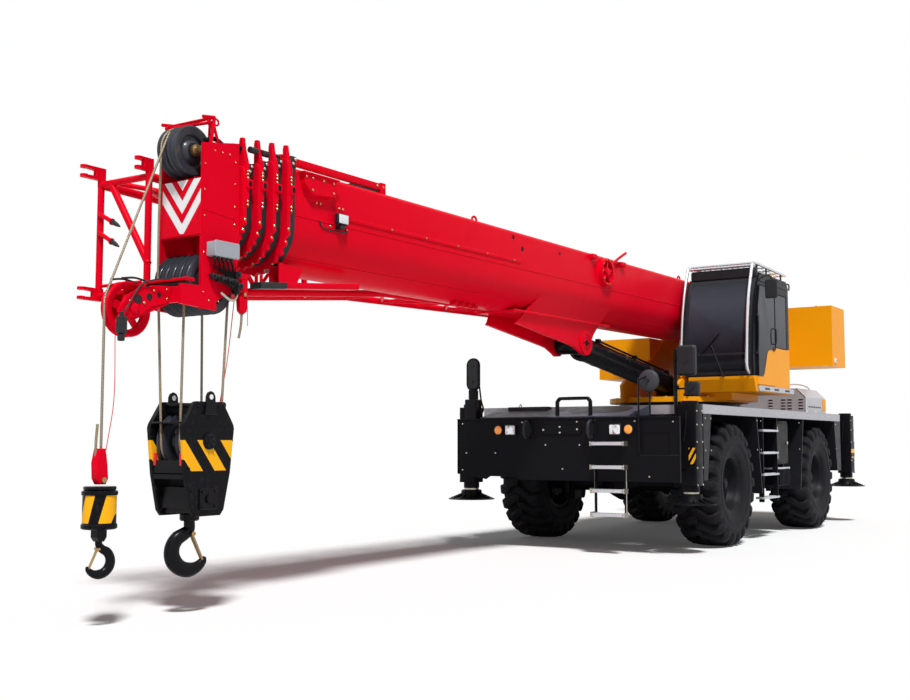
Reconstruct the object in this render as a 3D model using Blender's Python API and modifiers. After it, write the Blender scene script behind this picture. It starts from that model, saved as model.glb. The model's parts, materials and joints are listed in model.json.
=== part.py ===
"""Rough terrain crane: two steered axles, telescopic boom, lift cylinder, outriggers, cab and hooks.

Metres. +X points forward along the boom, +Y to the crane's left (the cab's side), +Z up.
The origin lies on the ground under the middle of the whole crane. Every length below is measured
from the slewing axis, and one empty moves the whole crane so that its middle is over the origin.
"""

import math

import bmesh
import bpy
from mathutils import Matrix, Vector

# Clearances
FACE_GAP = 0.0003
RUN_GAP = 0.0007
SLIDE_GAP = 0.006
FACETS = 16

# Wheels and axles
TYRE_RADIUS = 0.775
TYRE_WIDTH = 0.600
TYRE_SHOULDER = 0.070
RIM_RADIUS = 0.345
RIM_WIDTH = 0.500
RIM_WALL = 0.022
WHEEL_FACETS = 24
TRACK_HALF = 1.220
FRONT_AXLE_X = 1.863
WHEELBASE = 3.697
REAR_AXLE_X = FRONT_AXLE_X - WHEELBASE
HUB_Z = TYRE_RADIUS
KINGPIN_Y = 0.860
KINGPIN_RADIUS = 0.075
HUB_FACE_Y = 1.060
HUB_FLANGE_RADIUS = 0.210
SPINDLE_RADIUS = 0.110
FORK_HALF_HEIGHT = 0.170
FORK_ARM = 0.060
FORK_WIDTH = 0.180
AXLE_RADIUS = 0.120
DIFFERENTIAL_RADIUS = 0.240

# Carrier frame
FRAME_HALF_WIDTH = 0.480
FRAME_BOTTOM = 1.080
FRAME_TOP = 1.600
PEDESTAL_RADIUS = 0.780
PEDESTAL_TOP = 1.859
RING_RADIUS = 0.860
RING_HEIGHT = 0.090
ENGINE_BAY_FRONT = -1.350
ENGINE_BAY_REAR = -3.000
ENGINE_BAY_HALF_WIDTH = 0.400
ENGINE_BAY_FLOOR = 1.180

# Outriggers
BEAM_WIDTH = 0.250
BEAM_HEIGHT = 0.320
BEAM_Z = 1.150
BEAM_WALL = 0.030
HOUSING_WALL = 0.030
HOUSING_HALF_LENGTH = 1.270
BEAM_INNER_END = HOUSING_HALF_LENGTH - 0.070
JACK_TUBE_RADIUS = 0.100
JACK_Y = HOUSING_HALF_LENGTH + JACK_TUBE_RADIUS + 0.040
JACK_TUBE_BOTTOM = 0.720
JACK_TUBE_TOP = 1.780
JACK_LEG_RADIUS = 0.078
JACK_LEG_TOP = 1.640
FLOAT_RADIUS = 0.295
FLOAT_BOTTOM = 0.575
FLOAT_RIM = 0.030
FLOAT_HEIGHT = 0.110
FRONT_LEFT_BEAM_X = 3.094
FRONT_RIGHT_BEAM_X = 3.439
REAR_LEFT_BEAM_X = -3.746
REAR_RIGHT_BEAM_X = -3.401

# Deck, apron and what stands on them
DECK_TOP = 1.746
DECK_THICKNESS = 0.114
DECK_HALF_WIDTH = 1.520
DECK_FRONT = 2.955
DECK_REAR = -3.015
SKIRT_THICKNESS = 0.025
APRON_FRONT = 3.626
APRON_THICKNESS = 0.022
APRON_TOP = 1.590
APRON_BOTTOM = 0.840
APRON_HALF_WIDTH = DECK_HALF_WIDTH - 0.020
APRON_PLATE_TOP = 1.580
LINK_TOP = 1.540
HOOP_X = 3.550
HOOP_MIDDLE_Y = 0.120
HOOP_HALF_WIDTH = 0.240
STEP_LEFT = 0.425
STEP_WIDTH = 0.424
STEP_LOWEST = 0.442
STEP_PITCH = 0.274
STEP_COUNT = 4
STEP_DEPTH = 0.110
STEP_THICKNESS = 0.030
HOOD_HALF_WIDTH = 0.950
HOOD_WALL = 0.030
SIDE_BOX_BOTTOM = 0.690
SIDE_BOX_INNER = DECK_HALF_WIDTH - 0.520
SIDE_BOX_OUTER = DECK_HALF_WIDTH - 0.020
LADDER_RAIL_DEPTH = 0.060
LADDER_TREAD_DEPTH = 0.140

# Superstructure
PLATFORM_BOTTOM = PEDESTAL_TOP + RUN_GAP
PLATFORM_THICKNESS = 0.070
PLATFORM_RADIUS = 1.000
CHEEK_INNER = 0.400
CHEEK_THICKNESS = 0.045
COUNTERWEIGHT_FRONT = -3.036
COUNTERWEIGHT_REAR = -3.804
COUNTERWEIGHT_HALF_WIDTH = 1.427
COUNTERWEIGHT_BOTTOM = 2.543
COUNTERWEIGHT_TOP = 3.528

# Cab
CAB_FRONT = 0.896
CAB_REAR = -0.684
CAB_LEFT = 1.440
CAB_RIGHT = 0.513
CAB_BOTTOM = 1.982
CAB_ROOF = 3.620
CAB_WALL = 0.045
DOOR_THICKNESS = 0.020
DOOR_FRONT = 0.760
DOOR_REAR = 0.020
DOOR_BOTTOM = 2.080
DOOR_TOP = 3.440
DOOR_FRAME = 0.070
GLASS_THICKNESS = 0.012
GUARD_TOP = 3.725
GUARD_TUBE = 0.022

# Boom
BOOM_ANGLE = math.radians(-0.475)
BOOM_MID_Z = 3.193
BOOM_PIVOT_X = -1.400
BOOM_PIVOT_Z = 2.980
BOOM_TAIL = -1.900
BOOM_BOSS_RADIUS = 0.130
BASE_HEIGHT = 0.837
BASE_WIDTH = 0.694
BOOM_WALL = 0.012
SECTION_STEP = 0.080
BASE_FRONT = 8.900
COLLAR_LENGTH = 0.100
COLLAR_RISE = 0.045
COLLAR_PITCH = 0.125
SECTION_START = -1.360
SECTION_START_STEP = 0.120
HEAD_FRONT = 9.780
HEAD_REAR = 9.400
HEAD_HALF_WIDTH = 0.235
HEAD_WALL = 0.025
HEAD_TOP = 3.560
HEAD_BOTTOM = 2.290
TOP_SHEAVE_X = 9.740
TOP_SHEAVE_Z = 3.490
TOP_SHEAVE_RADIUS = 0.200
LOWER_SHEAVE_X = 9.630
LOWER_SHEAVE_Z = 2.500
LOWER_SHEAVE_RADIUS = 0.240
NOSE_SHEAVE_X = 10.285
NOSE_SHEAVE_Z = 2.250
NOSE_SHEAVE_RADIUS = 0.205
GROOVE_DEPTH = 0.025
ROPE_SEAT = 0.0112
NOSE_ROPE_SEAT = 0.0123

# Lift cylinder
CYLINDER_EYE_X = 3.390
CYLINDER_EYE_Z = 2.500
CYLINDER_FOOT_X = 0.250
CYLINDER_FOOT_Z = 2.100
BARREL_CLOSED_END = 0.200
BARREL_RADIUS = 0.150
ROD_RADIUS = 0.100
EYE_RADIUS = 0.130
BRACKET_INNER = 0.165
EYE_HALF_WIDTH = BRACKET_INNER - RUN_GAP
FOOT_LUG_INNER = 0.165
FOOT_LUG = 0.060
BRACKET_PLATE = 0.040

# Hooks
ROPE_RADIUS = 0.010
FALL_TOP_Y = 0.144
FALL_Y = 0.100
BLOCK_SHEAVE_RADIUS = 0.225
BLOCK_SHEAVE_Z = 1.300
BLOCK_INNER = 0.155
BLOCK_PLATE = 0.035
AUX_X = NOSE_SHEAVE_X + NOSE_SHEAVE_RADIUS - NOSE_ROPE_SEAT
AUX_WEIGHT_TOP = 0.960
AUX_WEIGHT_BOTTOM = 0.690
AUX_WEIGHT_RADIUS = 0.125

# Whole crane
OVERALL_FRONT = AUX_X + AUX_WEIGHT_RADIUS
OVERALL_REAR = REAR_LEFT_BEAM_X - FLOAT_RADIUS
SLEW_X = -(OVERALL_FRONT + OVERALL_REAR) / 2

COLOURS = {
    "carrier_black": (0.02, 0.02, 0.022, 0.35, 0.1),
    "deck_grey": (0.35, 0.36, 0.38, 0.5, 0.3),
    "hood_silver": (0.55, 0.56, 0.57, 0.4, 0.4),
    "boom_red": (0.72, 0.01, 0.015, 0.3, 0.0),
    "house_yellow": (0.95, 0.45, 0.01, 0.35, 0.0),
    "tyre_rubber": (0.025, 0.025, 0.027, 0.85, 0.0),
    "sheave_dark": (0.04, 0.045, 0.055, 0.5, 0.2),
    "cylinder_black": (0.02, 0.02, 0.02, 0.25, 0.2),
    "tinted_glass": (0.03, 0.035, 0.045, 0.08, 0.0),
    "guard_silver": (0.6, 0.61, 0.63, 0.35, 0.6),
    "seat_dark": (0.05, 0.05, 0.055, 0.8, 0.0),
    "rope_steel": (0.3, 0.27, 0.22, 0.5, 0.6),
    "hook_black": (0.015, 0.015, 0.018, 0.3, 0.3),
}


# Tools for shapes

for leftover in list(bpy.data.objects):
    bpy.data.objects.remove(leftover, do_unlink=True)

crane = bpy.data.collections.new("rough_terrain_crane")
bpy.context.scene.collection.children.link(crane)


def make_material(name):
    red, green, blue, roughness, metallic = COLOURS[name]
    finish = bpy.data.materials.new(name)
    finish.use_nodes = True
    shader = finish.node_tree.nodes["Principled BSDF"]
    shader.inputs["Base Color"].default_value = (red, green, blue, 1.0)
    shader.inputs["Roughness"].default_value = roughness
    shader.inputs["Metallic"].default_value = metallic
    return finish


materials = {name: make_material(name) for name in COLOURS}


def new_object(mesh):
    piece = bpy.data.objects.new("piece", mesh)
    crane.objects.link(piece)
    return piece


def from_bmesh(shape):
    mesh = bpy.data.meshes.new("piece")
    bmesh.ops.recalc_face_normals(shape, faces=shape.faces)
    shape.to_mesh(mesh)
    shape.free()
    return new_object(mesh)


def box(low, high):
    """A box from its lowest to its highest corner."""
    low, high = Vector(low), Vector(high)
    shape = bmesh.new()
    size = high - low
    place = Matrix.Translation((low + high) / 2) @ Matrix.Diagonal((*size, 1.0))
    bmesh.ops.create_cube(shape, size=1.0, matrix=place)
    return from_bmesh(shape)


TURNS = {
    "X": Matrix.Rotation(math.radians(90), 4, "Y"),
    "Y": Matrix.Rotation(math.radians(-90), 4, "X"),
    "Z": Matrix.Identity(4),
}


def cylinder(centre, radius, length, axis="Y", top_radius=None, facets=FACETS):
    """A cylinder or cone along an axis; top_radius is at the end towards +axis."""
    shape = bmesh.new()
    place = Matrix.Translation(Vector(centre)) @ TURNS[axis]
    bmesh.ops.create_cone(
        shape, cap_ends=True, segments=facets, radius1=radius,
        radius2=radius if top_radius is None else top_radius, depth=length, matrix=place,
    )
    return from_bmesh(shape)


def bake(source):
    """Turn an object with a curve or live modifiers into a plain mesh object."""
    bpy.context.view_layer.update()
    graph = bpy.context.evaluated_depsgraph_get()
    mesh = bpy.data.meshes.new_from_object(source.evaluated_get(graph))
    turned_mesh = new_object(mesh)
    bpy.data.objects.remove(source, do_unlink=True)
    return turned_mesh


def weld(piece):
    shape = bmesh.new()
    shape.from_mesh(piece.data)
    bmesh.ops.remove_doubles(shape, verts=shape.verts, dist=0.00001)
    bmesh.ops.recalc_face_normals(shape, faces=shape.faces)
    shape.to_mesh(piece.data)
    shape.free()
    return piece


# Where a flat outline's own first and second directions go when it is extruded along an axis.
PRISM_TURNS = {
    "X": Matrix(((0, 0, 1, 0), (1, 0, 0, 0), (0, 1, 0, 0), (0, 0, 0, 1))),
    "Y": Matrix(((1, 0, 0, 0), (0, 0, -1, 0), (0, 1, 0, 0), (0, 0, 0, 1))),
    "Z": Matrix.Identity(4),
}


def prism(outlines, axis, low, high):
    """A flat outline with holes, extruded from low to high along X (y, z), Y (x, z) or Z (x, y)."""
    curve = bpy.data.curves.new("outline", "CURVE")
    curve.dimensions = "2D"
    curve.fill_mode = "BOTH"
    curve.extrude = (high - low) / 2
    for outline in outlines:
        spline = curve.splines.new("POLY")
        spline.points.add(len(outline) - 1)
        for point, (across, up) in zip(spline.points, outline):
            point.co = (across, up, 0.0, 1.0)
        spline.use_cyclic_u = True
    piece = weld(bake(new_object(curve)))
    shift = Vector([(high + low) / 2 if name == axis else 0.0 for name in "XYZ"])
    piece.data.transform(Matrix.Translation(shift) @ PRISM_TURNS[axis])
    return piece


def rod(points, radius, facets=2):
    """A round bar or tube along points."""
    curve = bpy.data.curves.new("rod", "CURVE")
    curve.dimensions = "3D"
    curve.bevel_depth = radius
    curve.bevel_resolution = facets
    curve.use_fill_caps = True
    spline = curve.splines.new("POLY")
    spline.points.add(len(points) - 1)
    for point, place in zip(spline.points, points):
        point.co = (*place, 1.0)
    return weld(bake(new_object(curve)))


def turned(profile, axis="Y", facets=WHEEL_FACETS, centre=(0, 0, 0)):
    """A ring turned about an axis from a closed outline of (radius, along) points.

    An outline that starts and ends on the axis, at radius 0, gives a solid without a bore.
    """
    mesh = bpy.data.meshes.new("profile")
    points = [(radius, 0.0, along) for radius, along in profile]
    last = len(points) - 1 if profile[0][0] == 0.0 else len(points)
    edges = [(index, (index + 1) % len(points)) for index in range(last)]
    mesh.from_pydata(points, edges, [])
    source = new_object(mesh)
    screw = source.modifiers.new("turn", "SCREW")
    screw.axis = "Z"
    screw.steps = facets
    screw.render_steps = facets
    screw.use_merge_vertices = True
    screw.merge_threshold = 0.0001
    piece = weld(bake(source))
    piece.data.transform(Matrix.Translation(Vector(centre)) @ TURNS[axis])
    return piece


def fuse(base, added=(), removed=(), merge=True):
    """One solid from a base, the pieces added to it and the pieces cut from it; merge joins doubled points."""
    for operation, pieces in (("UNION", added), ("DIFFERENCE", removed)):
        for piece in pieces:
            step = base.modifiers.new("step", "BOOLEAN")
            step.operation = operation
            step.solver = "EXACT"
            step.object = piece
    solid = bake(base)
    if merge:
        weld(solid)
    for piece in (*added, *removed):
        bpy.data.objects.remove(piece, do_unlink=True)
    return solid


def node(name, piece, finish, parent, place=(0, 0, 0)):
    """Name a finished solid, whose mesh is about its own origin, and put it on its parent."""
    piece.name = name
    piece.data.name = name
    piece.data.materials.clear()
    piece.data.materials.append(materials[finish])
    piece.data.shade_smooth()
    piece.data.set_sharp_from_angle(angle=math.radians(35))
    piece.parent = parent
    piece.location = place
    return piece


def empty(name, parent, place, turn=(0, 0, 0)):
    axis = bpy.data.objects.new(name, None)
    crane.objects.link(axis)
    axis.parent = parent
    axis.location = place
    axis.rotation_euler = turn
    return axis


whole = empty("crane_origin", None, (SLEW_X, 0, 0))
slew = empty("slew_axis", whole, (0, 0, 0))
boom = empty("boom_pivot", slew, (BOOM_PIVOT_X, 0, BOOM_PIVOT_Z), (0, -BOOM_ANGLE, 0))


# Carrier frame with outrigger housings and slewing pedestal

def housing(beam_x):
    """The rectangular sleeve that one outrigger beam slides in, and its opening."""
    half = BEAM_WIDTH / 2 + SLIDE_GAP
    half_height = BEAM_HEIGHT / 2 + SLIDE_GAP
    sleeve = box(
        (beam_x - half - HOUSING_WALL, -HOUSING_HALF_LENGTH, BEAM_Z - half_height - HOUSING_WALL),
        (beam_x + half + HOUSING_WALL, HOUSING_HALF_LENGTH, BEAM_Z + half_height + HOUSING_WALL),
    )
    opening = box(
        (beam_x - half, -HOUSING_HALF_LENGTH - 0.1, BEAM_Z - BEAM_HEIGHT / 2 - RUN_GAP),
        (beam_x + half, HOUSING_HALF_LENGTH + 0.1, BEAM_Z + half_height),
    )
    return sleeve, opening


def carrier_frame():
    front = FRONT_LEFT_BEAM_X - BEAM_WIDTH / 2
    rear = REAR_RIGHT_BEAM_X + BEAM_WIDTH / 2
    backbone = box((rear, -FRAME_HALF_WIDTH, FRAME_BOTTOM), (front, FRAME_HALF_WIDTH, FRAME_TOP))
    sleeves, openings = zip(*[housing(x) for x in (
        FRONT_LEFT_BEAM_X, FRONT_RIGHT_BEAM_X, REAR_LEFT_BEAM_X, REAR_RIGHT_BEAM_X)])
    pedestal = cylinder((0, 0, (FRAME_TOP + PEDESTAL_TOP) / 2 - 0.05), PEDESTAL_RADIUS,
                        PEDESTAL_TOP - FRAME_TOP + 0.1, "Z", facets=36)
    ring = cylinder((0, 0, PEDESTAL_TOP - RING_HEIGHT / 2), RING_RADIUS, RING_HEIGHT, "Z", facets=48)
    outer_wall = HOUSING_WALL + BEAM_WIDTH / 2 + SLIDE_GAP
    links = [
        box((FRONT_LEFT_BEAM_X, -0.3, BEAM_Z + 0.17), (FRONT_RIGHT_BEAM_X + outer_wall, 0.3, LINK_TOP)),
        box((REAR_LEFT_BEAM_X - outer_wall, -0.3, BEAM_Z + 0.17), (REAR_RIGHT_BEAM_X, 0.3, LINK_TOP)),
    ]
    seats = [box((x - 0.16, y - 0.14, HUB_Z + AXLE_RADIUS + FACE_GAP), (x + 0.16, y + 0.14, FRAME_BOTTOM + 0.02))
             for x in (FRONT_AXLE_X, REAR_AXLE_X) for y in (-0.42, 0.42)]
    bay = box((ENGINE_BAY_REAR, -ENGINE_BAY_HALF_WIDTH, ENGINE_BAY_FLOOR),
              (ENGINE_BAY_FRONT, ENGINE_BAY_HALF_WIDTH, FRAME_TOP + 0.1))
    return fuse(backbone, [*sleeves, pedestal, ring, *links, *seats], [*openings, bay])


node("carrier_frame", carrier_frame(), "carrier_black", whole)


# Front apron, deck, hood and boxes

def front_apron():
    """The black front panel with its lamp housings, steps, tow loops and hoop."""
    face_back = APRON_FRONT - APRON_THICKNESS
    face = prism([[
        (-APRON_HALF_WIDTH, APRON_BOTTOM + 0.06), (-APRON_HALF_WIDTH, APRON_TOP), (APRON_HALF_WIDTH, APRON_TOP),
        (APRON_HALF_WIDTH, APRON_BOTTOM), (-0.62, APRON_BOTTOM), (-0.70, APRON_BOTTOM + 0.05),
        (-0.85, APRON_BOTTOM + 0.07), (-1.00, APRON_BOTTOM + 0.05), (-1.08, APRON_BOTTOM),
    ]], "X", face_back, APRON_FRONT)
    top = box((FRONT_LEFT_BEAM_X - BEAM_WIDTH / 2 + FACE_GAP, -HOUSING_HALF_LENGTH, LINK_TOP + FACE_GAP),
              (face_back + 0.01, HOUSING_HALF_LENGTH, APRON_PLATE_TOP))
    well = box((3.02, -0.25, 1.4), (3.41, 0.55, 1.8))
    treads = []
    for index in range(STEP_COUNT):
        height = STEP_LOWEST + index * STEP_PITCH
        treads.append(box((APRON_FRONT - 0.01, STEP_LEFT, height),
                          (APRON_FRONT + STEP_DEPTH, STEP_LEFT + STEP_WIDTH, height + STEP_THICKNESS)))
    rails = [box((APRON_FRONT - 0.012, y, STEP_LOWEST + 0.01), (APRON_FRONT + 0.02, y + 0.02, APRON_BOTTOM + 0.2))
             for y in (STEP_LEFT + 0.01, STEP_LEFT + STEP_WIDTH - 0.03)]
    lamps = [cylinder((APRON_FRONT, y, 1.446), 0.055, 0.05, "X", facets=16) for y in (-0.879, 0.879)]
    lamps += [box((APRON_FRONT - 0.01, y - 0.07, 1.386), (APRON_FRONT + 0.03, y + 0.07, 1.506))
              for y in (-0.707, 0.707)]
    foot, crown, bar = APRON_PLATE_TOP - 0.01, 1.84, 0.036
    left, right = HOOP_MIDDLE_Y + HOOP_HALF_WIDTH, HOOP_MIDDLE_Y - HOOP_HALF_WIDTH
    hoop = prism([[
        (right, foot), (right, crown - 0.05), (right + 0.05, crown), (left - 0.05, crown), (left, crown - 0.05),
        (left, foot), (left - bar, foot), (left - bar, crown - 0.06), (left - 0.06, crown - bar),
        (right + 0.06, crown - bar), (right + bar, crown - 0.06), (right + bar, foot),
    ]], "X", HOOP_X - bar / 2, HOOP_X + bar / 2)
    plate = fuse(top, [hoop], [well])
    return fuse(face, [plate, *treads, *rails, *lamps])


node("front_apron", front_apron(), "carrier_black", whole)

# One wheel arch's skirt plates: x at the deck, x at the foot, z of the foot.
ARCH_PLATES = [
    (FRONT_AXLE_X + 0.830, FRONT_AXLE_X + 0.970, 0.85),
    (FRONT_AXLE_X - 0.800, FRONT_AXLE_X - 0.990, 0.62),
    (REAR_AXLE_X + 0.800, REAR_AXLE_X + 0.990, 0.62),
    (REAR_AXLE_X - 0.830, REAR_AXLE_X - 0.970, 0.85),
]


def carrier_deck():
    """The deck plate, its edge bands and the arch plates and skirts that hang from it."""
    underside = DECK_TOP - DECK_THICKNESS
    ring = [((RING_RADIUS + 0.08) * math.cos(math.radians(a)), (RING_RADIUS + 0.08) * math.sin(math.radians(a)))
            for a in range(0, 360, 15)]
    bay = [(ENGINE_BAY_REAR, -0.5), (ENGINE_BAY_REAR, 0.5), (ENGINE_BAY_FRONT, 0.5), (ENGINE_BAY_FRONT, -0.5)]
    plate = prism([[(DECK_REAR, -DECK_HALF_WIDTH), (DECK_FRONT, -DECK_HALF_WIDTH),
                    (DECK_FRONT, DECK_HALF_WIDTH), (DECK_REAR, DECK_HALF_WIDTH)], ring, bay],
                  "Z", underside, DECK_TOP)
    inner = 0.92
    guards = []
    for top_x, foot_x, foot_z in ARCH_PLATES:
        width = 0.022 if foot_x > top_x else -0.022
        outline = [(top_x, underside + 0.02), (foot_x, foot_z), (foot_x + width, foot_z),
                   (top_x + width, underside + 0.02)]
        for low, high in ((inner, DECK_HALF_WIDTH), (-DECK_HALF_WIDTH, -inner)):
            guards.append(prism([outline], "Y", low, high))
    skirt_outlines = [
        [(FRONT_AXLE_X + 0.840, underside + 0.02), (FRONT_AXLE_X + 0.980, 0.85),
         (DECK_FRONT, 0.85), (DECK_FRONT, underside + 0.02)],
        [(REAR_AXLE_X - 0.840, underside + 0.02), (REAR_AXLE_X - 0.980, 0.85),
         (DECK_REAR, 0.85), (DECK_REAR, underside + 0.02)],
    ]
    skirts = [prism([outline], "Y", low, low + SKIRT_THICKNESS) for outline in skirt_outlines
              for low in (-DECK_HALF_WIDTH, DECK_HALF_WIDTH - SKIRT_THICKNESS)]
    posts = [box((x, y - 0.06, FRAME_TOP + FACE_GAP), (x + 0.2, y + 0.06, underside + 0.02))
             for x in (1.5, -1.2, -3.2 + 0.3) for y in (-0.44, 0.44)]
    return fuse(plate, [*guards, *skirts, *posts])


node("carrier_deck", carrier_deck(), "deck_grey", whole)


def engine_hood():
    """A sloped hood that rises to the rear, open below, with louvre slots in both sides."""
    base = DECK_TOP + FACE_GAP
    outer = [(-1.22, base), (-1.25, 1.900), (-1.40, 1.930), (-2.90, 2.130), (-3.45, 2.150), (-3.62, 2.020), (-3.62, base)]
    inner = [(-1.26, base - 0.1), (-1.28, 1.875), (-1.41, 1.900), (-2.90, 2.100), (-3.43, 2.118), (-3.59, 2.005),
             (-3.59, base - 0.1)]
    shell = prism([outer], "Y", -HOOD_HALF_WIDTH, HOOD_HALF_WIDTH)
    space = prism([inner], "Y", -HOOD_HALF_WIDTH + HOOD_WALL, HOOD_HALF_WIDTH - HOOD_WALL)
    slots = []
    for row in range(2):
        for index in range(7):
            x = -1.75 - index * 0.16
            z = 1.80 + row * 0.10
            slots.append(box((x - 0.05, -HOOD_HALF_WIDTH - 0.1, z), (x + 0.05, HOOD_HALF_WIDTH + 0.1, z + 0.03)))
    return fuse(shell, [], [space, *slots])


node("engine_hood", engine_hood(), "hood_silver", whole)
node("engine_block", box((ENGINE_BAY_REAR + 0.15, -0.34, ENGINE_BAY_FLOOR + FACE_GAP),
                         (ENGINE_BAY_FRONT - 0.15, 0.34, 1.83)), "carrier_black", whole)


def side_box_ladder():
    """The tall box between the left wheels with the ladder that climbs beside it."""
    top = DECK_TOP - DECK_THICKNESS - FACE_GAP
    rail_back, tread_back = DECK_HALF_WIDTH - LADDER_RAIL_DEPTH, DECK_HALF_WIDTH - LADDER_TREAD_DEPTH
    body = box((-0.45, SIDE_BOX_INNER, SIDE_BOX_BOTTOM), (0.14, SIDE_BOX_OUTER, top))
    rails = [box((low, rail_back, 0.54), (high, DECK_HALF_WIDTH, top)) for low, high in ((0.74, 0.78), (0.10, 0.15))]
    treads = [box((0.12, tread_back, 0.55 + index * 0.30), (0.76, DECK_HALF_WIDTH, 0.58 + index * 0.30))
              for index in range(4)]
    return fuse(body, [*rails, *treads])


node("side_box_ladder", side_box_ladder(), "carrier_black", whole)
node("fuel_tank", box((-0.80, -SIDE_BOX_OUTER, 0.72), (0.83, -SIDE_BOX_INNER, DECK_TOP - DECK_THICKNESS - FACE_GAP)),
     "carrier_black", whole)


def mirror_right():
    post = rod([(3.55, -1.23, APRON_PLATE_TOP + FACE_GAP), (3.55, -1.23, 1.90), (3.55, -1.26, 2.00)], 0.025)
    frame = rod([(3.55, -1.26, 1.96), (3.55, -1.26, 2.30)], 0.075, 4)
    return fuse(post, [frame])


node("mirror_right", mirror_right(), "carrier_black", whole)


def mirror_left():
    """The round convex mirror and the two upright mirrors on their posts, on one foot bar."""
    foot = box((3.02, 0.95, APRON_PLATE_TOP + FACE_GAP), (3.56, 1.26, APRON_PLATE_TOP + 0.025))
    round_post = rod([(3.50, 1.05, APRON_PLATE_TOP + 0.01), (3.50, 1.05, 2.01)], 0.018)
    dish = cylinder((3.52, 1.05, 2.03), 0.125, 0.05, "X", facets=20)
    tall_post = rod([(3.05, 1.22, APRON_PLATE_TOP + 0.01), (3.05, 1.22, 2.30)], 0.024)
    upper = box((3.05, 1.13, 2.13), (3.13, 1.35, 2.45))
    lower = box((3.05, 1.17, 1.86), (3.12, 1.35, 2.05))
    return fuse(foot, [round_post, dish, tall_post, upper, lower])


node("mirror_left", mirror_left(), "carrier_black", whole)


# Axles, knuckles and wheels

def axle():
    """A drive axle about its own centre: housing tube, differential and a fork at each end."""
    end = KINGPIN_Y - 0.14
    bulge = DIFFERENTIAL_RADIUS
    half = [(bulge, 0.05), (0.8 * bulge, 0.15), (AXLE_RADIUS, 0.27), (AXLE_RADIUS, end), (0.0, end)]
    tube = turned([(r, -a) for r, a in reversed(half)] + half, facets=FACETS)
    forks = []
    outer = FORK_HALF_HEIGHT + FORK_ARM
    for side in (-1, 1):
        back, web, reach = side * (KINGPIN_Y - 0.16), side * (KINGPIN_Y - 0.10), side * (KINGPIN_Y + 0.09)
        outline = [(back, -outer), (reach, -outer), (reach, -FORK_HALF_HEIGHT), (web, -FORK_HALF_HEIGHT),
                   (web, FORK_HALF_HEIGHT), (reach, FORK_HALF_HEIGHT), (reach, outer), (back, outer)]
        forks.append(prism([outline], "X", -FORK_WIDTH / 2, FORK_WIDTH / 2))
    return fuse(tube, forks)


def knuckle(side):
    """The steered hub carrier about its kingpin: upright barrel, spindle and hub flange."""
    barrel = cylinder((0, 0, 0), KINGPIN_RADIUS, 2 * (FORK_HALF_HEIGHT - RUN_GAP), "Z")
    reach = HUB_FACE_Y - KINGPIN_Y
    spindle = cylinder((0, side * reach / 2, 0), SPINDLE_RADIUS, reach, "Y")
    flange = cylinder((0, side * (reach - 0.02), 0), HUB_FLANGE_RADIUS, 0.04, "Y")
    return fuse(barrel, [spindle, flange])


def rim(side):
    """A deep dished rim about the wheel's centre, with a hub that meets the knuckle's flange."""
    half = RIM_WIDTH / 2
    inner = RIM_RADIUS - RIM_WALL
    face = -(TRACK_HALF - HUB_FACE_Y - RUN_GAP)
    profile = [
        (RIM_RADIUS, -half), (RIM_RADIUS, half), (inner, half), (inner, 0.03), (0.20, 0.02),
        (0.14, 0.16), (0.0, 0.16), (0.0, face), (0.20, face), (inner, -0.04), (inner, -half),
    ]
    start = profile.index((0.0, face))
    return turned([(r, side * a) for r, a in profile[start:] + profile[:start]])


def tyre():
    """The tyre about its centre, out to the tips of its lugs."""
    half = TYRE_WIDTH / 2
    bead = RIM_RADIUS + FACE_GAP
    profile = [
        (bead, -0.22), (bead, 0.22), (0.40, 0.26), (0.52, half), (0.64, half),
        (TYRE_RADIUS - 0.02, half - TYRE_SHOULDER), (TYRE_RADIUS, half - 0.14), (TYRE_RADIUS, 0.14 - half),
        (TYRE_RADIUS - 0.02, TYRE_SHOULDER - half), (0.64, -half), (0.52, -half), (0.40, -0.26),
    ]
    return turned(profile)


wheel_axes = {}
for end, axle_x in (("front", FRONT_AXLE_X), ("rear", REAR_AXLE_X)):
    node(end + "_axle", axle(), "carrier_black", whole, (axle_x, 0, HUB_Z))
    for side_name, side in (("left", 1), ("right", -1)):
        key = end + "_" + side_name
        kingpin = empty("kingpin_" + key, whole, (axle_x, side * KINGPIN_Y, HUB_Z))
        centre = empty("wheel_centre_" + key, kingpin, (0, side * (TRACK_HALF - KINGPIN_Y), 0))
        node("knuckle_" + key, knuckle(side), "carrier_black", kingpin)
        node("rim_" + key, rim(side), "carrier_black", centre)
        node("tyre_" + key, tyre(), "tyre_rubber", centre)


# Outriggers

def outrigger_beam(side):
    """The sliding beam and the jack tube at its end, about the beam's line at the crane's middle."""
    reach = sorted((-side * BEAM_INNER_END, side * JACK_Y))
    outer = box((-BEAM_WIDTH / 2, reach[0], BEAM_Z - BEAM_HEIGHT / 2),
                (BEAM_WIDTH / 2, reach[1], BEAM_Z + BEAM_HEIGHT / 2))
    hollow = sorted((-side * (BEAM_INNER_END + 0.1), side * (JACK_Y - JACK_TUBE_RADIUS - 0.06)))
    space = box((-BEAM_WIDTH / 2 + BEAM_WALL, hollow[0], BEAM_Z - BEAM_HEIGHT / 2 + BEAM_WALL),
                (BEAM_WIDTH / 2 - BEAM_WALL, hollow[1], BEAM_Z + BEAM_HEIGHT / 2 - BEAM_WALL))
    middle = (JACK_TUBE_BOTTOM + JACK_TUBE_TOP) / 2
    tube = cylinder((0, side * JACK_Y, middle), JACK_TUBE_RADIUS, JACK_TUBE_TOP - JACK_TUBE_BOTTOM, "Z")
    bore = cylinder((0, side * JACK_Y, middle - 0.04), JACK_LEG_RADIUS + RUN_GAP,
                    JACK_TUBE_TOP - JACK_TUBE_BOTTOM, "Z")
    return fuse(outer, [tube], [space, bore])


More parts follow.
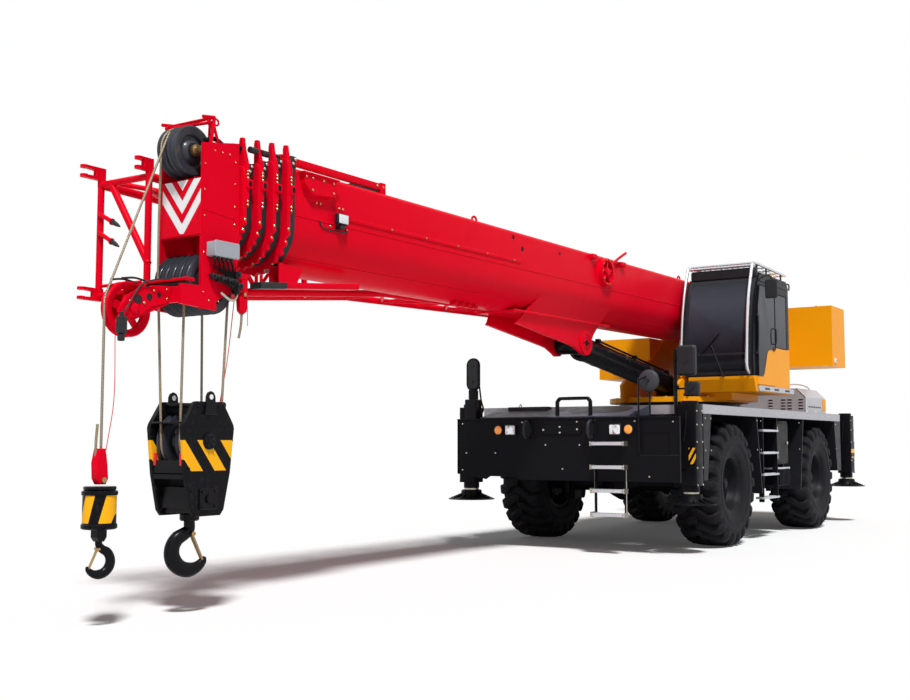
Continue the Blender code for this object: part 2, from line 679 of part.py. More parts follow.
def outrigger_jack():
    """The sliding leg with its ribbed float, about the leg's axis."""
    leg = cylinder((0, 0, (FLOAT_BOTTOM + JACK_LEG_TOP) / 2 + 0.02), JACK_LEG_RADIUS,
                   JACK_LEG_TOP - FLOAT_BOTTOM - 0.04, "Z")
    plate = cylinder((0, 0, FLOAT_BOTTOM + FLOAT_RIM / 2), FLOAT_RADIUS, FLOAT_RIM, "Z")
    cone = cylinder((0, 0, FLOAT_BOTTOM + FLOAT_HEIGHT / 2), FLOAT_RADIUS - 0.02, FLOAT_HEIGHT, "Z", 0.10)
    return fuse(leg, [plate, cone])


# Outriggers: name, beam x, side.
OUTRIGGERS = [
    ("front_left", FRONT_LEFT_BEAM_X, 1),
    ("front_right", FRONT_RIGHT_BEAM_X, -1),
    ("rear_left", REAR_LEFT_BEAM_X, 1),
    ("rear_right", REAR_RIGHT_BEAM_X, -1),
]
for key, beam_x, side in OUTRIGGERS:
    slide = empty("beam_slide_" + key, whole, (beam_x, 0, 0))
    node("outrigger_beam_" + key, outrigger_beam(side), "carrier_black", slide)
    node("outrigger_jack_" + key, outrigger_jack(), "carrier_black", slide, (0, side * JACK_Y, 0))


# Superstructure

def turntable():
    """The slewing platform with the two cheeks that carry the boom, the winches and the counterweight."""
    top = PLATFORM_BOTTOM + PLATFORM_THICKNESS
    disc = cylinder((0, 0, (PLATFORM_BOTTOM + top) / 2), PLATFORM_RADIUS, PLATFORM_THICKNESS, "Z", facets=36)
    cheek = [(1.02, PLATFORM_BOTTOM), (1.05, 2.10), (0.60, 2.38), (0.05, 2.52), (-0.95, 3.22), (-1.30, 3.34),
             (-1.75, 3.34), (-2.20, 3.10), (-3.036 + 0.0, 3.05), (-3.036 + 0.0, 2.60), (-2.20, 2.50), (-1.10, 1.95),
             (-0.90, PLATFORM_BOTTOM)]
    cheeks = [prism([cheek], "Y", low, low + CHEEK_THICKNESS) for low in (CHEEK_INNER, -CHEEK_INNER - CHEEK_THICKNESS)]
    floor = box((-3.030, -CHEEK_INNER - 0.02, 2.52), (-2.25, CHEEK_INNER + 0.02, 2.60))
    cab_arm = box((-0.50, CHEEK_INNER + 0.01, PLATFORM_BOTTOM + 0.02), (0.60, 1.02, CAB_BOTTOM - FACE_GAP))
    lugs = [box((CYLINDER_FOOT_X - 0.18, y - 0.03, top - 0.02), (CYLINDER_FOOT_X + 0.18, y + 0.03, CYLINDER_FOOT_Z + 0.14))
            for y in (-FOOT_LUG_INNER - FOOT_LUG / 2, FOOT_LUG_INNER + FOOT_LUG / 2)]
    right_box = box((-1.75, -1.25, 2.25), (0.05, -CHEEK_INNER - 0.02, 2.85))
    pin = cylinder((BOOM_PIVOT_X, 0, BOOM_PIVOT_Z), 0.07, 2 * CHEEK_INNER + 0.16, "Y")
    return fuse(disc, [*cheeks, floor, cab_arm, *lugs, right_box, pin])


node("turntable", turntable(), "house_yellow", slew)
node("counterweight", box((COUNTERWEIGHT_REAR, -COUNTERWEIGHT_HALF_WIDTH, COUNTERWEIGHT_BOTTOM),
                          (COUNTERWEIGHT_FRONT - FACE_GAP, COUNTERWEIGHT_HALF_WIDTH, COUNTERWEIGHT_TOP)),
     "house_yellow", slew)


def winches():
    """The main and auxiliary winch drums on one base frame between the cheeks."""
    base = box((-2.98, -0.36, 2.60 + FACE_GAP), (-2.30, 0.36, 2.64))
    parts = []
    for x in (-2.80, -2.48):
        parts.append(cylinder((x, 0, 2.80), 0.10, 0.66, "Y", facets=16))
        for y in (-0.29, 0.29):
            parts.append(cylinder((x, y, 2.80), 0.15, 0.03, "Y", facets=16))
        parts += [box((x - 0.04, y - 0.02, 2.62), (x + 0.04, y + 0.02, 2.86)) for y in (-0.33, 0.33)]
    return fuse(base, parts)


node("winches", winches(), "sheave_dark", slew)


# Cab

CAB_OUTLINE = [
    (0.800, CAB_BOTTOM), (0.870, 2.150), (CAB_FRONT, 2.400), (0.860, 2.900), (0.760, 3.300), (0.600, 3.560),
    (0.520, CAB_ROOF), (-0.600, CAB_ROOF), (CAB_REAR, 3.540), (CAB_REAR, CAB_BOTTOM),
]


def inset(outline, distance):
    """The outline moved inwards by a distance: each side is offset and neighbours are intersected."""
    count = len(outline)
    area = sum(outline[i][0] * outline[(i + 1) % count][1] - outline[(i + 1) % count][0] * outline[i][1]
               for i in range(count))
    turn = 1.0 if area > 0 else -1.0
    lines = []
    for i in range(count):
        start, end = Vector(outline[i]), Vector(outline[(i + 1) % count])
        along = (end - start).normalized()
        inward = Vector((-along.y, along.x)) * turn
        lines.append((start + inward * distance, along))
    points = []
    for i in range(count):
        (p, d), (q, e) = lines[i - 1], lines[i]
        cross = d.x * e.y - d.y * e.x
        if abs(cross) < 1e-6:
            points.append(tuple(q))
        else:
            t = ((q - p).x * e.y - (q - p).y * e.x) / cross
            points.append(tuple(p + d * t))
    return points


def cab_shell():
    shell = prism([CAB_OUTLINE], "Y", CAB_RIGHT, CAB_LEFT)
    space = prism([inset(CAB_OUTLINE, CAB_WALL)], "Y", CAB_RIGHT + CAB_WALL, CAB_LEFT - CAB_WALL)
    front_window = box((0.45, CAB_RIGHT + 0.07, 2.28), (1.2, CAB_LEFT - 0.07, 3.50))
    roof_window = box((-0.30, CAB_RIGHT + 0.15, 3.5), (0.40, CAB_LEFT - 0.15, 3.8))
    right_window = box((-0.50, CAB_RIGHT - 0.1, 2.60), (0.62, CAB_RIGHT + 0.1, 3.40))
    rear_window = box((CAB_REAR - 0.1, CAB_RIGHT + 0.12, 2.70), (CAB_REAR + 0.1, CAB_LEFT - 0.12, 3.42))
    doorway = box((DOOR_REAR + 0.04, CAB_LEFT - 0.1, DOOR_BOTTOM + 0.03), (DOOR_FRONT - 0.06, CAB_LEFT + 0.1, DOOR_TOP - 0.04))
    left_window = box((-0.58, CAB_LEFT - 0.1, 2.62), (DOOR_REAR - 0.03, CAB_LEFT + 0.1, 3.40))
    return fuse(shell, [], [space, front_window, roof_window, right_window, rear_window, doorway, left_window])


node("cab_shell", cab_shell(), "house_yellow", slew)


def cab_windscreen():
    """The front glass: a thin curved band that follows the cab's front outline inside its opening."""
    outer = inset(CAB_OUTLINE, 0.010)
    inner = inset(CAB_OUTLINE, 0.010 + GLASS_THICKNESS)
    band = prism([outer, inner], "Y", CAB_RIGHT + 0.071, CAB_LEFT - 0.071)
    keep = box((0.60, 0, 2.2805), (1.2, 2, 3.4995))
    step = band.modifiers.new("keep", "BOOLEAN")
    step.operation = "INTERSECT"
    step.solver = "EXACT"
    step.object = keep
    pane = bake(band)
    bpy.data.objects.remove(keep, do_unlink=True)
    return pane


node("cab_windscreen", cab_windscreen(), "tinted_glass", slew)


def cab_door():
    """The sliding door outside the cab's left wall, with its window cut."""
    y = CAB_LEFT + RUN_GAP
    outline = [(DOOR_REAR, DOOR_BOTTOM), (DOOR_FRONT, DOOR_BOTTOM), (DOOR_FRONT, 3.10), (0.66, DOOR_TOP),
               (DOOR_REAR, DOOR_TOP)]
    window = [(DOOR_REAR + DOOR_FRAME, 2.60), (DOOR_FRONT - 0.28, 2.55), (DOOR_FRONT - DOOR_FRAME, 2.25),
              (DOOR_FRONT - DOOR_FRAME, 3.06), (0.62, DOOR_TOP - DOOR_FRAME), (DOOR_REAR + DOOR_FRAME, DOOR_TOP - DOOR_FRAME)]
    return prism([outline, window], "Y", y, y + DOOR_THICKNESS)


node("cab_door", cab_door(), "house_yellow", slew)


def cab_guard():
    """The tube guard over the roof and down the windscreen's two sides."""
    left, right = CAB_LEFT - 0.06, CAB_RIGHT + 0.06
    top = GUARD_TOP - GUARD_TUBE
    rails = []
    for y in (left, right):
        rails.append(rod([(-0.55, y, top), (0.55, y, top), (0.72, y, 3.60), (0.86, y, 3.30), (0.96, y, 2.90)],
                         GUARD_TUBE))
        rails += [rod([(x, y, CAB_ROOF + FACE_GAP), (x, y, top)], 0.018) for x in (-0.5, 0.3)]
    rails += [rod([(x, right, top), (x, left, top)], 0.018) for x in (-0.55, -0.2, 0.15, 0.5)]
    rails.append(rod([(0.96, right, 2.90), (0.96, left, 2.90)], 0.018))
    return fuse(rails[0], rails[1:])


node("cab_guard", cab_guard(), "guard_silver", slew)


def cab_seat():
    floor = CAB_BOTTOM + CAB_WALL + FACE_GAP
    middle = (CAB_LEFT + CAB_RIGHT) / 2
    base = box((-0.35, middle - 0.18, floor), (0.05, middle + 0.18, floor + 0.30))
    cushion = box((-0.40, middle - 0.25, floor + 0.28), (0.14, middle + 0.25, floor + 0.42))
    back = box((-0.50, middle - 0.24, floor + 0.38), (-0.36, middle + 0.24, floor + 1.00))
    head = box((-0.49, middle - 0.13, floor + 0.98), (-0.39, middle + 0.13, floor + 1.20))
    consoles = [box((-0.30, y - 0.07, floor + 0.38), (0.22, y + 0.07, floor + 0.62))
                for y in (middle - 0.30, middle + 0.30)]
    return fuse(base, [cushion, back, head, *consoles])


node("cab_seat", cab_seat(), "seat_dark", slew)


# Boom: every section is modelled along +X from the boom's pivot

MID = BOOM_MID_Z - BOOM_PIVOT_Z + BOOM_PIVOT_X * math.tan(BOOM_ANGLE)


def along(x):
    """Distance along the boom from its pivot, for a place measured from the slewing axis."""
    return x - BOOM_PIVOT_X


def boom_outline(width, height):
    """Box upper half and rounded lower half, about the section's middle."""
    half, tall = width / 2, height / 2
    bend = 0.05
    points = [(-half + bend, tall), (-half, tall - bend), (-half, -0.15 * tall)]
    steps = 6
    for index in range(1, steps):
        angle = math.pi * index / steps
        points.append((-half * math.cos(angle) * 0.97, -0.15 * tall - 0.85 * tall * math.sin(angle)))
    points += [(half, -0.15 * tall), (half, tall - bend), (half - bend, tall)]
    return [(y, z + MID) for y, z in points]


def boom_section(index, start, front):
    """One section's solid skin, the collar at its front end and its bore; index 0 is the base section."""
    width = BASE_WIDTH - index * SECTION_STEP
    height = BASE_HEIGHT - index * SECTION_STEP
    skin = boom_outline(width, height)
    bore = boom_outline(width - 2 * BOOM_WALL, height - 2 * BOOM_WALL)
    ring = boom_outline(width + 2 * COLLAR_RISE, height + 2 * COLLAR_RISE)
    tube = prism([skin], "X", along(start), along(front) - 0.02)
    collar = prism([ring], "X", along(front) - COLLAR_LENGTH, along(front))
    space = prism([bore], "X", along(start) - 0.1, along(front) - COLLAR_LENGTH / 2)
    next_width = width - SECTION_STEP + 2 * RUN_GAP
    next_height = height - SECTION_STEP + 2 * RUN_GAP
    throat = prism([boom_outline(next_width, next_height)], "X", along(front) - COLLAR_LENGTH, along(front) + 0.1)
    return tube, collar, space, throat


def collar_front(index):
    return BASE_FRONT + COLLAR_LENGTH + index * COLLAR_PITCH


def base_section():
    tube, collar, space, throat = boom_section(0, BOOM_TAIL, collar_front(0))
    eye_x, eye_z = along(CYLINDER_EYE_X), CYLINDER_EYE_Z - BOOM_PIVOT_Z + CYLINDER_EYE_X * -math.tan(BOOM_ANGLE)
    belly = MID - BASE_HEIGHT / 2
    plates = []
    cheek = [(eye_x - 0.14, eye_z), (eye_x, eye_z - 0.16), (eye_x + 0.30, eye_z - 0.06), (eye_x + 1.75, belly + 0.10),
             (eye_x - 0.55, belly + 0.10)]
    for low in (BRACKET_INNER, -BRACKET_INNER - BRACKET_PLATE):
        plates.append(prism([cheek], "Y", low, low + BRACKET_PLATE))
    tail_lug = [(along(BOOM_TAIL) + 0.05, MID - 0.25), (-0.14, -0.12), (0.0, -0.17), (0.14, -0.12), (0.55, MID - 0.25)]
    lugs = [prism([tail_lug], "Y", low, low + 0.06) for low in (0.26, -0.32)]
    pivot_hole = cylinder((0, 0, 0), 0.07 + SLIDE_GAP, 1.0, "Y")
    bosses = [cylinder((0, side * (0.27 + CHEEK_INNER - RUN_GAP) / 2, 0), BOOM_BOSS_RADIUS,
                       CHEEK_INNER - RUN_GAP - 0.27, "Y") for side in (-1, 1)]
    return fuse(tube, [collar, *plates, *lugs, *bosses], [space, throat, pivot_hole])


node("boom_base", base_section(), "boom_red", boom)
for index in (1, 2, 3):
    tube, collar, space, throat = boom_section(index, SECTION_START + index * SECTION_START_STEP, collar_front(index))
    node("boom_section_" + str(index + 1), fuse(tube, [collar], [space, throat]), "boom_red", boom)


def local(x, z):
    """A place in the crane's side view, turned into the boom's own directions."""
    offset = Vector((x - BOOM_PIVOT_X, z - BOOM_PIVOT_Z))
    c, s = math.cos(BOOM_ANGLE), math.sin(BOOM_ANGLE)
    return (offset.x * c + offset.y * s, -offset.x * s + offset.y * c)


def head_section():
    """The innermost section and the boom head it carries, with the arms for the nose sheave."""
    width = BASE_WIDTH - 4 * SECTION_STEP
    height = BASE_HEIGHT - 4 * SECTION_STEP
    skin = boom_outline(width, height)
    bore = boom_outline(width - 2 * BOOM_WALL, height - 2 * BOOM_WALL)
    tube = prism([skin, bore], "X", along(SECTION_START + 4 * SECTION_START_STEP), along(HEAD_REAR + 0.02))
    cheek = [local(x, z) for x, z in (
        (HEAD_REAR, HEAD_TOP + 0.07), (HEAD_FRONT, HEAD_TOP), (HEAD_FRONT, HEAD_BOTTOM), (HEAD_REAR + 0.06, HEAD_BOTTOM + 0.15),
        (HEAD_REAR - 0.02, 2.75))]
    cheeks = [prism([cheek], "Y", low, low + HEAD_WALL) for low in (HEAD_HALF_WIDTH - HEAD_WALL, -HEAD_HALF_WIDTH)]
    front_low, front_high = local(HEAD_FRONT, 2.85), local(HEAD_FRONT, 3.275)
    front = box((front_low[0] - HEAD_WALL, -HEAD_HALF_WIDTH + 0.005, front_low[1]),
                (front_high[0], HEAD_HALF_WIDTH - 0.005, front_high[1]))
    back_low, back_high = local(HEAD_REAR, 2.78), local(HEAD_REAR, 3.60)
    back = box((back_low[0], -HEAD_HALF_WIDTH + 0.005, back_low[1]),
               (back_low[0] + HEAD_WALL, HEAD_HALF_WIDTH - 0.005, back_high[1]))
    toe = [local(x, z) for x, z in ((9.62, HEAD_BOTTOM), (9.62, 2.47), (9.98, 2.46), (9.98, HEAD_BOTTOM + 0.02))]
    toes = [prism([toe], "Y", low, low + HEAD_WALL) for low in (HEAD_HALF_WIDTH - HEAD_WALL, -HEAD_HALF_WIDTH)]
    arm = [local(x, z) for x, z in (
        (9.95, HEAD_BOTTOM + 0.03), (9.95, 2.45), (10.10, 2.44), (10.36, 2.34), (10.42, 2.22), (10.30, 2.16))]
    arms = [prism([arm], "Y", low, low + 0.02) for low in (0.062, -0.082)]
    yoke_low, yoke_high = local(9.935, HEAD_BOTTOM + 0.035), local(9.965, 2.445)
    yoke = box((yoke_low[0], -HEAD_HALF_WIDTH + 0.005, yoke_low[1]), (yoke_high[0], HEAD_HALF_WIDTH - 0.005, yoke_high[1]))
    tops = [rod([(*local(x0, z0)[:1], y, local(x0, z0)[1]), (local(x1, z1)[0], y, local(x1, z1)[1])], 0.014)
            for y in (-0.2225, 0.2225)
            for x0, z0, x1, z1 in ((9.70, 3.54, 9.66, 3.78), (9.66, 3.78, 9.78, 3.76))]
    cross = rod([(local(9.66, 3.78)[0], -0.2225, local(9.66, 3.78)[1]), (local(9.66, 3.78)[0], 0.2225, local(9.66, 3.78)[1])], 0.014)
    return fuse(tube, [back, *cheeks, front, *toes, yoke, *arms, *tops, cross])


node("boom_head", head_section(), "boom_red", boom)


def sheave_pack(radius, width, count, pin_half):
    """Grooved sheaves side by side on one pin, about the pin's middle."""
    pitch = width / count
    outer = []
    for index in range(count):
        start = -width / 2 + index * pitch
        outer += [(radius, start + 0.004), (radius - GROOVE_DEPTH, start + pitch / 2), (radius, start + pitch - 0.004)]
    drum = turned([(0.0, -width / 2), *outer, (0.0, width / 2)], facets=18)
    pin = cylinder((0, 0, 0), 0.035, 2 * pin_half, "Y", facets=12)
    return fuse(drum, [pin])


def at_boom(x, z):
    place = local(x, z)
    return (place[0], 0, place[1])


pin_reach = HEAD_HALF_WIDTH - HEAD_WALL - FACE_GAP
node("head_sheaves", sheave_pack(TOP_SHEAVE_RADIUS, 0.16, 2, pin_reach), "sheave_dark", boom,
     at_boom(TOP_SHEAVE_X, TOP_SHEAVE_Z))
node("lower_sheaves", sheave_pack(LOWER_SHEAVE_RADIUS, 0.36, 5, pin_reach), "sheave_dark", boom,
     at_boom(LOWER_SHEAVE_X, LOWER_SHEAVE_Z))
node("nose_sheave", sheave_pack(NOSE_SHEAVE_RADIUS, 0.07, 1, 0.062 - FACE_GAP), "boom_red", boom,
     at_boom(NOSE_SHEAVE_X, NOSE_SHEAVE_Z))


def bar_between(start, end, radius, extra):
    """A straight six-sided bar whose ends reach a little past the two given places."""
    start, end = Vector(start), Vector(end)
    reach = (end - start).normalized() * extra
    return rod([start - reach, end + reach], radius, 1)


def jib():
    """The stowed lattice jib on the boom's right side: four chords, end frames and bracing."""
    frames = [
        (9.70, -0.45, -1.02, 2.48, 3.40),
        (6.60, -0.45, -0.94, 2.80, 3.30),
        (1.80, -0.45, -0.84, 2.92, 3.22),
    ]
    corners = []
    for x, near, far, low, high in frames:
        a, b = local(x, low), local(x, high)
        corners.append([(a[0], near, a[1]), (a[0], far, a[1]), (b[0], far, b[1]), (b[0], near, b[1])])
    bars = []
    for index in range(4):
        bars.append(rod([ring[index] for ring in corners], 0.035, 1))
    for ring in corners:
        for index in range(4):
            bars.append(bar_between(ring[index], ring[(index + 1) % 4], 0.028, 0.013))
    for first, second in zip(corners, corners[1:]):
        for index in range(4):
            bars.append(bar_between(first[index], second[(index + 1) % 4], 0.021, 0.009))
    hangers = [box((along(x) - 0.05, -0.46, MID - 0.02), (along(x) + 0.05, -BASE_WIDTH / 2 - FACE_GAP, MID + 0.06))
               for x in (8.2, 2.6)]
    posts = [box((along(x) - 0.03, -0.475, MID - 0.42), (along(x) + 0.03, -0.425, MID + 0.12)) for x in (8.2, 2.6)]
    return fuse(bars[0], [*bars[1:], *hangers, *posts], merge=False)


node("jib", jib(), "boom_red", boom)


# Lift cylinder: modelled along +X from its foot pin

foot_to_eye = Vector((CYLINDER_EYE_X - CYLINDER_FOOT_X, CYLINDER_EYE_Z - CYLINDER_FOOT_Z))
CYLINDER_LENGTH = foot_to_eye.length
CYLINDER_ANGLE = math.atan2(foot_to_eye.y, foot_to_eye.x)
cylinder_axis = empty("lift_cylinder_foot", slew, (CYLINDER_FOOT_X, 0, CYLINDER_FOOT_Z), (0, -CYLINDER_ANGLE, 0))
BARREL_END = CYLINDER_LENGTH - EYE_RADIUS - 0.12


def barrel():
    tube = cylinder(((BARREL_END + 0.10) / 2, 0, 0), BARREL_RADIUS, BARREL_END - 0.10, "X")
    eye = cylinder((0, 0, 0), 0.13, 2 * (FOOT_LUG_INNER - RUN_GAP), "Y")
    bore = cylinder(((BARREL_END + 0.1 + BARREL_CLOSED_END) / 2, 0, 0), ROD_RADIUS + RUN_GAP,
                    BARREL_END + 0.1 - BARREL_CLOSED_END, "X")
    return fuse(tube, [eye], [bore])


def piston_rod():
    start = BARREL_CLOSED_END + 0.02
    shaft = cylinder(((start + CYLINDER_LENGTH) / 2, 0, 0), ROD_RADIUS, CYLINDER_LENGTH - start, "X")
    eye = cylinder((CYLINDER_LENGTH, 0, 0), EYE_RADIUS, 2 * EYE_HALF_WIDTH, "Y")
    return fuse(shaft, [eye])


node("lift_cylinder_barrel", barrel(), "cylinder_black", cylinder_axis)
node("lift_cylinder_rod", piston_rod(), "cylinder_black", cylinder_axis)


# Hooks

main_axis = empty("main_fall_axis", slew, (LOWER_SHEAVE_X, 0, LOWER_SHEAVE_Z))
aux_axis = empty("aux_fall_axis", slew, (NOSE_SHEAVE_X, 0, NOSE_SHEAVE_Z))


def main_falls():
    """Four rope falls down to the two sheaves of the hook block, about the upper sheaves' axis."""
    reach = LOWER_SHEAVE_RADIUS - ROPE_SEAT
    low = BLOCK_SHEAVE_Z - LOWER_SHEAVE_Z
    half = BLOCK_INNER - FACE_GAP
    rim_radius = BLOCK_SHEAVE_RADIUS
    profile = [(0.0, -half), (rim_radius, -0.14), (rim_radius - GROOVE_DEPTH, -FALL_Y), (rim_radius, -0.06),
               (rim_radius, 0.06), (rim_radius - GROOVE_DEPTH, FALL_Y), (rim_radius, 0.14), (0.0, half)]
    sheaves = turned(profile, facets=18, centre=(0, 0, low))
    ropes = []
    for top_y, low_y in ((-FALL_TOP_Y, -FALL_Y), (FALL_TOP_Y, FALL_Y)):
        for side in (-1, 1):
            ropes.append(rod([(side * reach, top_y, 0.02), (side * (rim_radius - 0.02), low_y, low)], ROPE_RADIUS, 1))
    return fuse(sheaves, ropes)


node("main_falls", main_falls(), "rope_steel", main_axis)


def hook_block():
    """Two hexagonal cheeks, their spacers and the trunnion block that carries the hook."""
    drop = LOWER_SHEAVE_Z
    outline = [(-0.14, 1.60), (0.14, 1.60), (0.27, 1.40), (0.24, 1.15), (0.14, 0.74), (-0.14, 0.74), (-0.24, 1.15), (-0.27, 1.40)]
    shape = [(x, z - drop) for x, z in outline]
    near = prism([shape], "Y", BLOCK_INNER, BLOCK_INNER + BLOCK_PLATE)
    far = prism([shape], "Y", -BLOCK_INNER - BLOCK_PLATE, -BLOCK_INNER)
    overlap = BLOCK_INNER + 0.005
    trunnion = box((-0.12, -overlap, 0.76 - drop), (0.12, overlap, 0.90 - drop))
    head = box((-0.10, -overlap, 1.545 - drop), (0.10, overlap, 1.59 - drop))
    return fuse(near, [far, trunnion, head])


node("hook_block", hook_block(), "hook_black", main_axis)


def hook_curve(radius, thickness, shank):
    """A hook about its shank's top: straight down, then round most of a circle, tapering to its tip."""
    centre = (0.0, -shank - radius)
    path = [Vector((0, 0, 0)), Vector((0, 0, -shank * 0.8))]
    for degrees in range(75, -165, -30):
        angle = math.radians(degrees)
        path.append(Vector((radius * math.cos(angle), 0, centre[1] + radius * math.sin(angle))))
    return rod(path, thickness, 2)


def main_hook():
    drop = LOWER_SHEAVE_Z
    top = 0.76 - drop - RUN_GAP
    nut = cylinder((0, 0, top - 0.03), 0.075, 0.06, "Z", facets=16)
    body = hook_curve(0.115, 0.045, 0.165)
    body.data.transform(Matrix.Translation((0, 0, top - 0.02)))
    return fuse(nut, [body])


node("main_hook", main_hook(), "hook_black", main_axis)


def aux_hook():
    """The single fall with its wedge socket, weight and hook, about the nose sheave's axis."""
    x = AUX_X - NOSE_SHEAVE_X
    rope = rod([(x, 0, 0.02), (x, 0, 1.20 - NOSE_SHEAVE_Z)], ROPE_RADIUS, 1)
    socket = cylinder((x, 0, 1.11 - NOSE_SHEAVE_Z), 0.055, 0.26, "Z", 0.03, 12)
    disc = cylinder((x, 0, 0.975 - NOSE_SHEAVE_Z), 0.115, 0.04, "Z")
    weight = cylinder((x, 0, (AUX_WEIGHT_TOP + AUX_WEIGHT_BOTTOM) / 2 - NOSE_SHEAVE_Z), AUX_WEIGHT_RADIUS,
                      AUX_WEIGHT_TOP - AUX_WEIGHT_BOTTOM, "Z")
    body = hook_curve(0.085, 0.030, 0.165)
    body.data.transform(Matrix.Translation((x, 0, AUX_WEIGHT_BOTTOM + 0.02 - NOSE_SHEAVE_Z)))
    return fuse(weight, [rope, socket, disc, body])


node("aux_hook", aux_hook(), "hook_black", aux_axis)
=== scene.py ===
"""Looks of a rough terrain crane: paint, tyres, ropes, hooks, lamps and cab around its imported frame.

Metres, in the frame's own directions: +X forward along the boom, +Y to the left, +Z up. Places are
written from the slewing axis and moved to the frame when a piece is made.
"""

import json
import math

import bmesh
import bpy
import numpy as np
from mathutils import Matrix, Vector


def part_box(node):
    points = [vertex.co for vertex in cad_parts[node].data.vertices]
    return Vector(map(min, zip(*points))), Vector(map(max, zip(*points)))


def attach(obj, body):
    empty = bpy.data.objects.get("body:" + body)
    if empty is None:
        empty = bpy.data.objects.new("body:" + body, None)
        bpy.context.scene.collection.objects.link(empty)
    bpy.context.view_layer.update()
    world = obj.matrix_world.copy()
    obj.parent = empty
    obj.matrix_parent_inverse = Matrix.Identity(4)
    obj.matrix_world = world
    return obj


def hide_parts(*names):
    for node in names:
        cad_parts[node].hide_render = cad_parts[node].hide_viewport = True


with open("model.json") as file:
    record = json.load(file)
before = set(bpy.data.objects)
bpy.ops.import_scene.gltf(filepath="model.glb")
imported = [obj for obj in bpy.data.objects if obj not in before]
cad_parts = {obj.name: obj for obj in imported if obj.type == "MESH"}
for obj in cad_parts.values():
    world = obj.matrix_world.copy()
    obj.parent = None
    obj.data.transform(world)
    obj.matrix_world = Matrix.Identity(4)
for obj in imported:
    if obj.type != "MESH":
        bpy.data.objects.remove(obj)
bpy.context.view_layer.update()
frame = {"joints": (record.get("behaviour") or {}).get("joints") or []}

bl_info = {
    "name": "Rough Terrain Crane Looks",
    "version": (1, 0, 0),
    "blender": (4, 5, 0),
    "location": "View3D > Sidebar > Crane",
    "description": "Dresses a packed rough terrain crane: paint, tyres, ropes, hooks and cab",
    "category": "Object",
}

JOINTS = {joint["name"]: joint for joint in frame["joints"]}
AXIS_X = JOINTS["slew"]["pos_m"][0]
CORNERS = ("front_left", "front_right", "rear_left", "rear_right")


# Shapes worked out as arrays

def quads(rows, columns, wrap_rows=False, wrap_columns=True):
    """Corner numbers of the four-sided faces of a grid of points, row by row."""
    i = np.arange(rows if wrap_rows else rows - 1)[:, None]
    j = np.arange(columns if wrap_columns else columns - 1)[None, :]
    after_i, after_j = (i + 1) % rows, (j + 1) % columns
    corners = [i * columns + j, i * columns + after_j, after_i * columns + after_j, after_i * columns + j]
    return np.stack(np.broadcast_arrays(*corners), -1).reshape(-1, 4)


def turn_to(axis, flat, along):
    """Places a flat point (a, b) and a distance along an axis: X gives (y, z), Y gives (x, z), Z gives
    (x, y)."""
    a, b, c = np.broadcast_arrays(flat[..., 0], flat[..., 1], along)
    order = {"X": (c, a, b), "Y": (a, c, b), "Z": (a, b, c)}[axis]
    return np.stack(order, -1)


def shrink(outline, distance):
    """A closed outline moved inwards: each corner goes along its bisector by distance over the half
    angle's cosine."""
    outline = np.asarray(outline, float)
    ahead = np.roll(outline, -1, 0) - outline
    ahead /= np.maximum(np.linalg.norm(ahead, axis=1, keepdims=True), 1e-9)
    area = np.sum(outline[:, 0] * np.roll(outline[:, 1], -1) - np.roll(outline[:, 0], -1) * outline[:, 1])
    inward = np.stack([-ahead[:, 1], ahead[:, 0]], -1) * (1.0 if area > 0 else -1.0)
    before = np.roll(inward, 1, 0)
    bisector = inward + before
    length = np.maximum(np.sum(bisector * inward, 1, keepdims=True), 0.35)
    return outline + bisector / length * distance


def rounded(low, high, radius, steps=4):
    """A rectangle from its low to its high corner with its corners turned as quarter circles."""
    quarter = np.linspace(0, math.pi / 2, steps)
    centres = [(high[0] - radius, high[1] - radius), (low[0] + radius, high[1] - radius),
               (low[0] + radius, low[1] + radius), (high[0] - radius, low[1] + radius)]
    arcs = [np.stack([cx + radius * np.cos(quarter + turn), cy + radius * np.sin(quarter + turn)], -1)
            for (cx, cy), turn in zip(centres, np.arange(4) * math.pi / 2)]
    return np.concatenate(arcs)


def circle(centre, radius, count=32):
    """Points of a circle: centre plus radius times (cosine, sine)."""
    angle = np.linspace(0, 2 * math.pi, count, endpoint=False)
    return np.stack([centre[0] + radius * np.cos(angle), centre[1] + radius * np.sin(angle)], -1)


def smooth_path(points, count):
    """A Catmull-Rom curve through points: each stretch is the cubic whose ends have the neighbours'
    slopes."""
    points = np.asarray(points, float)
    padded = np.concatenate([2 * points[:1] - points[1:2], points, 2 * points[-1:] - points[-2:-1]])
    place = np.linspace(0, len(points) - 1, count)
    index = np.minimum(place.astype(int), len(points) - 2)
    t = (place - index)[:, None]
    a, b, c, d = (padded[index + k] for k in range(4))
    squared, cubed = 2 * a - 5 * b + 4 * c - d, 3 * b - a - 3 * c + d
    return 0.5 * (2 * b + (c - a) * t + squared * t ** 2 + cubed * t ** 3)


def facing(side):
    """The way out on a side of the crane, as bolts name it."""
    return "Y" if side > 0 else "-Y"


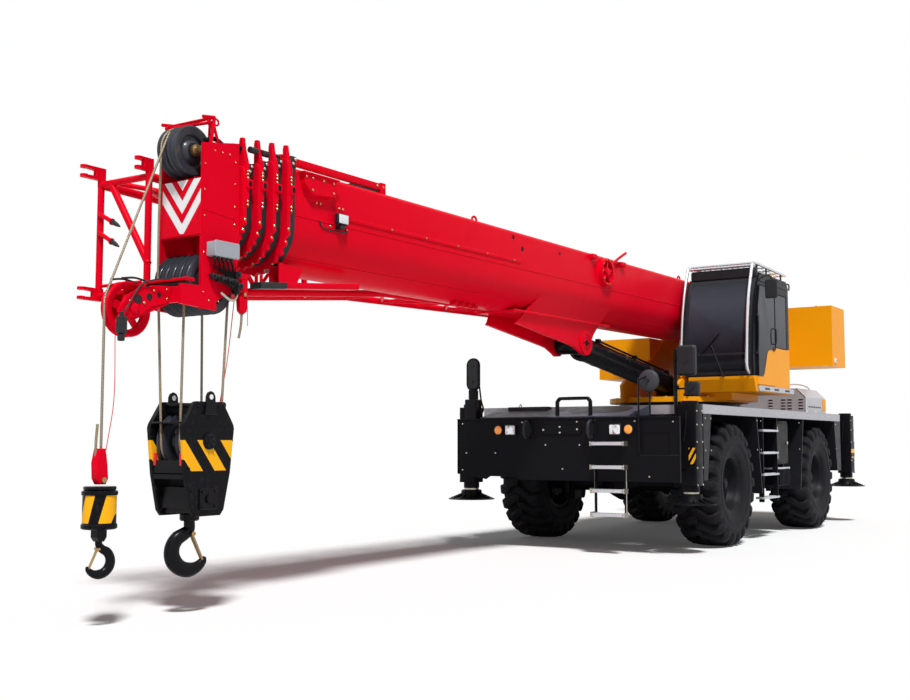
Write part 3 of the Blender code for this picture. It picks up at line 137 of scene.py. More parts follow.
class Shape:
    """Grids and flat faces that make one piece; a mark is the number of the material of each face."""

    def __init__(self):
        self.points, self.faces, self.marks, self.count = [], [], [], 0

    def add(self, points, faces, mark=0):
        points = np.asarray(points, float).reshape(-1, 3)
        self.points.append(points)
        added = [[int(corner) + self.count for corner in face] for face in faces]
        self.faces += added
        self.marks += [mark] * len(added)
        self.count += len(points)

    def skin(self, grid, mark=0, wrap_rows=False, wrap_columns=True, ends=True):
        """A grid of rows of points as a skin, its first and last rows filled where the rows are closed
        rings."""
        rows, columns = grid.shape[:2]
        faces = quads(rows, columns, wrap_rows, wrap_columns).tolist()
        if ends and wrap_columns and not wrap_rows:
            faces.append(list(range(columns))[::-1])
            faces.append(list(range((rows - 1) * columns, rows * columns)))
        self.add(grid, faces, mark)

    def lathe(self, profile, centre, axis="Y", count=48, mark=0, closed=False):
        """A profile of (radius, along) turned about an axis: radius times (cosine, sine), with along
        unchanged."""
        profile = np.asarray(profile, float)
        angle = np.linspace(0, 2 * math.pi, count, endpoint=False)
        around = np.stack([np.cos(angle), np.sin(angle)], -1)
        grid = turn_to(axis, profile[:, None, :1] * around[None], profile[:, 1][:, None])
        self.skin(grid + np.asarray(centre, float), mark, closed, True, not closed)

    def slab(self, outline, axis, low, high, edge=0.0, mark=0):
        """An outline carried from low to high along an axis, its edges cut back by edge."""
        outline = np.asarray(outline, float)
        if edge:
            small = shrink(outline, edge)
            rings = [(small, low), (outline, low + edge), (outline, high - edge), (small, high)]
        else:
            rings = [(outline, low), (outline, high)]
        self.skin(np.stack([turn_to(axis, ring, place) for ring, place in rings]), mark)

    def disc(self, radius, low, high, centre, axis="Y", count=48, mark=0):
        """A round plate or pin: the lathe of one radius from low to high along its axis."""
        self.lathe([(0.0, low), (radius, low), (radius, high), (0.0, high)], centre, axis, count, mark)

    def block(self, low, high, edge=0.004, mark=0, axis="Z", radius=None, steps=3):
        """A box between two opposite corners, with turned upright corners and cut edges, carried along
        axis."""
        low, high = np.minimum(low, high), np.maximum(low, high)
        flat = {"X": (1, 2), "Y": (0, 2), "Z": (0, 1)}[axis]
        run = {"X": 0, "Y": 1, "Z": 2}[axis]
        radius = edge if radius is None else radius
        outline = rounded([low[k] for k in flat], [high[k] for k in flat], radius, steps)
        self.slab(outline, axis, low[run], high[run], edge, mark)

    def tube(self, path, radius, sides=10, mark=0, flat=1.0):
        """A ring carried along a path: path plus radius times (side cosine plus flat times binormal sine)."""
        path = np.asarray(path, float)
        radius = np.broadcast_to(np.asarray(radius, float), len(path))[:, None, None]
        ahead = np.gradient(path, axis=0)
        ahead /= np.maximum(np.linalg.norm(ahead, axis=1, keepdims=True), 1e-9)
        still = np.linalg.svd(path - path.mean(0) + 1e-9)[2][-1]
        side = still - ahead * (ahead @ still)[:, None]
        side /= np.maximum(np.linalg.norm(side, axis=1, keepdims=True), 1e-9)
        other = np.cross(ahead, side)
        angle = np.linspace(0, 2 * math.pi, sides, endpoint=False)[None, :, None]
        ring = side[:, None] * np.cos(angle) * flat + other[:, None] * np.sin(angle)
        self.skin(path[:, None] + radius * ring, mark)

    def bolts(self, places, axis, radius=0.012, height=0.010, mark=0, sides=6):
        """A hexagon head at every place, standing along the axis given as a letter and a sign."""
        sign = -1.0 if axis[0] == "-" else 1.0
        for place in places:
            profile = [(radius, 0.0), (radius, sign * height * 0.8), (radius * 0.8, sign * height),
                       (0.0, sign * height)]
            self.lathe([(0.0, 0.0), *profile], place, axis[-1], sides, mark)

    def make(self, name, body, finishes, replaces=(), angle=35.0):
        """One object from all that was added: doubled points merged, faces turned outwards, ridden on
        its body."""
        mesh = bpy.data.meshes.new(name)
        points = np.concatenate(self.points) + np.array([AXIS_X, 0.0, 0.0])
        mesh.from_pydata(points.tolist(), [], self.faces)
        mesh.polygons.foreach_set("material_index", np.array(self.marks, np.int32))
        shape = bmesh.new()
        shape.from_mesh(mesh)
        bmesh.ops.remove_doubles(shape, verts=shape.verts, dist=0.00002)
        bmesh.ops.recalc_face_normals(shape, faces=shape.faces)
        shape.to_mesh(mesh)
        shape.free()
        for finish in finishes:
            mesh.materials.append(FINISHES[finish])
        mesh.shade_smooth()
        mesh.set_sharp_from_angle(angle=math.radians(angle))
        piece = bpy.data.objects.new(name, mesh)
        bpy.context.scene.collection.objects.link(piece)
        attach(piece, body)
        if replaces:
            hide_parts(*replaces)
        return piece


# Finishes made of procedural nodes

FINISHES = {}


class Finish:
    """A material whose nodes are added by short words; its pattern is read from Object coordinates."""

    def __init__(self, name):
        self.material = bpy.data.materials.new(name)
        self.material.use_nodes = True
        self.tree = self.material.node_tree
        self.shader = self.tree.nodes["Principled BSDF"]
        self.place = self.node("ShaderNodeTexCoord").outputs["Object"]
        self.normal = None
        FINISHES[name] = self.material

    def node(self, kind, **settings):
        made = self.tree.nodes.new(kind)
        for key, value in settings.items():
            setattr(made, key, value)
        return made

    def feed(self, socket, value):
        if isinstance(value, bpy.types.NodeSocket):
            self.tree.links.new(value, socket)
        elif isinstance(value, tuple) and len(value) == 3 and socket.type == "RGBA":
            socket.default_value = (*value, 1.0)
        else:
            socket.default_value = value

    def noise(self, scale, detail=4.0, stretch=None, roughness=0.55):
        place = self.place
        if stretch:
            mapping = self.node("ShaderNodeMapping")
            self.feed(mapping.inputs["Vector"], place)
            mapping.inputs["Scale"].default_value = stretch
            place = mapping.outputs["Vector"]
        made = self.node("ShaderNodeTexNoise")
        self.feed(made.inputs["Vector"], place)
        made.inputs["Scale"].default_value = scale
        made.inputs["Detail"].default_value = detail
        made.inputs["Roughness"].default_value = roughness
        return made.outputs["Fac"]

    def math(self, operation, a, b=0.0, c=0.0):
        made = self.node("ShaderNodeMath", operation=operation)
        for socket, value in zip(made.inputs, (a, b, c)):
            self.feed(socket, value)
        return made.outputs[0]

    def range(self, value, low, high, to_low=0.0, to_high=1.0):
        made = self.node("ShaderNodeMapRange")
        for socket, given in zip(made.inputs, (value, low, high, to_low, to_high)):
            self.feed(socket, given)
        return made.outputs[0]

    def mix(self, factor, a, b):
        made = self.node("ShaderNodeMix", data_type="RGBA")
        self.feed(made.inputs[0], factor)
        self.feed(made.inputs[6], a)
        self.feed(made.inputs[7], b)
        return made.outputs[2]

    def axes(self):
        made = self.node("ShaderNodeSeparateXYZ")
        self.feed(made.inputs[0], self.place)
        return made.outputs[0], made.outputs[1], made.outputs[2]

    def upward(self):
        made = self.node("ShaderNodeSeparateXYZ")
        self.feed(made.inputs[0], self.node("ShaderNodeNewGeometry").outputs["Normal"])
        return made.outputs[2]

    def bump(self, height, strength, distance):
        made = self.node("ShaderNodeBump")
        made.inputs["Strength"].default_value = strength
        made.inputs["Distance"].default_value = distance
        self.feed(made.inputs["Height"], height)
        if self.normal:
            self.feed(made.inputs["Normal"], self.normal)
        self.normal = made.outputs["Normal"]
        self.feed(self.shader.inputs["Normal"], self.normal)

    def set(self, **values):
        for key, value in values.items():
            self.feed(self.shader.inputs[key.replace("_", " ")], value)


def shade(colour, factor):
    """A colour made lighter or darker by a factor, kept under one."""
    return tuple(min(1.0, channel * factor) for channel in colour[:3])


def paint(name, colour, rough=0.28, coat=0.6, dust=0.12, dust_colour=(0.42, 0.38, 0.33), metallic=0.0,
          peel=0.02, shine=0.3):
    """Sprayed paint: slow changes of tone, orange peel, dust that lies on what faces up, and a clear coat."""
    f = Finish(name)
    tone = f.mix(f.noise(1.7, 3.0), shade(colour, 0.93), shade(colour, 1.05))
    speck = f.range(f.noise(38.0, 8.0, roughness=0.7), 0.56, 0.80)
    lying = f.math("MULTIPLY", f.range(f.upward(), 0.3, 1.0), dust)
    film = f.math("ADD", lying, f.math("MULTIPLY", speck, dust * 0.35))
    f.set(Base_Color=f.mix(film, tone, dust_colour), Metallic=metallic,
          Roughness=f.range(f.noise(9.0, 5.0), 0.3, 0.7, rough * 0.85, rough * 1.25))
    f.shader.inputs["Specular IOR Level"].default_value = shine
    f.shader.inputs["Coat Weight"].default_value = coat
    f.shader.inputs["Coat Roughness"].default_value = 0.08
    f.bump(f.noise(260.0, 2.0), peel, 0.002)


def bare_metal(name, colour, rough=0.3, stretch=(1.0, 1.0, 1.0), stain=0.25):
    """Bare metal: fine drawn lines, stains and uneven gloss."""
    f = Finish(name)
    lines = f.noise(120.0, 3.0, stretch)
    stains = f.math("MULTIPLY", f.range(f.noise(7.0, 6.0), 0.45, 0.75), stain)
    f.set(Base_Color=f.mix(stains, colour, shade(colour, 0.45)), Metallic=0.92,
          Roughness=f.range(lines, 0.3, 0.7, rough * 0.75, rough * 1.35))
    f.bump(lines, 0.05, 0.001)


def rubber(name, colour, grain=150.0):
    """Moulded rubber: matt, with a fine grain and dust in the hollows."""
    f = Finish(name)
    film = f.range(f.noise(6.0, 8.0, roughness=0.7), 0.42, 0.72)
    f.set(Base_Color=f.mix(film, shade(colour, 0.45), shade(colour, 1.2)),
          Roughness=f.range(film, 0.0, 1.0, 0.62, 0.85))
    f.shader.inputs["Specular IOR Level"].default_value = 0.12
    f.bump(f.noise(grain, 4.0), 0.12, 0.002)


def lens(name, colour, glow=0.0):
    """A lamp's moulded lens: ribs across, a clear coat and a little depth."""
    f = Finish(name)
    ribs = f.node("ShaderNodeTexWave", wave_type="BANDS", bands_direction="Y")
    f.feed(ribs.inputs["Vector"], f.place)
    ribs.inputs["Scale"].default_value = 45.0
    f.set(Base_Color=f.mix(ribs.outputs["Fac"], shade(colour, 0.75), shade(colour, 1.1)), Roughness=0.12)
    f.shader.inputs["Coat Weight"].default_value = 1.0
    f.shader.inputs["Emission Color"].default_value = (*colour[:3], 1.0)
    f.shader.inputs["Emission Strength"].default_value = glow
    f.bump(ribs.outputs["Fac"], 0.3, 0.002)


def stripes(name, first, second, slant, pitch, low, high, start=0.0, side=(1.0, 0.0)):
    """Two paints in slanted stripes between two heights: the fraction of side times (x, y) plus slant
    times z."""
    f = Finish(name)
    x, y, z = f.axes()
    across = f.math("ADD", f.math("MULTIPLY", x, side[0]), f.math("MULTIPLY", y, side[1]))
    run = f.math("ADD", across, f.math("MULTIPLY", z, slant))
    part = f.math("FRACT", f.math("DIVIDE", f.math("ADD", run, start), pitch))
    stripe = f.math("GREATER_THAN", part, 0.5)
    band = f.math("MULTIPLY", f.math("GREATER_THAN", z, low), f.math("LESS_THAN", z, high))
    colour = f.mix(f.math("MULTIPLY", stripe, band), first, second)
    film = f.math("MULTIPLY", f.range(f.noise(30.0, 8.0), 0.55, 0.8), 0.06)
    f.set(Base_Color=f.mix(film, colour, (0.3, 0.28, 0.25)),
          Roughness=f.range(f.noise(12.0), 0.3, 0.7, 0.24, 0.42))
    f.shader.inputs["Specular IOR Level"].default_value = 0.08
    f.bump(f.noise(240.0, 2.0), 0.02, 0.002)


def rope_finish(name, colour):
    """Laid steel rope: slanted strands by a wave over height and side, greased."""
    f = Finish(name)
    wave = f.node("ShaderNodeTexWave", wave_type="BANDS", bands_direction="DIAGONAL")
    f.feed(wave.inputs["Vector"], f.place)
    wave.inputs["Scale"].default_value = 62.0
    wave.inputs["Distortion"].default_value = 0.4
    tone = f.mix(wave.outputs["Fac"], shade(colour, 0.55), shade(colour, 0.95))
    f.set(Base_Color=tone, Metallic=0.25, Roughness=f.range(f.noise(60.0), 0.3, 0.7, 0.35, 0.6))
    f.bump(wave.outputs["Fac"], 0.5, 0.003)


def glass_finish(name, colour, clear):
    """Tinted safety glass: a dark coated pane that lets a little of the inside show, a painted reflection and
    dust.
    """
    f = Finish(name)
    film = f.math("MULTIPLY", f.range(f.noise(3.0, 6.0), 0.4, 0.8), 0.04)
    height = f.axes()[2]
    # Painted reflection: the glass is lighter in a band across the middle heights, most between 3.15 and 3.25
    # m.
    rise = f.math("MULTIPLY", f.range(height, 2.45, 3.15), f.range(height, 3.60, 3.25))
    tone = f.mix(rise, colour, shade(colour, 5.0))
    f.set(Base_Color=f.mix(film, tone, (0.25, 0.27, 0.30)), Roughness=f.range(film, 0.0, 0.04, 0.05, 0.12))
    f.shader.inputs["Alpha"].default_value = clear
    f.shader.inputs["Specular IOR Level"].default_value = 0.10
    f.bump(f.noise(0.9, 2.0), 0.02, 0.05)


def fabric(name, colour):
    """Woven seat cloth: two crossed waves as warp and weft, with a soft sheen."""
    f = Finish(name)
    warp = f.node("ShaderNodeTexWave", wave_type="BANDS", bands_direction="Y")
    weft = f.node("ShaderNodeTexWave", wave_type="BANDS", bands_direction="Z")
    for wave in (warp, weft):
        f.feed(wave.inputs["Vector"], f.place)
        wave.inputs["Scale"].default_value = 90.0
    weave = f.math("MULTIPLY", warp.outputs["Fac"], weft.outputs["Fac"])
    f.set(Base_Color=f.mix(weave, shade(colour, 0.7), shade(colour, 1.6)), Roughness=0.9)
    f.shader.inputs["Sheen Weight"].default_value = 0.3
    f.bump(weave, 0.4, 0.001)


def deck_finish(name, top, edge, skirt, top_z, under_z):
    """The deck by place: anti-slip grey on top, a silver edge band, and black skirts and arch plates
    below."""
    f = Finish(name)
    z = f.axes()[2]
    below = f.math("LESS_THAN", z, under_z + 0.002)
    on_top = f.math("GREATER_THAN", z, top_z - 0.002)
    grip = f.range(f.noise(160.0, 3.0), 0.40, 0.60)
    surface = f.mix(grip, shade(top, 0.6), shade(top, 1.1))
    upper = f.mix(on_top, f.mix(f.noise(3.0), shade(edge, 0.85), edge), surface)
    film = f.math("MULTIPLY", f.range(f.noise(8.0, 8.0), 0.5, 0.8), 0.25)
    lower = f.mix(film, skirt, (0.028, 0.024, 0.018))
    f.set(Base_Color=f.mix(below, upper, lower), Roughness=f.range(f.noise(11.0), 0.3, 0.7, 0.35, 0.5),
          Metallic=f.math("MULTIPLY", f.math("SUBTRACT", 1.0, below), 0.35))
    f.shader.inputs["Specular IOR Level"].default_value = 0.12
    f.bump(f.math("MULTIPLY", grip, on_top), 0.35, 0.003)


def cab_finish(name, dark, bright, path):
    """The cab's skin by place: yellow under a line that steps up to the rear, dark above it."""
    f = Finish(name)
    x, _, z = f.axes()
    along = f.math("SUBTRACT", x, AXIS_X)
    front_x, rear_x, front_z, rear_z = path
    line = f.node("ShaderNodeMapRange", interpolation_type="SMOOTHERSTEP")
    for socket, given in zip(line.inputs, (along, rear_x, front_x, rear_z, front_z)):
        f.feed(socket, given)
    low = f.math("LESS_THAN", z, line.outputs[0])
    tone = f.mix(f.noise(2.0, 3.0), shade(bright, 0.94), shade(bright, 1.03))
    f.set(Base_Color=f.mix(low, dark, tone), Roughness=f.range(f.noise(9.0, 5.0), 0.3, 0.7, 0.26, 0.38))
    f.shader.inputs["Specular IOR Level"].default_value = 0.06
    f.bump(f.noise(260.0, 2.0), 0.02, 0.002)


# Sizes and colours that a user may change

class CraneColours(bpy.types.PropertyGroup):
    """Paint and material colours."""

    boom: bpy.props.FloatVectorProperty(
        name="Boom", description="Red of the boom, head and jib", subtype="COLOR", min=0.0, max=1.0,
        default=(0.74, 0.0006, 0.016))
    house: bpy.props.FloatVectorProperty(
        name="House", description="Yellow of the house, counterweight and lower cab", subtype="COLOR",
        min=0.0, max=1.0, default=(0.93, 0.36, 0.004))
    carrier: bpy.props.FloatVectorProperty(
        name="Carrier", description="Black of the carrier, axles and outriggers", subtype="COLOR", min=0.0,
        max=1.0, default=(0.009, 0.009, 0.012))
    silver: bpy.props.FloatVectorProperty(
        name="Silver", description="Silver of the hood, deck edge and treads", subtype="COLOR", min=0.0,
        max=1.0, default=(0.46, 0.46, 0.49))
    rubber: bpy.props.FloatVectorProperty(
        name="Rubber", description="Tyre rubber", subtype="COLOR", min=0.0, max=1.0,
        default=(0.013, 0.013, 0.016))
    hazard: bpy.props.FloatVectorProperty(
        name="Hazard yellow", description="Yellow of the black and yellow stripes", subtype="COLOR", min=0.0,
        max=1.0, default=(0.95, 0.45, 0.01))
    rope: bpy.props.FloatVectorProperty(
        name="Rope", description="Greased steel rope", subtype="COLOR", min=0.0, max=1.0,
        default=(0.33, 0.26, 0.17))
    amber: bpy.props.FloatVectorProperty(
        name="Amber", description="Direction indicators and beacon", subtype="COLOR", min=0.0, max=1.0,
        default=(1.0, 0.30, 0.01))


class CraneSizes(bpy.types.PropertyGroup):
    """Sizes of the pieces that are added around the frame."""

    lug_count: bpy.props.IntProperty(
        name="Lugs", description="Tread lugs on each side of a tyre", default=22, min=8, max=40)
    lug_depth: bpy.props.FloatProperty(
        name="Lug depth", description="Height of a tread lug", default=0.052, min=0.01, max=0.08,
        unit="LENGTH")
    rope_radius: bpy.props.FloatProperty(
        name="Rope radius", description="Radius of the hoist ropes", default=0.010, min=0.004, max=0.02,
        unit="LENGTH")
    bolt_radius: bpy.props.FloatProperty(
        name="Bolt radius", description="Half the width of the usual bolt heads", default=0.013, min=0.005,
        max=0.03, unit="LENGTH")
    guard_radius: bpy.props.FloatProperty(
        name="Guard tube radius", description="Radius of the cab guard's tubes", default=0.021, min=0.01,
        max=0.04, unit="LENGTH")
    jib_radius: bpy.props.FloatProperty(
        name="Jib chord radius", description="Radius of the lattice jib's chords", default=0.036, min=0.02,
        max=0.06, unit="LENGTH")
    sun_height: bpy.props.FloatProperty(
        name="Sun height", description="Angle of the main light above the floor", default=math.radians(56),
        min=0.2, max=1.5, unit="ROTATION")


def colour(name):
    """A colour that the user may change."""
    return tuple(getattr(bpy.context.scene.crane_colours, name))


# Places taken from the frame, measured from the slewing axis

def span(node):
    """A node's lowest and highest corners, from the slewing axis."""
    low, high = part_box(node)
    shift = np.array([AXIS_X, 0.0, 0.0])
    return np.array(low) - shift, np.array(high) - shift


def joint_place(name):
    """A joint's place, from the slewing axis."""
    place = np.array(JOINTS[name]["pos_m"], float)
    return place - np.array([AXIS_X, 0.0, 0.0])


BOOM_SLOPE = JOINTS["boom_slide_2"]["axis"][2]
PIVOT = joint_place("boom_lift")
FALL_AXIS = joint_place("main_fall_swing")
NOSE_AXIS = joint_place("aux_fall_swing")
FOOT_PIN = joint_place("cylinder_swing")
BOOM_MIDDLE = 3.193


def boom_z(x, offset=0.0):
    """Height of the boom's middle line at x, plus an offset: it falls evenly towards the head."""
    return BOOM_MIDDLE + BOOM_SLOPE * x + offset


class StageOperator(bpy.types.Operator):
    """Set the pale floor, the white surroundings, the soft sun and the camera."""

    bl_idname = "crane.stage"
    bl_label = "Stage"

    CAMERA = (15.831, 6.497, 1.289)
    FORWARD = (-0.8325, -0.5482, 0.0810)
    FOCAL_PIXELS = 1143.3
    WIDTH_PIXELS = 910
    FLOOR_REACH, FLOOR_Z, FLOOR_GREY, FLOOR_GLOW = 90.0, -0.001, 0.86, 0.05
    SOFT_STRENGTH, SUN_STRENGTH, SUN_SPREAD = 0.17, 3.6, 9
    SUN_AWAY = (-0.72, -0.69)

    def execute(self, context):
        scene = context.scene
        floor = bpy.data.meshes.new("floor")
        corners = np.array([(-1.0, -1.0), (1.0, -1.0), (1.0, 1.0), (-1.0, 1.0)]) * self.FLOOR_REACH
        floor.from_pydata(turn_to("Z", corners, self.FLOOR_Z).tolist(), [], [(0, 1, 2, 3)])
        ground = bpy.data.objects.new("floor", floor)
        scene.collection.objects.link(ground)
        surface = bpy.data.materials.new("floor")
        surface.use_nodes = True
        tree = surface.node_tree
        tree.nodes.clear()
        out = tree.nodes.new("ShaderNodeOutputMaterial")
        matt = tree.nodes.new("ShaderNodeBsdfDiffuse")
        matt.inputs["Color"].default_value = (*[self.FLOOR_GREY] * 3, 1.0)
        glow = tree.nodes.new("ShaderNodeEmission")
        glow.inputs["Color"].default_value = (1.0, 1.0, 1.0, 1.0)
        ray = tree.nodes.new("ShaderNodeLightPath")
        seen = tree.nodes.new("ShaderNodeMath")
        seen.operation = "MULTIPLY"
        seen.inputs[1].default_value = self.FLOOR_GLOW
        both = tree.nodes.new("ShaderNodeAddShader")
        tree.links.new(ray.outputs["Is Camera Ray"], seen.inputs[0])
        tree.links.new(seen.outputs[0], glow.inputs["Strength"])
        tree.links.new(matt.outputs[0], both.inputs[0])
        tree.links.new(glow.outputs[0], both.inputs[1])
        tree.links.new(both.outputs[0], out.inputs["Surface"])
        floor.materials.append(surface)

        world = bpy.data.worlds.new("surroundings")
        world.use_nodes = True
        scene.world = world
        tree = world.node_tree
        tree.nodes.clear()
        out = tree.nodes.new("ShaderNodeOutputWorld")
        ray = tree.nodes.new("ShaderNodeLightPath")
        white = tree.nodes.new("ShaderNodeBackground")
        white.inputs["Color"].default_value = (1.0, 1.0, 1.0, 1.0)
        white.inputs["Strength"].default_value = 1.0
        soft = tree.nodes.new("ShaderNodeBackground")
        soft.inputs["Color"].default_value = (0.97, 0.98, 1.0, 1.0)
        soft.inputs["Strength"].default_value = self.SOFT_STRENGTH
        seen = tree.nodes.new("ShaderNodeMath")
        seen.operation = "MAXIMUM"
        through = tree.nodes.new("ShaderNodeMath")
        through.operation = "MAXIMUM"
        either = tree.nodes.new("ShaderNodeMixShader")
        tree.links.new(ray.outputs["Is Camera Ray"], seen.inputs[0])
        tree.links.new(ray.outputs["Is Glossy Ray"], seen.inputs[1])
        tree.links.new(seen.outputs[0], through.inputs[0])
        tree.links.new(ray.outputs["Is Transmission Ray"], through.inputs[1])
        tree.links.new(through.outputs[0], either.inputs[0])
        tree.links.new(soft.outputs[0], either.inputs[1])
        tree.links.new(white.outputs[0], either.inputs[2])
        tree.links.new(either.outputs[0], out.inputs["Surface"])

        sun = bpy.data.lights.new("sun", "SUN")
        sun.energy = self.SUN_STRENGTH
        sun.angle = math.radians(self.SUN_SPREAD)
        lamp = bpy.data.objects.new("sun", sun)
        height = scene.crane_sizes.sun_height
        away = Vector((*(share * math.cos(height) for share in self.SUN_AWAY), -math.sin(height)))
        lamp.rotation_euler = away.to_track_quat("-Z", "Y").to_euler()
        scene.collection.objects.link(lamp)

        view = bpy.data.cameras.new("camera")
        view.sensor_width = 36.0
        view.lens = self.FOCAL_PIXELS * view.sensor_width / self.WIDTH_PIXELS
        view.clip_end = 300.0
        camera = bpy.data.objects.new("camera", view)
        camera.location = Vector(self.CAMERA) + Vector((AXIS_X, 0.0, 0.0))
        camera.rotation_euler = Vector(self.FORWARD).to_track_quat("-Z", "Y").to_euler()
        scene.collection.objects.link(camera)
        scene.camera = camera
        scene.view_settings.view_transform = "Standard"
        return {"FINISHED"}


class FinishesOperator(bpy.types.Operator):
    """Make every finish and give the kept frame solids theirs."""

    bl_idname = "crane.finishes"
    bl_label = "Finishes"

    # Kept solids that one finish covers.
    KEPT = {
        "carrier_black": ("carrier_frame", "front_apron", "front_axle", "rear_axle", "fuel_tank"),
        "engine_grey": ("engine_block",),
        "hood_silver": ("engine_hood",),
        "deck": ("carrier_deck",),
        "house_yellow": ("turntable", "counterweight"),
        "cab_skin": ("cab_shell", "cab_door"),
        "glass": ("cab_windscreen",),
        "boom_red": ("boom_base", "boom_section_2", "boom_section_3", "boom_section_4", "boom_head"),
    }

    def execute(self, context):
        red, yellow, black = colour("boom"), colour("house"), colour("carrier")
        silver, hazard = colour("silver"), colour("hazard")
        paint("boom_red", red, 0.34, 0.0, dust=0.012, dust_colour=(0.60, 0.10, 0.08), shine=0.04)
        paint("house_yellow", yellow, 0.34, 0.0, dust=0.02, dust_colour=(0.9, 0.55, 0.25), shine=0.06)
        paint("carrier_black", shade(black, 0.6), 0.38, 0.0, dust=0.03, dust_colour=(0.05, 0.045, 0.04),
              shine=0.07)
        paint("rim_black", shade(black, 0.9), 0.42, 0.0, dust=0.08, dust_colour=(0.05, 0.045, 0.04),
              shine=0.10)
        paint("hook_black", shade(black, 0.5), 0.24, 0.0, dust=0.01, dust_colour=(0.06, 0.055, 0.05),
              shine=0.12)
        paint("engine_grey", (0.12, 0.125, 0.13), 0.5, 0.1, dust=0.3)
        paint("hood_silver", silver, 0.36, 0.3, dust=0.06, metallic=0.35)
        paint("white_paint", (0.85, 0.85, 0.85), 0.35, 0.4, dust=0.05)
        paint("box_grey", (0.36, 0.38, 0.42), 0.45, 0.0, dust=0.05, shine=0.1)
        paint("dish_grey", (0.050, 0.052, 0.060), 0.40, 0.0, dust=0.05, shine=0.12)
        paint("deck_blue", (0.060, 0.066, 0.090), 0.45, 0.0, dust=0.05, shine=0.12)
        paint("sheave_grey", (0.030, 0.034, 0.045), 0.38, 0.15, dust=0.12, dust_colour=(0.10, 0.10, 0.11))
        # Black plastic; this finish is also painted shade in the collar gaps, bores, slots and the deck's
        # well.
        paint("black_plastic_and_painted_shade", (0.012, 0.013, 0.016), 0.48, 0.0, dust=0.1, dust_colour=(0.08, 0.08, 0.08),
              peel=0.08)
        bare_metal("bright_tube", (0.68, 0.69, 0.72), 0.22, stain=0.08)
        bare_metal("tread_metal", (0.62, 0.63, 0.66), 0.42, (1.0, 30.0, 1.0), 0.15)
        bare_metal("chrome", (0.80, 0.81, 0.84), 0.10, stain=0.03)
        bare_metal("brass", (0.42, 0.28, 0.12), 0.34)
        bare_metal("zinc", (0.55, 0.52, 0.44), 0.35)
        rubber("tyre_rubber", colour("rubber"))
        # Black rubber; this finish is also painted shade in the boom's openings and the hood's louvre slots.
        rubber("rubber_and_painted_shade", (0.008, 0.008, 0.009), 220.0)
        rubber("hose", (0.010, 0.010, 0.011), 260.0)
        lens("amber_lens", colour("amber"), 0.25)
        lens("white_lens", (0.80, 0.83, 0.86), 0.15)
        rope_finish("rope", colour("rope"))
        glass_finish("glass", (0.010, 0.011, 0.015), 0.93)
        glass_finish("mirror_glass", (0.25, 0.27, 0.30), 1.0)
        fabric("seat_cloth", (0.020, 0.021, 0.025))
        paint("cord_red", (0.70, 0.02, 0.02), 0.5, 0.1)
        stripes("block_stripes", shade(black, 0.5), hazard, -0.80, 0.240, 1.080, 1.310, 0.10)
        stripes("weight_stripes", shade(black, 0.5), hazard, -0.24, 0.143, 0.735, 0.925, 0.03, (-0.55, 0.83))
        stripes("jack_stripes", shade(black, 0.5), hazard, -0.55, 0.070, 1.045, 1.232, 0.0, (0.0, 1.0))
        self.chevrons(red)
        deck_finish("deck", (0.24, 0.25, 0.28), silver, shade(black, 1.2), 1.746, 1.632)
        cab_finish("cab_skin", (0.010, 0.011, 0.015), yellow, (0.60, 0.22, 2.19, 2.63))
        for finish, nodes in self.KEPT.items():
            for name in nodes:
                self.cover(name, finish)
        for key in CORNERS:
            self.cover("knuckle_" + key, "carrier_black")
            self.cover("outrigger_beam_" + key, "carrier_black")
        return {"FINISHED"}

    def cover(self, name, finish):
        """Gives a kept solid one finish."""
        solid = bpy.data.objects[name]
        if not solid.material_slots:
            solid.data.materials.append(FINISHES[finish])
        for slot in solid.material_slots:
            slot.material = FINISHES[finish]

    def chevrons(self, red):
        """White bands that point down: white where height less the distance from the middle falls in a
        band."""
        peak_y, steepness, first_z, foot_z, pitch, white_share = 0.022, 1.30, 2.850, 2.876, 0.180, 0.56
        plate_y, plate_half = 0.012, 0.206
        f = Finish("chevrons")
        _, y, z = f.axes()
        away = f.math("ABSOLUTE", f.math("SUBTRACT", y, peak_y))
        run = f.math("SUBTRACT", z, f.math("MULTIPLY", away, steepness))
        part = f.math("FRACT", f.math("DIVIDE", f.math("SUBTRACT", run, first_z), pitch))
        under = f.math("MULTIPLY", f.math("GREATER_THAN", run, first_z), f.math("GREATER_THAN", z, foot_z))
        band = f.math("MULTIPLY", f.math("LESS_THAN", part, white_share), under)
        across = f.math("ABSOLUTE", f.math("SUBTRACT", y, plate_y))
        within = f.math("MULTIPLY", band, f.math("LESS_THAN", across, plate_half))
        white = f.mix(f.math("MULTIPLY", f.noise(30.0, 6.0), 0.2), (0.86, 0.86, 0.87), (0.70, 0.70, 0.72))
        f.set(Base_Color=f.mix(within, red, white), Roughness=f.range(f.noise(9.0), 0.3, 0.7, 0.22, 0.34))
        f.shader.inputs["Specular IOR Level"].default_value = 0.05
        f.bump(f.noise(260.0, 2.0), 0.02, 0.002)


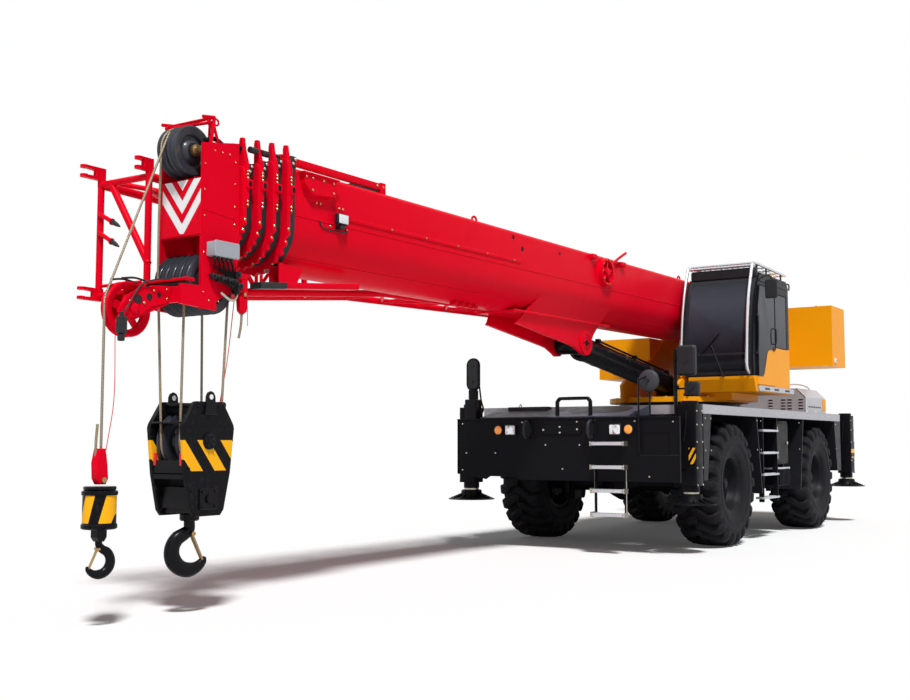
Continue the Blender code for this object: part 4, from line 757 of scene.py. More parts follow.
class TyresOperator(bpy.types.Operator):
    """Make the four tyres: a turned carcass with a ring of curved lugs on each shoulder."""

    bl_idname = "crane.tyres"
    bl_label = "Tyres"

    CARCASS = ((0.349, 0.205), (0.366, 0.250), (0.410, 0.272), (0.500, 0.288), (0.590, 0.290), (0.655, 0.270),
               (0.700, 0.225), (0.718, 0.120), (0.722, 0.0))
    # A lug from the tyre's middle to its sidewall: place of its top and its base (radius, side), and its
    # sweep.
    LUG_TOP = ((0.775, -0.020), (0.775, 0.055), (0.774, 0.110), (0.771, 0.165), (0.764, 0.215),
               (0.745, 0.258), (0.708, 0.287), (0.655, 0.298), (0.612, 0.296))
    LUG_BASE = ((0.712, -0.020), (0.712, 0.055), (0.712, 0.110), (0.708, 0.165), (0.696, 0.205),
                (0.676, 0.235), (0.650, 0.258), (0.625, 0.270), (0.600, 0.280))
    SWEEP = (0.000, 0.012, 0.055, 0.105, 0.118, 0.112, 0.116, 0.124, 0.130)
    WIDTH = (0.100, 0.118, 0.104, 0.100, 0.118, 0.126, 0.118, 0.104, 0.090)
    USUAL_DEPTH = 0.052

    def lugs(self, centre, side, turn, sizes):
        """Rings of lugs: angle = step times the lug's number plus the sweep; x, z = radius times (sine,
        cosine)."""
        top, base = np.array(self.LUG_TOP), np.array(self.LUG_BASE)
        base = top + (base - top) * (sizes.lug_depth / self.USUAL_DEPTH)
        half = np.array(self.WIDTH) / 2 / top[0, 0]
        sweep = np.array(self.SWEEP) / top[0, 0]
        rim = 0.012 / top[0, 0]
        columns = [(1.0, -(half + rim * 1.5)), (0.14, -half), (0.0, -half + rim), (0.0, half - rim),
                   (0.14, half), (1.0, half + rim * 1.5)]
        radius = np.stack([top[:, 0] + (base[:, 0] - top[:, 0]) * depth_share for depth_share, _ in columns],
                          -1)
        across = np.stack([top[:, 1] + (base[:, 1] - top[:, 1]) * depth_share for depth_share, _ in columns],
                          -1)
        spread = np.stack([width for _, width in columns], -1)
        step = 2 * math.pi / sizes.lug_count
        number = np.arange(sizes.lug_count)[:, None, None]
        angle = number * step + turn + (sweep[:, None] + spread)[None]
        radius, across = np.broadcast_to(radius, angle.shape), np.broadcast_to(across, angle.shape)
        return np.stack([centre[0] + radius * np.sin(angle), centre[1] + side * across,
                         centre[2] + radius * np.cos(angle)], -1)

    def execute(self, context):
        sizes = context.scene.crane_sizes
        half = smooth_path(self.CARCASS, 30)
        profile = np.concatenate([half * (1, -1), half[-2::-1]])
        for key in CORNERS:
            shape = Shape()
            low, high = span("tyre_" + key)
            centre = (low + high) / 2
            shape.lathe(profile, centre, "Y", 88, closed=True)
            for ring, side in enumerate((1, -1)):
                turn = ring * math.pi / sizes.lug_count
                for lug in self.lugs(centre, side, turn, sizes):
                    shape.skin(lug)
            ribs = [(0.500, 0.2885), (0.508, 0.294), (0.516, 0.2895)]
            for side in (1, -1):
                ring = [(radius, side * place) for radius, place in ribs] + [(0.508, side * 0.280)]
                shape.lathe(ring, centre, "Y", 64, closed=True)
            shape.make("tyre_dressed_" + key, "wheel_" + key, ["tyre_rubber"], ["tyre_" + key],
                       42)
        return {"FINISHED"}


class RimsOperator(bpy.types.Operator):
    """Make the deep dished rims with their lock rings, hub caps and wheel nuts."""

    bl_idname = "crane.rims"
    bl_label = "Rims"

    DISH = ((0.0, 0.168), (0.050, 0.168), (0.062, 0.160), (0.066, 0.135), (0.098, 0.128), (0.118, 0.112),
            (0.126, 0.050), (0.132, 0.040), (0.205, 0.032), (0.222, 0.040), (0.240, 0.060), (0.268, 0.070),
            (0.290, 0.074), (0.302, 0.090), (0.308, 0.180), (0.318, 0.200), (0.330, 0.222), (0.346, 0.226),
            (0.350, 0.236), (0.364, 0.246), (0.374, 0.244), (0.374, 0.236), (0.362, 0.230), (0.348, 0.214),
            (0.346, 0.190), (0.346, -0.212), (0.362, -0.232), (0.362, -0.246), (0.332, -0.240),
            (0.314, -0.215), (0.312, -0.060), (0.200, -0.155), (0.0, -0.155))

    def execute(self, context):
        for key in CORNERS:
            side = 1 if key.endswith("left") else -1
            low, high = span("rim_" + key)
            centre = np.array([(low[0] + high[0]) / 2, side * 1.220, (low[2] + high[2]) / 2])
            shape = Shape()
            shape.lathe([(radius, side * place) for radius, place in self.DISH], centre, "Y", 72)
            for radius, place, count, size in ((0.176, 0.034, 12, 0.015), (0.085, 0.130, 8, 0.008)):
                around = circle((0, 0), radius, count)
                spots = turn_to("Y", around, side * (place - 0.002)) + centre
                shape.bolts(spots, facing(side), size, 0.022)
            ring = [(0.322, 0.206), (0.330, 0.216), (0.338, 0.218), (0.334, 0.200)]
            shape.lathe([(radius, side * place) for radius, place in ring], centre, "Y", 72, closed=True)
            shape.make("rim_dressed_" + key, "wheel_" + key, ["rim_black"], ["rim_" + key],
                       38)
        return {"FINISHED"}


def sheave(shape, centre, radius, width, marks=(0, 1), hub=0.075):
    """A grooved sheave: a turned rim with a round groove, a dished web and a hub; marks are rim and hub."""
    half = width / 2
    half_turn = np.linspace(0, math.pi, 7)
    groove = [(radius - 0.018 - 0.016 * math.sin(a), 0.30 * width * -math.cos(a)) for a in half_turn]
    web = 0.35 * half
    inner = radius - 0.070
    profile = [(inner, -half * 0.75), (radius - 0.012, -half), (radius, -half * 0.86), *groove,
               (radius, half * 0.86), (radius - 0.012, half), (inner, half * 0.75), (inner - 0.012, web)]
    profile += [(hub + 0.03, web), (hub + 0.012, half * 0.9), (hub, half)]
    profile += [(hub, -half), (hub + 0.012, -half * 0.9), (hub + 0.03, -web), (inner - 0.012, -web)]
    shape.lathe(profile, centre, "Y", 56, marks[0], closed=True)
    shape.disc(hub + 0.002, -half - 0.004, half + 0.004, centre, "Y", 28, marks[1])


class SheavesOperator(bpy.types.Operator):
    """Make the boom head's sheaves: two on top, five below and the spoked one in the nose."""

    bl_idname = "crane.sheaves"
    bl_label = "Sheaves"

    def execute(self, context):
        low, high = span("head_sheaves")
        top = (low + high) / 2
        radius = (high[2] - low[2]) / 2
        shape = Shape()
        for y in (-0.062, 0.044):
            sheave(shape, (top[0], y, top[2] + 0.030), radius, 0.090, hub=0.060)
        raised = top + (0.0, 0.0, 0.030)
        shape.disc(0.032, -0.209, 0.209, raised, "Y", 24, 2)
        shape.lathe([(0.032, 0.09), (0.046, 0.10), (0.046, 0.125), (0.032, 0.13)], raised, "Y", 24, 2,
                    closed=True)
        shape.make("head_sheaves_dressed", "head", ["sheave_grey", "black_plastic_and_painted_shade", "brass"],
                   ["head_sheaves"])
        low, high = span("lower_sheaves")
        middle = (low + high) / 2
        radius = (high[2] - low[2]) / 2
        shape = Shape()
        for y in np.linspace(-0.150, 0.150, 5):
            sheave(shape, (middle[0], y, middle[2]), radius, 0.066, hub=0.060)
        shape.disc(0.036, -0.209, 0.209, middle, "Y", 24, 1)
        shape.make("lower_sheaves_dressed", "head", ["sheave_grey", "zinc"], ["lower_sheaves"])
        self.nose()
        return {"FINISHED"}

    def nose(self):
        """A red wheel whose spokes are slabs between hub and rim."""
        low, high = span("nose_sheave")
        centre = (low + high) / 2
        radius = (high[2] - low[2]) / 2
        shape = Shape()
        profile = [(radius - 0.055, -0.020), (radius - 0.010, -0.034), (radius, -0.030),
                   (radius - 0.026, 0.0), (radius, 0.030), (radius - 0.010, 0.034), (radius - 0.055, 0.020)]
        shape.lathe(profile, centre, "Y", 64, closed=True)
        for angle in np.linspace(0, 2 * math.pi, 5, endpoint=False) + 0.3:
            c, s = math.cos(angle), math.sin(angle)
            reach, half = radius - 0.050, 0.030
            flat = [(0.03, -half * 1.1), (reach, -half * 0.8), (reach, half * 0.8), (0.03, half * 1.1)]
            outline = [(centre[0] + a * c - b * s, centre[2] + a * s + b * c) for a, b in flat]
            shape.slab(outline, "Y", centre[1] - 0.010, centre[1] + 0.010, 0.003)
        shape.lathe([(0.0, -0.055), (0.045, -0.055), (0.058, -0.040), (0.058, 0.040), (0.045, 0.055),
                     (0.0, 0.055)], centre, "Y", 32)
        shape.disc(0.020, -0.0610, 0.0610, centre, "Y", 20, 1)
        shape.make("nose_sheave_dressed", "head", ["boom_red", "zinc"], ["nose_sheave"])


class FallsOperator(bpy.types.Operator):
    """Make the hook block's rope falls and its two sheaves."""

    bl_idname = "crane.falls"
    bl_label = "Main falls"

    def execute(self, context):
        radius = context.scene.crane_sizes.rope_radius
        block = np.array([FALL_AXIS[0], 0.0, 1.300])
        shape = Shape()
        for side in (-1, 1):
            for top_y, low_y in ((-0.144, -0.100), (0.144, 0.100)):
                start = (FALL_AXIS[0] + side * 0.2288, top_y, FALL_AXIS[2] + 0.02)
                end = (block[0] + side * 0.205, low_y, block[2])
                shape.tube(np.linspace(start, end, 24), radius, 10, 0)
        for low_y in (-0.100, 0.100):
            sheave(shape, (block[0], low_y, block[2]), 0.222, 0.078, (1, 2))
            angle = np.linspace(math.pi, 2 * math.pi, 24)
            loop = np.stack([block[0] + 0.205 * np.cos(angle), np.full(24, low_y),
                             block[2] + 0.205 * np.sin(angle)], -1)
            shape.tube(loop, radius, 8, 0)
        shape.disc(0.040, -0.154, 0.154, block, "Y", 24, 2)
        shape.make("main_falls_dressed", "main_block", ["rope", "sheave_grey", "zinc"], ["main_falls"])
        return {"FINISHED"}


def hook(shape, top, shank, radius, thick, marks=(0, 1), turn=0.0):
    """A forged hook: a ring section carried down the shank and round a circle, thickest in the bowl,
    then turned."""
    first = len(shape.points)
    centre = np.array([top[0], top[1], top[2] - shank - radius])
    angle = np.radians(np.linspace(72, -160, 30))
    arc = np.stack([centre[0] + radius * np.cos(angle), np.full(30, top[1]),
                    centre[2] + radius * np.sin(angle)], -1)
    neck = np.array([[top[0], top[1], top[2]], [top[0], top[1], top[2] - shank * 0.45],
                     [top[0] + 0.002, top[1], top[2] - shank * 0.80]])
    path = smooth_path(np.concatenate([neck, arc[::3], arc[-1:]]), 44)
    share = np.linspace(0, 1, 44)
    size = thick * np.interp(share, [0, 0.14, 0.30, 0.55, 0.75, 0.93, 1.0],
                             [0.74, 0.76, 0.95, 1.08, 0.98, 0.55, 0.24])
    shape.tube(path, size, 18, marks[0], 0.82)
    tip = arc[-3]
    root = np.array([centre[0] - radius * 0.10, top[1], centre[2] + radius * 0.98])
    side = np.array([0.0, thick * 0.30, 0.0])
    for sign in (-1, 1):
        shape.tube(np.linspace(root + sign * side, tip + sign * side * 0.6, 6), thick * 0.22, 8, marks[1],
                   0.8)
    shape.disc(thick * 0.28, -thick, thick, root, "Y", 14, marks[1])
    # The turn about the upright line through the top: (x, y) goes round by the angle.
    c, s = math.cos(math.radians(turn)), math.sin(math.radians(turn))
    middle = np.array([top[0], top[1], 0.0])
    for number in range(first, len(shape.points)):
        x, y, z = (shape.points[number] - middle).T
        shape.points[number] = np.stack([x * c - y * s, x * s + y * c, z], -1) + middle


class HookBlockOperator(bpy.types.Operator):
    """Make the hook block's cheeks, cross plates, pins, latches, eye, rope clamp and hook."""

    bl_idname = "crane.hook_block"
    bl_label = "Hook block"

    CHEEK = ((-0.155, 1.590), (-0.130, 1.600), (0.130, 1.600), (0.155, 1.590), (0.262, 1.430), (0.270, 1.400),
             (0.262, 1.330), (0.232, 1.060), (0.170, 0.785), (0.135, 0.742), (-0.135, 0.742), (-0.170, 0.785),
             (-0.232, 1.060), (-0.262, 1.330), (-0.270, 1.400), (-0.262, 1.430))

    def execute(self, context):
        x = FALL_AXIS[0]
        bolt = context.scene.crane_sizes.bolt_radius
        outline = np.array(self.CHEEK) + (x, 0.0)
        shape = Shape()
        for low, high in ((0.156, 0.192), (-0.192, -0.156)):
            shape.slab(outline, "Y", low, high, 0.005, 1)
        # Cross plates between the cheeks: low x, high x, low z, high z.
        for a, b, c, d in ((-0.13, 0.13, 1.566, 1.588), (0.205, 0.225, 1.02, 1.16),
                           (-0.225, -0.205, 1.02, 1.16), (0.130, 0.150, 0.80, 0.96),
                           (-0.150, -0.130, 0.80, 0.96), (-0.12, 0.12, 0.765, 0.905)):
            shape.block((x + a, -0.158, c), (x + b, 0.158, d), 0.003, 0, "Y")
        for z, reach in ((1.440, 0.255), (1.060, 0.225)):
            shape.block((x + 0.110, -0.158, z - 0.007), (x + reach, 0.158, z + 0.007), 0.003, 0, "Z")
        lug = [(x - 0.062, 1.500), (x + 0.062, 1.500), (x + 0.050, 1.560), (x + 0.046, 1.640),
               (x + 0.030, 1.668), (x, 1.680), (x - 0.030, 1.668), (x - 0.046, 1.640), (x - 0.050, 1.560)]
        for low, high in ((0.192, 0.212), (-0.212, -0.192)):
            shape.slab(lug, "Y", low, high, 0.004, 0)
            for face in (low - 0.0005, high + 0.0005):
                shape.disc(0.020, face - 0.0005, face + 0.0005, (x, 0.0, 1.635), "Y", 20, 4)
        for sign in (-1, 1):
            direction = facing(sign)
            face = sign * 0.192
            cap = [(0.0, face), (0.062, face), (0.062, face + sign * 0.012), (0.050, face + sign * 0.020),
                   (0.0, face + sign * 0.020)]
            shape.lathe(cap, (x, 0.0, 1.300), "Y", 28, 0)
            ring = turn_to("Y", circle((x, 1.300), 0.045, 6), face + sign * 0.018)
            shape.bolts(ring, direction, bolt * 0.8, 0.010, 0)
            shape.block((x - 0.092, face, 0.790), (x + 0.092, face + sign * 0.014, 0.950),
                        0.004, 0, "Y", 0.012)
            square = [(x + a, face + sign * 0.012, z) for a in (-0.066, 0.066) for z in (0.815, 0.925)]
            shape.bolts(square, direction, bolt, 0.012, 0)
            pin = [(0.0, face + sign * 0.012), (0.034, face + sign * 0.012), (0.034, face + sign * 0.030),
                   (0.0, face + sign * 0.030)]
            shape.lathe(pin, (x, 0.0, 0.870), "Y", 20, 0)
            edge = [(x + a, face - 0.002 * sign, z) for a, z in (
                (-0.11, 1.56), (0.11, 1.56), (-0.235, 1.38), (0.235, 1.38), (-0.20, 1.10), (0.20, 1.10),
                (-0.165, 0.93), (0.165, 0.93))]
            shape.bolts(edge, direction, bolt * 0.8, 0.009, 0)
        for y in (-0.150, 0.128):
            shape.block((x + 0.212, y, 1.120), (x + 0.236, y + 0.022, 1.215), 0.004, 3, "Y")
        shape.block((x - 0.245, 0.05, 1.555), (x - 0.165, 0.13, 1.605), 0.012, 0)
        cord = smooth_path([(x - 0.20, 0.10, 1.60), (x - 0.235, 0.14, 1.95), (x - 0.262, 0.175, 2.40)], 20)
        shape.tube(cord, 0.004, 6, 3)
        shape.make("hook_block_dressed", "main_block",
                   ["hook_black", "block_stripes", "zinc", "cord_red", "white_paint"], ["hook_block"])
        shape = Shape()
        top = span("main_hook")[1][2]
        nut = [(0.0, top), (0.066, top), (0.074, top - 0.010), (0.074, top - 0.048), (0.066, top - 0.058),
               (0.0, top - 0.058)]
        shape.lathe(nut, (x, 0.0, 0.0), "Z", 32, 0)
        hook(shape, (x, 0.0, top - 0.02), 0.130, 0.138, 0.058, (0, 1), -20.0)
        shape.make("main_hook_dressed", "main_hook", ["hook_black", "brass"], ["main_hook"])
        return {"FINISHED"}


class AuxHookOperator(bpy.types.Operator):
    """Make the single fall with its wedge socket, striped weight, limit switch cords and hook."""

    bl_idname = "crane.aux_hook"
    bl_label = "Auxiliary hook"

    def execute(self, context):
        low, high = span("aux_hook")
        x = (low[0] + high[0]) / 2
        rope = context.scene.crane_sizes.rope_radius
        shape = Shape()
        shape.tube(np.linspace((x, 0.0, NOSE_AXIS[2] + 0.02), (x, 0.0, 1.16), 24), rope, 10, 0)
        tail = smooth_path([(x + 0.030, 0.0, 1.05), (x + 0.045, 0.0, 1.25), (x + 0.035, 0.0, 1.42)], 12)
        shape.tube(tail, rope, 8, 0)
        body = [(x - 0.022, 1.250), (x + 0.040, 1.250), (x + 0.062, 1.150), (x + 0.055, 1.040),
                (x + 0.030, 1.000), (x - 0.030, 1.000), (x - 0.050, 1.040), (x - 0.040, 1.150)]
        shape.slab(body, "Y", -0.032, 0.032, 0.008, 1)
        shape.disc(0.020, -0.048, 0.048, (x, 0.0, 1.030), "Y", 20, 3)
        for z, radius in ((0.975, 0.112), (0.945, 0.100)):
            shape.lathe([(0.0, z - 0.012), (radius - 0.004, z - 0.012), (radius, z - 0.008),
                         (radius, z + 0.008), (radius - 0.004, z + 0.012), (0.0, z + 0.012)], (x, 0.0, 0.0),
                        "Z", 48, 4)
        profile = [(0.0, 0.690), (0.112, 0.690), (0.124, 0.698), (0.124, 0.722), (0.116, 0.730),
                   (0.116, 0.922), (0.124, 0.930), (0.124, 0.952), (0.112, 0.960), (0.0, 0.960)]
        shape.lathe(profile, (x, 0.0, 0.0), "Z", 56, 2)
        cheeks = [(x - 0.042, 0.700), (x - 0.042, 0.635), (x - 0.020, 0.605), (x + 0.020, 0.605),
                  (x + 0.042, 0.635), (x + 0.042, 0.700)]
        shape.slab(cheeks, "Y", -0.040, 0.040, 0.006, 4)
        hook(shape, (x, 0.0, 0.690), 0.135, 0.089, 0.034, (4, 3), 165.0)
        shape.tube(smooth_path([(x - 0.05, 0.06, 2.05), (x - 0.045, 0.07, 1.60), (x - 0.020, 0.03, 1.24)],
                               18), 0.003, 6, 1)
        shape.make("aux_hook_dressed", "aux_block",
                   ["rope", "boom_red", "weight_stripes", "brass", "hook_black"], ["aux_hook"])
        return {"FINISHED"}


class HeadOperator(bpy.types.Operator):
    """Dress the boom head: chevrons, guard bars, junction box, bolts, hoses, nose arms and switches."""

    bl_idname = "crane.head"
    bl_label = "Boom head"

    def execute(self, context):
        bolt = context.scene.crane_sizes.bolt_radius
        shape = Shape()
        shape.block((9.7805, -0.228, 2.860), (9.7845, 0.228, 3.288), 0.001, 1, "X")
        # The rope guard over the top sheaves, its foot on the side plates.
        ring = turn_to("Y", circle((9.640, 3.745), 0.024, 16), 0.2225)
        shape.tube(np.concatenate([ring, ring[:1]]), 0.008, 8)
        ring = turn_to("Y", circle((9.660, 3.748), 0.018, 16), 0.17)
        shape.tube(np.concatenate([ring, ring[:1]]), 0.008, 8)
        for y, x in ((-0.205, 9.60), (0.205, 9.60), (0.170, 9.66)):
            shape.tube(np.linspace((x, y, 3.60), (9.655, y, 3.74), 4), 0.012, 10)
        shape.tube(np.linspace((9.655, 0.200, 3.748), (9.750, -0.180, 3.732), 6), 0.013, 10)
        shape.disc(0.024, -0.018, 0.018, (9.752, -0.180, 3.730), "Y", 16)
        # Grey junction box with its lid and cable glands.
        shape.block((9.485, 0.2355, 2.695), (9.735, 0.330, 2.805), 0.006, 2, "Y", 0.010)
        shape.block((9.480, 0.322, 2.690), (9.740, 0.338, 2.810), 0.004, 2, "Y", 0.010)
        for x in np.linspace(9.52, 9.70, 5):
            gland = [(0.0, 2.668), (0.012, 2.668), (0.014, 2.676), (0.014, 2.704), (0.0, 2.704)]
            shape.lathe(gland, (x, 0.285, 0.0), "Z", 12, 3)
        # Bolts down the side plate and the front window's frame.
        rows = [(9.44, z) for z in (3.47, 3.30, 3.12, 2.98, 2.60)]
        rows += [(9.76, z) for z in (3.40, 3.20, 3.00, 2.72, 2.42)]
        rows += [(x, 3.52) for x in (9.50, 9.58, 9.66)] + [(x, 2.36) for x in (9.60, 9.70)]
        for side in (1, -1):
            shape.bolts([(x, side * 0.2345, z) for x, z in rows], facing(side), bolt * 0.5, 0.006, 4)
        seam = [(x, 0.2362, z) for x, z in ((9.43, 3.02), (9.775, 3.05))]
        shape.tube(np.linspace(seam[0], seam[1], 3), 0.003, 6)
        # Black rope guard bar under the window and the yoke's cover strip with its hinge eyes.
        shape.tube(np.linspace((9.900, -0.215, 2.470), (9.900, 0.215, 2.470), 4), 0.022, 14, 3)
        shape.block((9.860, -0.228, 2.490), (9.950, 0.228, 2.508), 0.004, 0)
        for x in (9.87, 9.91, 9.94):
            shape.disc(0.014, 0.228, 0.246, (x, 0.0, 2.500), "Y", 12)
        self.arms(shape, bolt)
        self.hoses(shape)
        self.ropes(shape)
        shape.make("head_dressed", "head", ["boom_red", "chevrons", "box_grey", "black_plastic_and_painted_shade", "brass",
                                            "hose", "zinc", "cord_red", "rope"], ())
        return {"FINISHED"}

    def arms(self, shape, bolt):
        """Nose arms' side plates with their bores as black discs of painted shade, the rope guard and the
        limit switches.
        """
        arm = [(9.955, 2.330), (9.955, 2.440), (10.080, 2.440), (10.260, 2.400), (10.360, 2.335),
               (10.405, 2.265), (10.400, 2.200), (10.330, 2.180), (10.240, 2.200), (10.120, 2.285)]
        for low, high in ((0.083, 0.091), (-0.091, -0.083)):
            shape.slab(arm, "Y", low, high, 0.002)
        for side in (1, -1):
            face = side * 0.091
            # Each bore: a black disc of painted shade inside a raised lip.
            for x, z, radius in ((10.254, 2.322, 0.030), (10.150, 2.350, 0.022), (10.060, 2.372, 0.014)):
                rim = [(0.0, face), (radius + 0.006, face), (radius + 0.004, face + side * 0.004),
                       (radius, face + side * 0.004), (radius, face + side * 0.001),
                       (0.0, face + side * 0.001)]
                shape.lathe(rim, (x, 0.0, z), "Y", 20, 3)
            pin = [(0.0, face), (0.040, face), (0.040, face + side * 0.010), (0.022, face + side * 0.022),
                   (0.0, face + side * 0.022)]
            shape.lathe(pin, (NOSE_AXIS[0], 0.0, NOSE_AXIS[2]), "Y", 24, 0)
            spots = [(x, face, z) for x, z in ((9.985, 2.42), (9.985, 2.35), (10.20, 2.30), (10.33, 2.30),
                                               (10.11, 2.40))]
            shape.bolts(spots, facing(side), bolt * 0.8, 0.009, 4)
        guard = smooth_path([(10.14, 0.0, 2.462), (10.26, 0.0, 2.478), (10.38, 0.0, 2.462)], 12)
        for y in (-0.06, 0.06):
            shape.tube(guard + (0, y, 0), 0.008, 8, 3)
        shape.block((10.395, 0.095, 2.060), (10.455, 0.150, 2.180), 0.006, 3)
        shape.block((10.405, 0.100, 2.005), (10.445, 0.140, 2.060), 0.006, 3)
        shape.disc(0.016, 2.17, 2.21, (10.425, 0.120, 0.0), "Z", 12, 3)
        shape.tube(smooth_path([(10.42, 0.12, 2.20), (10.36, 0.11, 2.26), (10.22, 0.105, 2.44),
                                (10.00, 0.16, 2.50)], 20), 0.006, 8, 3)

    def ropes(self, shape):
        """The ropes over the top sheaves: one down to the nose sheave and round it, one down to the hook
        block."""
        top, over = np.array([9.740, 3.520]), 0.188
        lift = np.radians(np.linspace(118, 25, 14))
        arc = np.stack([top[0] + over * np.cos(lift), top[1] + over * np.sin(lift)], -1)
        nose = np.radians(np.linspace(25, 2, 6))
        reach = 0.1927
        foot = np.stack([NOSE_AXIS[0] + reach * np.cos(nose), NOSE_AXIS[2] + reach * np.sin(nose)], -1)
        path = np.concatenate([arc, foot])
        shape.tube(turn_to("Y", path, np.linspace(-0.062, 0.0, len(path))), 0.009, 10, 8)
        lift = np.radians(np.linspace(118, 0, 16))
        arc = np.stack([top[0] + over * np.cos(lift), top[1] + over * np.sin(lift)], -1)
        path = np.concatenate([arc, [(9.900, 3.00), (9.862, 2.52)]])
        across = np.concatenate([np.full(16, -0.062), [-0.105, -0.144]])
        shape.tube(turn_to("Y", path, across), 0.009, 10, 8)

    def hoses(self, shape):
        """A bundle of hoses and fittings under the junction box, each a curve through hanging points."""
        for index in range(5):
            x = 9.52 + index * 0.045
            path = smooth_path([(x, 0.285, 2.672), (x - 0.01, 0.29, 2.64), (x - 0.04, 0.27, 2.61),
                                (9.46 - 0.012 * index, 0.262, 2.59 - 0.016 * index)], 14)
            shape.tube(path, 0.007, 8, 5)
        blocks = ((9.68, 2.545, 0.026), (9.61, 2.535, 0.034), (9.54, 2.530, 0.030), (9.47, 2.520, 0.036),
                  (9.43, 2.585, 0.030), (9.40, 2.500, 0.026), (9.44, 2.450, 0.024))
        for x, z, size in blocks:
            shape.block((x - size, 0.2355, z - size * 0.8), (x + size, 0.285, z + size * 0.8), 0.006, 3, "Y",
                        0.010)
            ring = [(0.0, 0.285), (size * 0.5, 0.285), (size * 0.5, 0.300), (0.0, 0.300)]
            shape.lathe(ring, (x, 0.0, z), "Y", 12, 3)
        for index in range(4):
            start = (9.66 - 0.06 * index, 0.290, 2.53)
            path = smooth_path([start, (9.58 - 0.04 * index, 0.305, 2.49), (9.48, 0.295, 2.47 - 0.02 * index),
                                (9.42, 0.27, 2.50)], 12)
            shape.tube(path, 0.008, 8, 5)
        over_plate = smooth_path([(9.70, 0.16, 3.600), (9.62, 0.19, 3.625), (9.52, 0.20, 3.585),
                                  (9.44, 0.21, 3.610), (9.36, 0.22, 3.600)], 18)
        for lower in (0.0, 0.035):
            shape.tube(over_plate - (0.0, lower, lower), 0.019, 10, 5)
        shape.tube(smooth_path([(9.60, 0.26, 2.43), (9.52, 0.28, 2.38), (9.45, 0.27, 2.40),
                                (9.42, 0.26, 2.48)], 16), 0.011, 8, 6)
        # The dead end's wedge socket, its pin and the rope that leaves it.
        socket = [(9.325, 2.470), (9.375, 2.470), (9.395, 2.390), (9.385, 2.310), (9.350, 2.285),
                  (9.315, 2.310), (9.305, 2.390)]
        shape.slab(socket, "Y", 0.215, 0.265, 0.006, 0)
        shape.disc(0.016, 0.205, 0.275, (9.350, 0.0, 2.440), "Y", 14, 4)
        hanger = [(9.325, 2.560), (9.400, 2.560), (9.400, 2.455), (9.325, 2.455)]
        for low, high in ((0.195, 0.212), (0.268, 0.280)):
            shape.slab(hanger, "Y", low, high, 0.003, 0)
        shape.block((9.325, 0.200, 2.550), (9.430, 0.280, 2.600), 0.004, 0)
        shape.tube(smooth_path([(9.35, 0.24, 2.30), (9.352, 0.235, 2.20), (9.36, 0.22, 2.10)], 8), 0.010, 8,
                   8)
        shape.tube(smooth_path([(9.32, 0.24, 2.47), (9.30, 0.25, 2.35), (9.305, 0.26, 2.20)], 10), 0.003, 6,
                   7)


def on_boom(x, y, rise):
    """A place on the boom: x along it, y across, and a rise square to its middle line."""
    x, y, rise = np.broadcast_arrays(np.asarray(x, float), y, rise)
    return np.stack([x - BOOM_SLOPE * (0.225 + rise), y, boom_z(x) + rise], -1)


def boom_ring(width, height, steps=30):
    """A section about the boom's middle: turned upper corners, then half an ellipse from 0.15 of half
    the height."""
    half, tall, bend = width / 2, height / 2, 0.05
    turn = np.linspace(0, math.pi / 2, 5)
    corner = np.stack([half - bend + bend * np.sin(turn), tall - bend + bend * np.cos(turn)], -1)
    belly = np.linspace(0, math.pi, steps)
    low = np.stack([half * np.cos(belly), -0.15 * tall - 0.85 * tall * np.sin(belly)], -1)
    return np.concatenate([corner, low, corner[::-1] * (-1, 1)])


def boom_band(shape, rings, mark=0, closed=True):
    """A skin through rings of boom outline: each ring is (x along the boom, outline)."""
    grid = np.stack([on_boom(x, outline[:, 0], outline[:, 1]) for x, outline in rings])
    shape.skin(grid, mark, wrap_rows=closed, ends=not closed)


def boom_block(shape, low, high, edge=0.004, mark=0):
    """A block along the boom, given by x, y and the rise of two opposite corners."""
    low, high = np.minimum(low, high), np.maximum(low, high)
    outline = rounded((low[1], low[2]), (high[1], high[2]), edge, 3)
    small = shrink(outline, edge)
    rings = [(low[0], small), (low[0] + edge, outline), (high[0] - edge, outline), (high[0], small)]
    boom_band(shape, rings, mark, False)


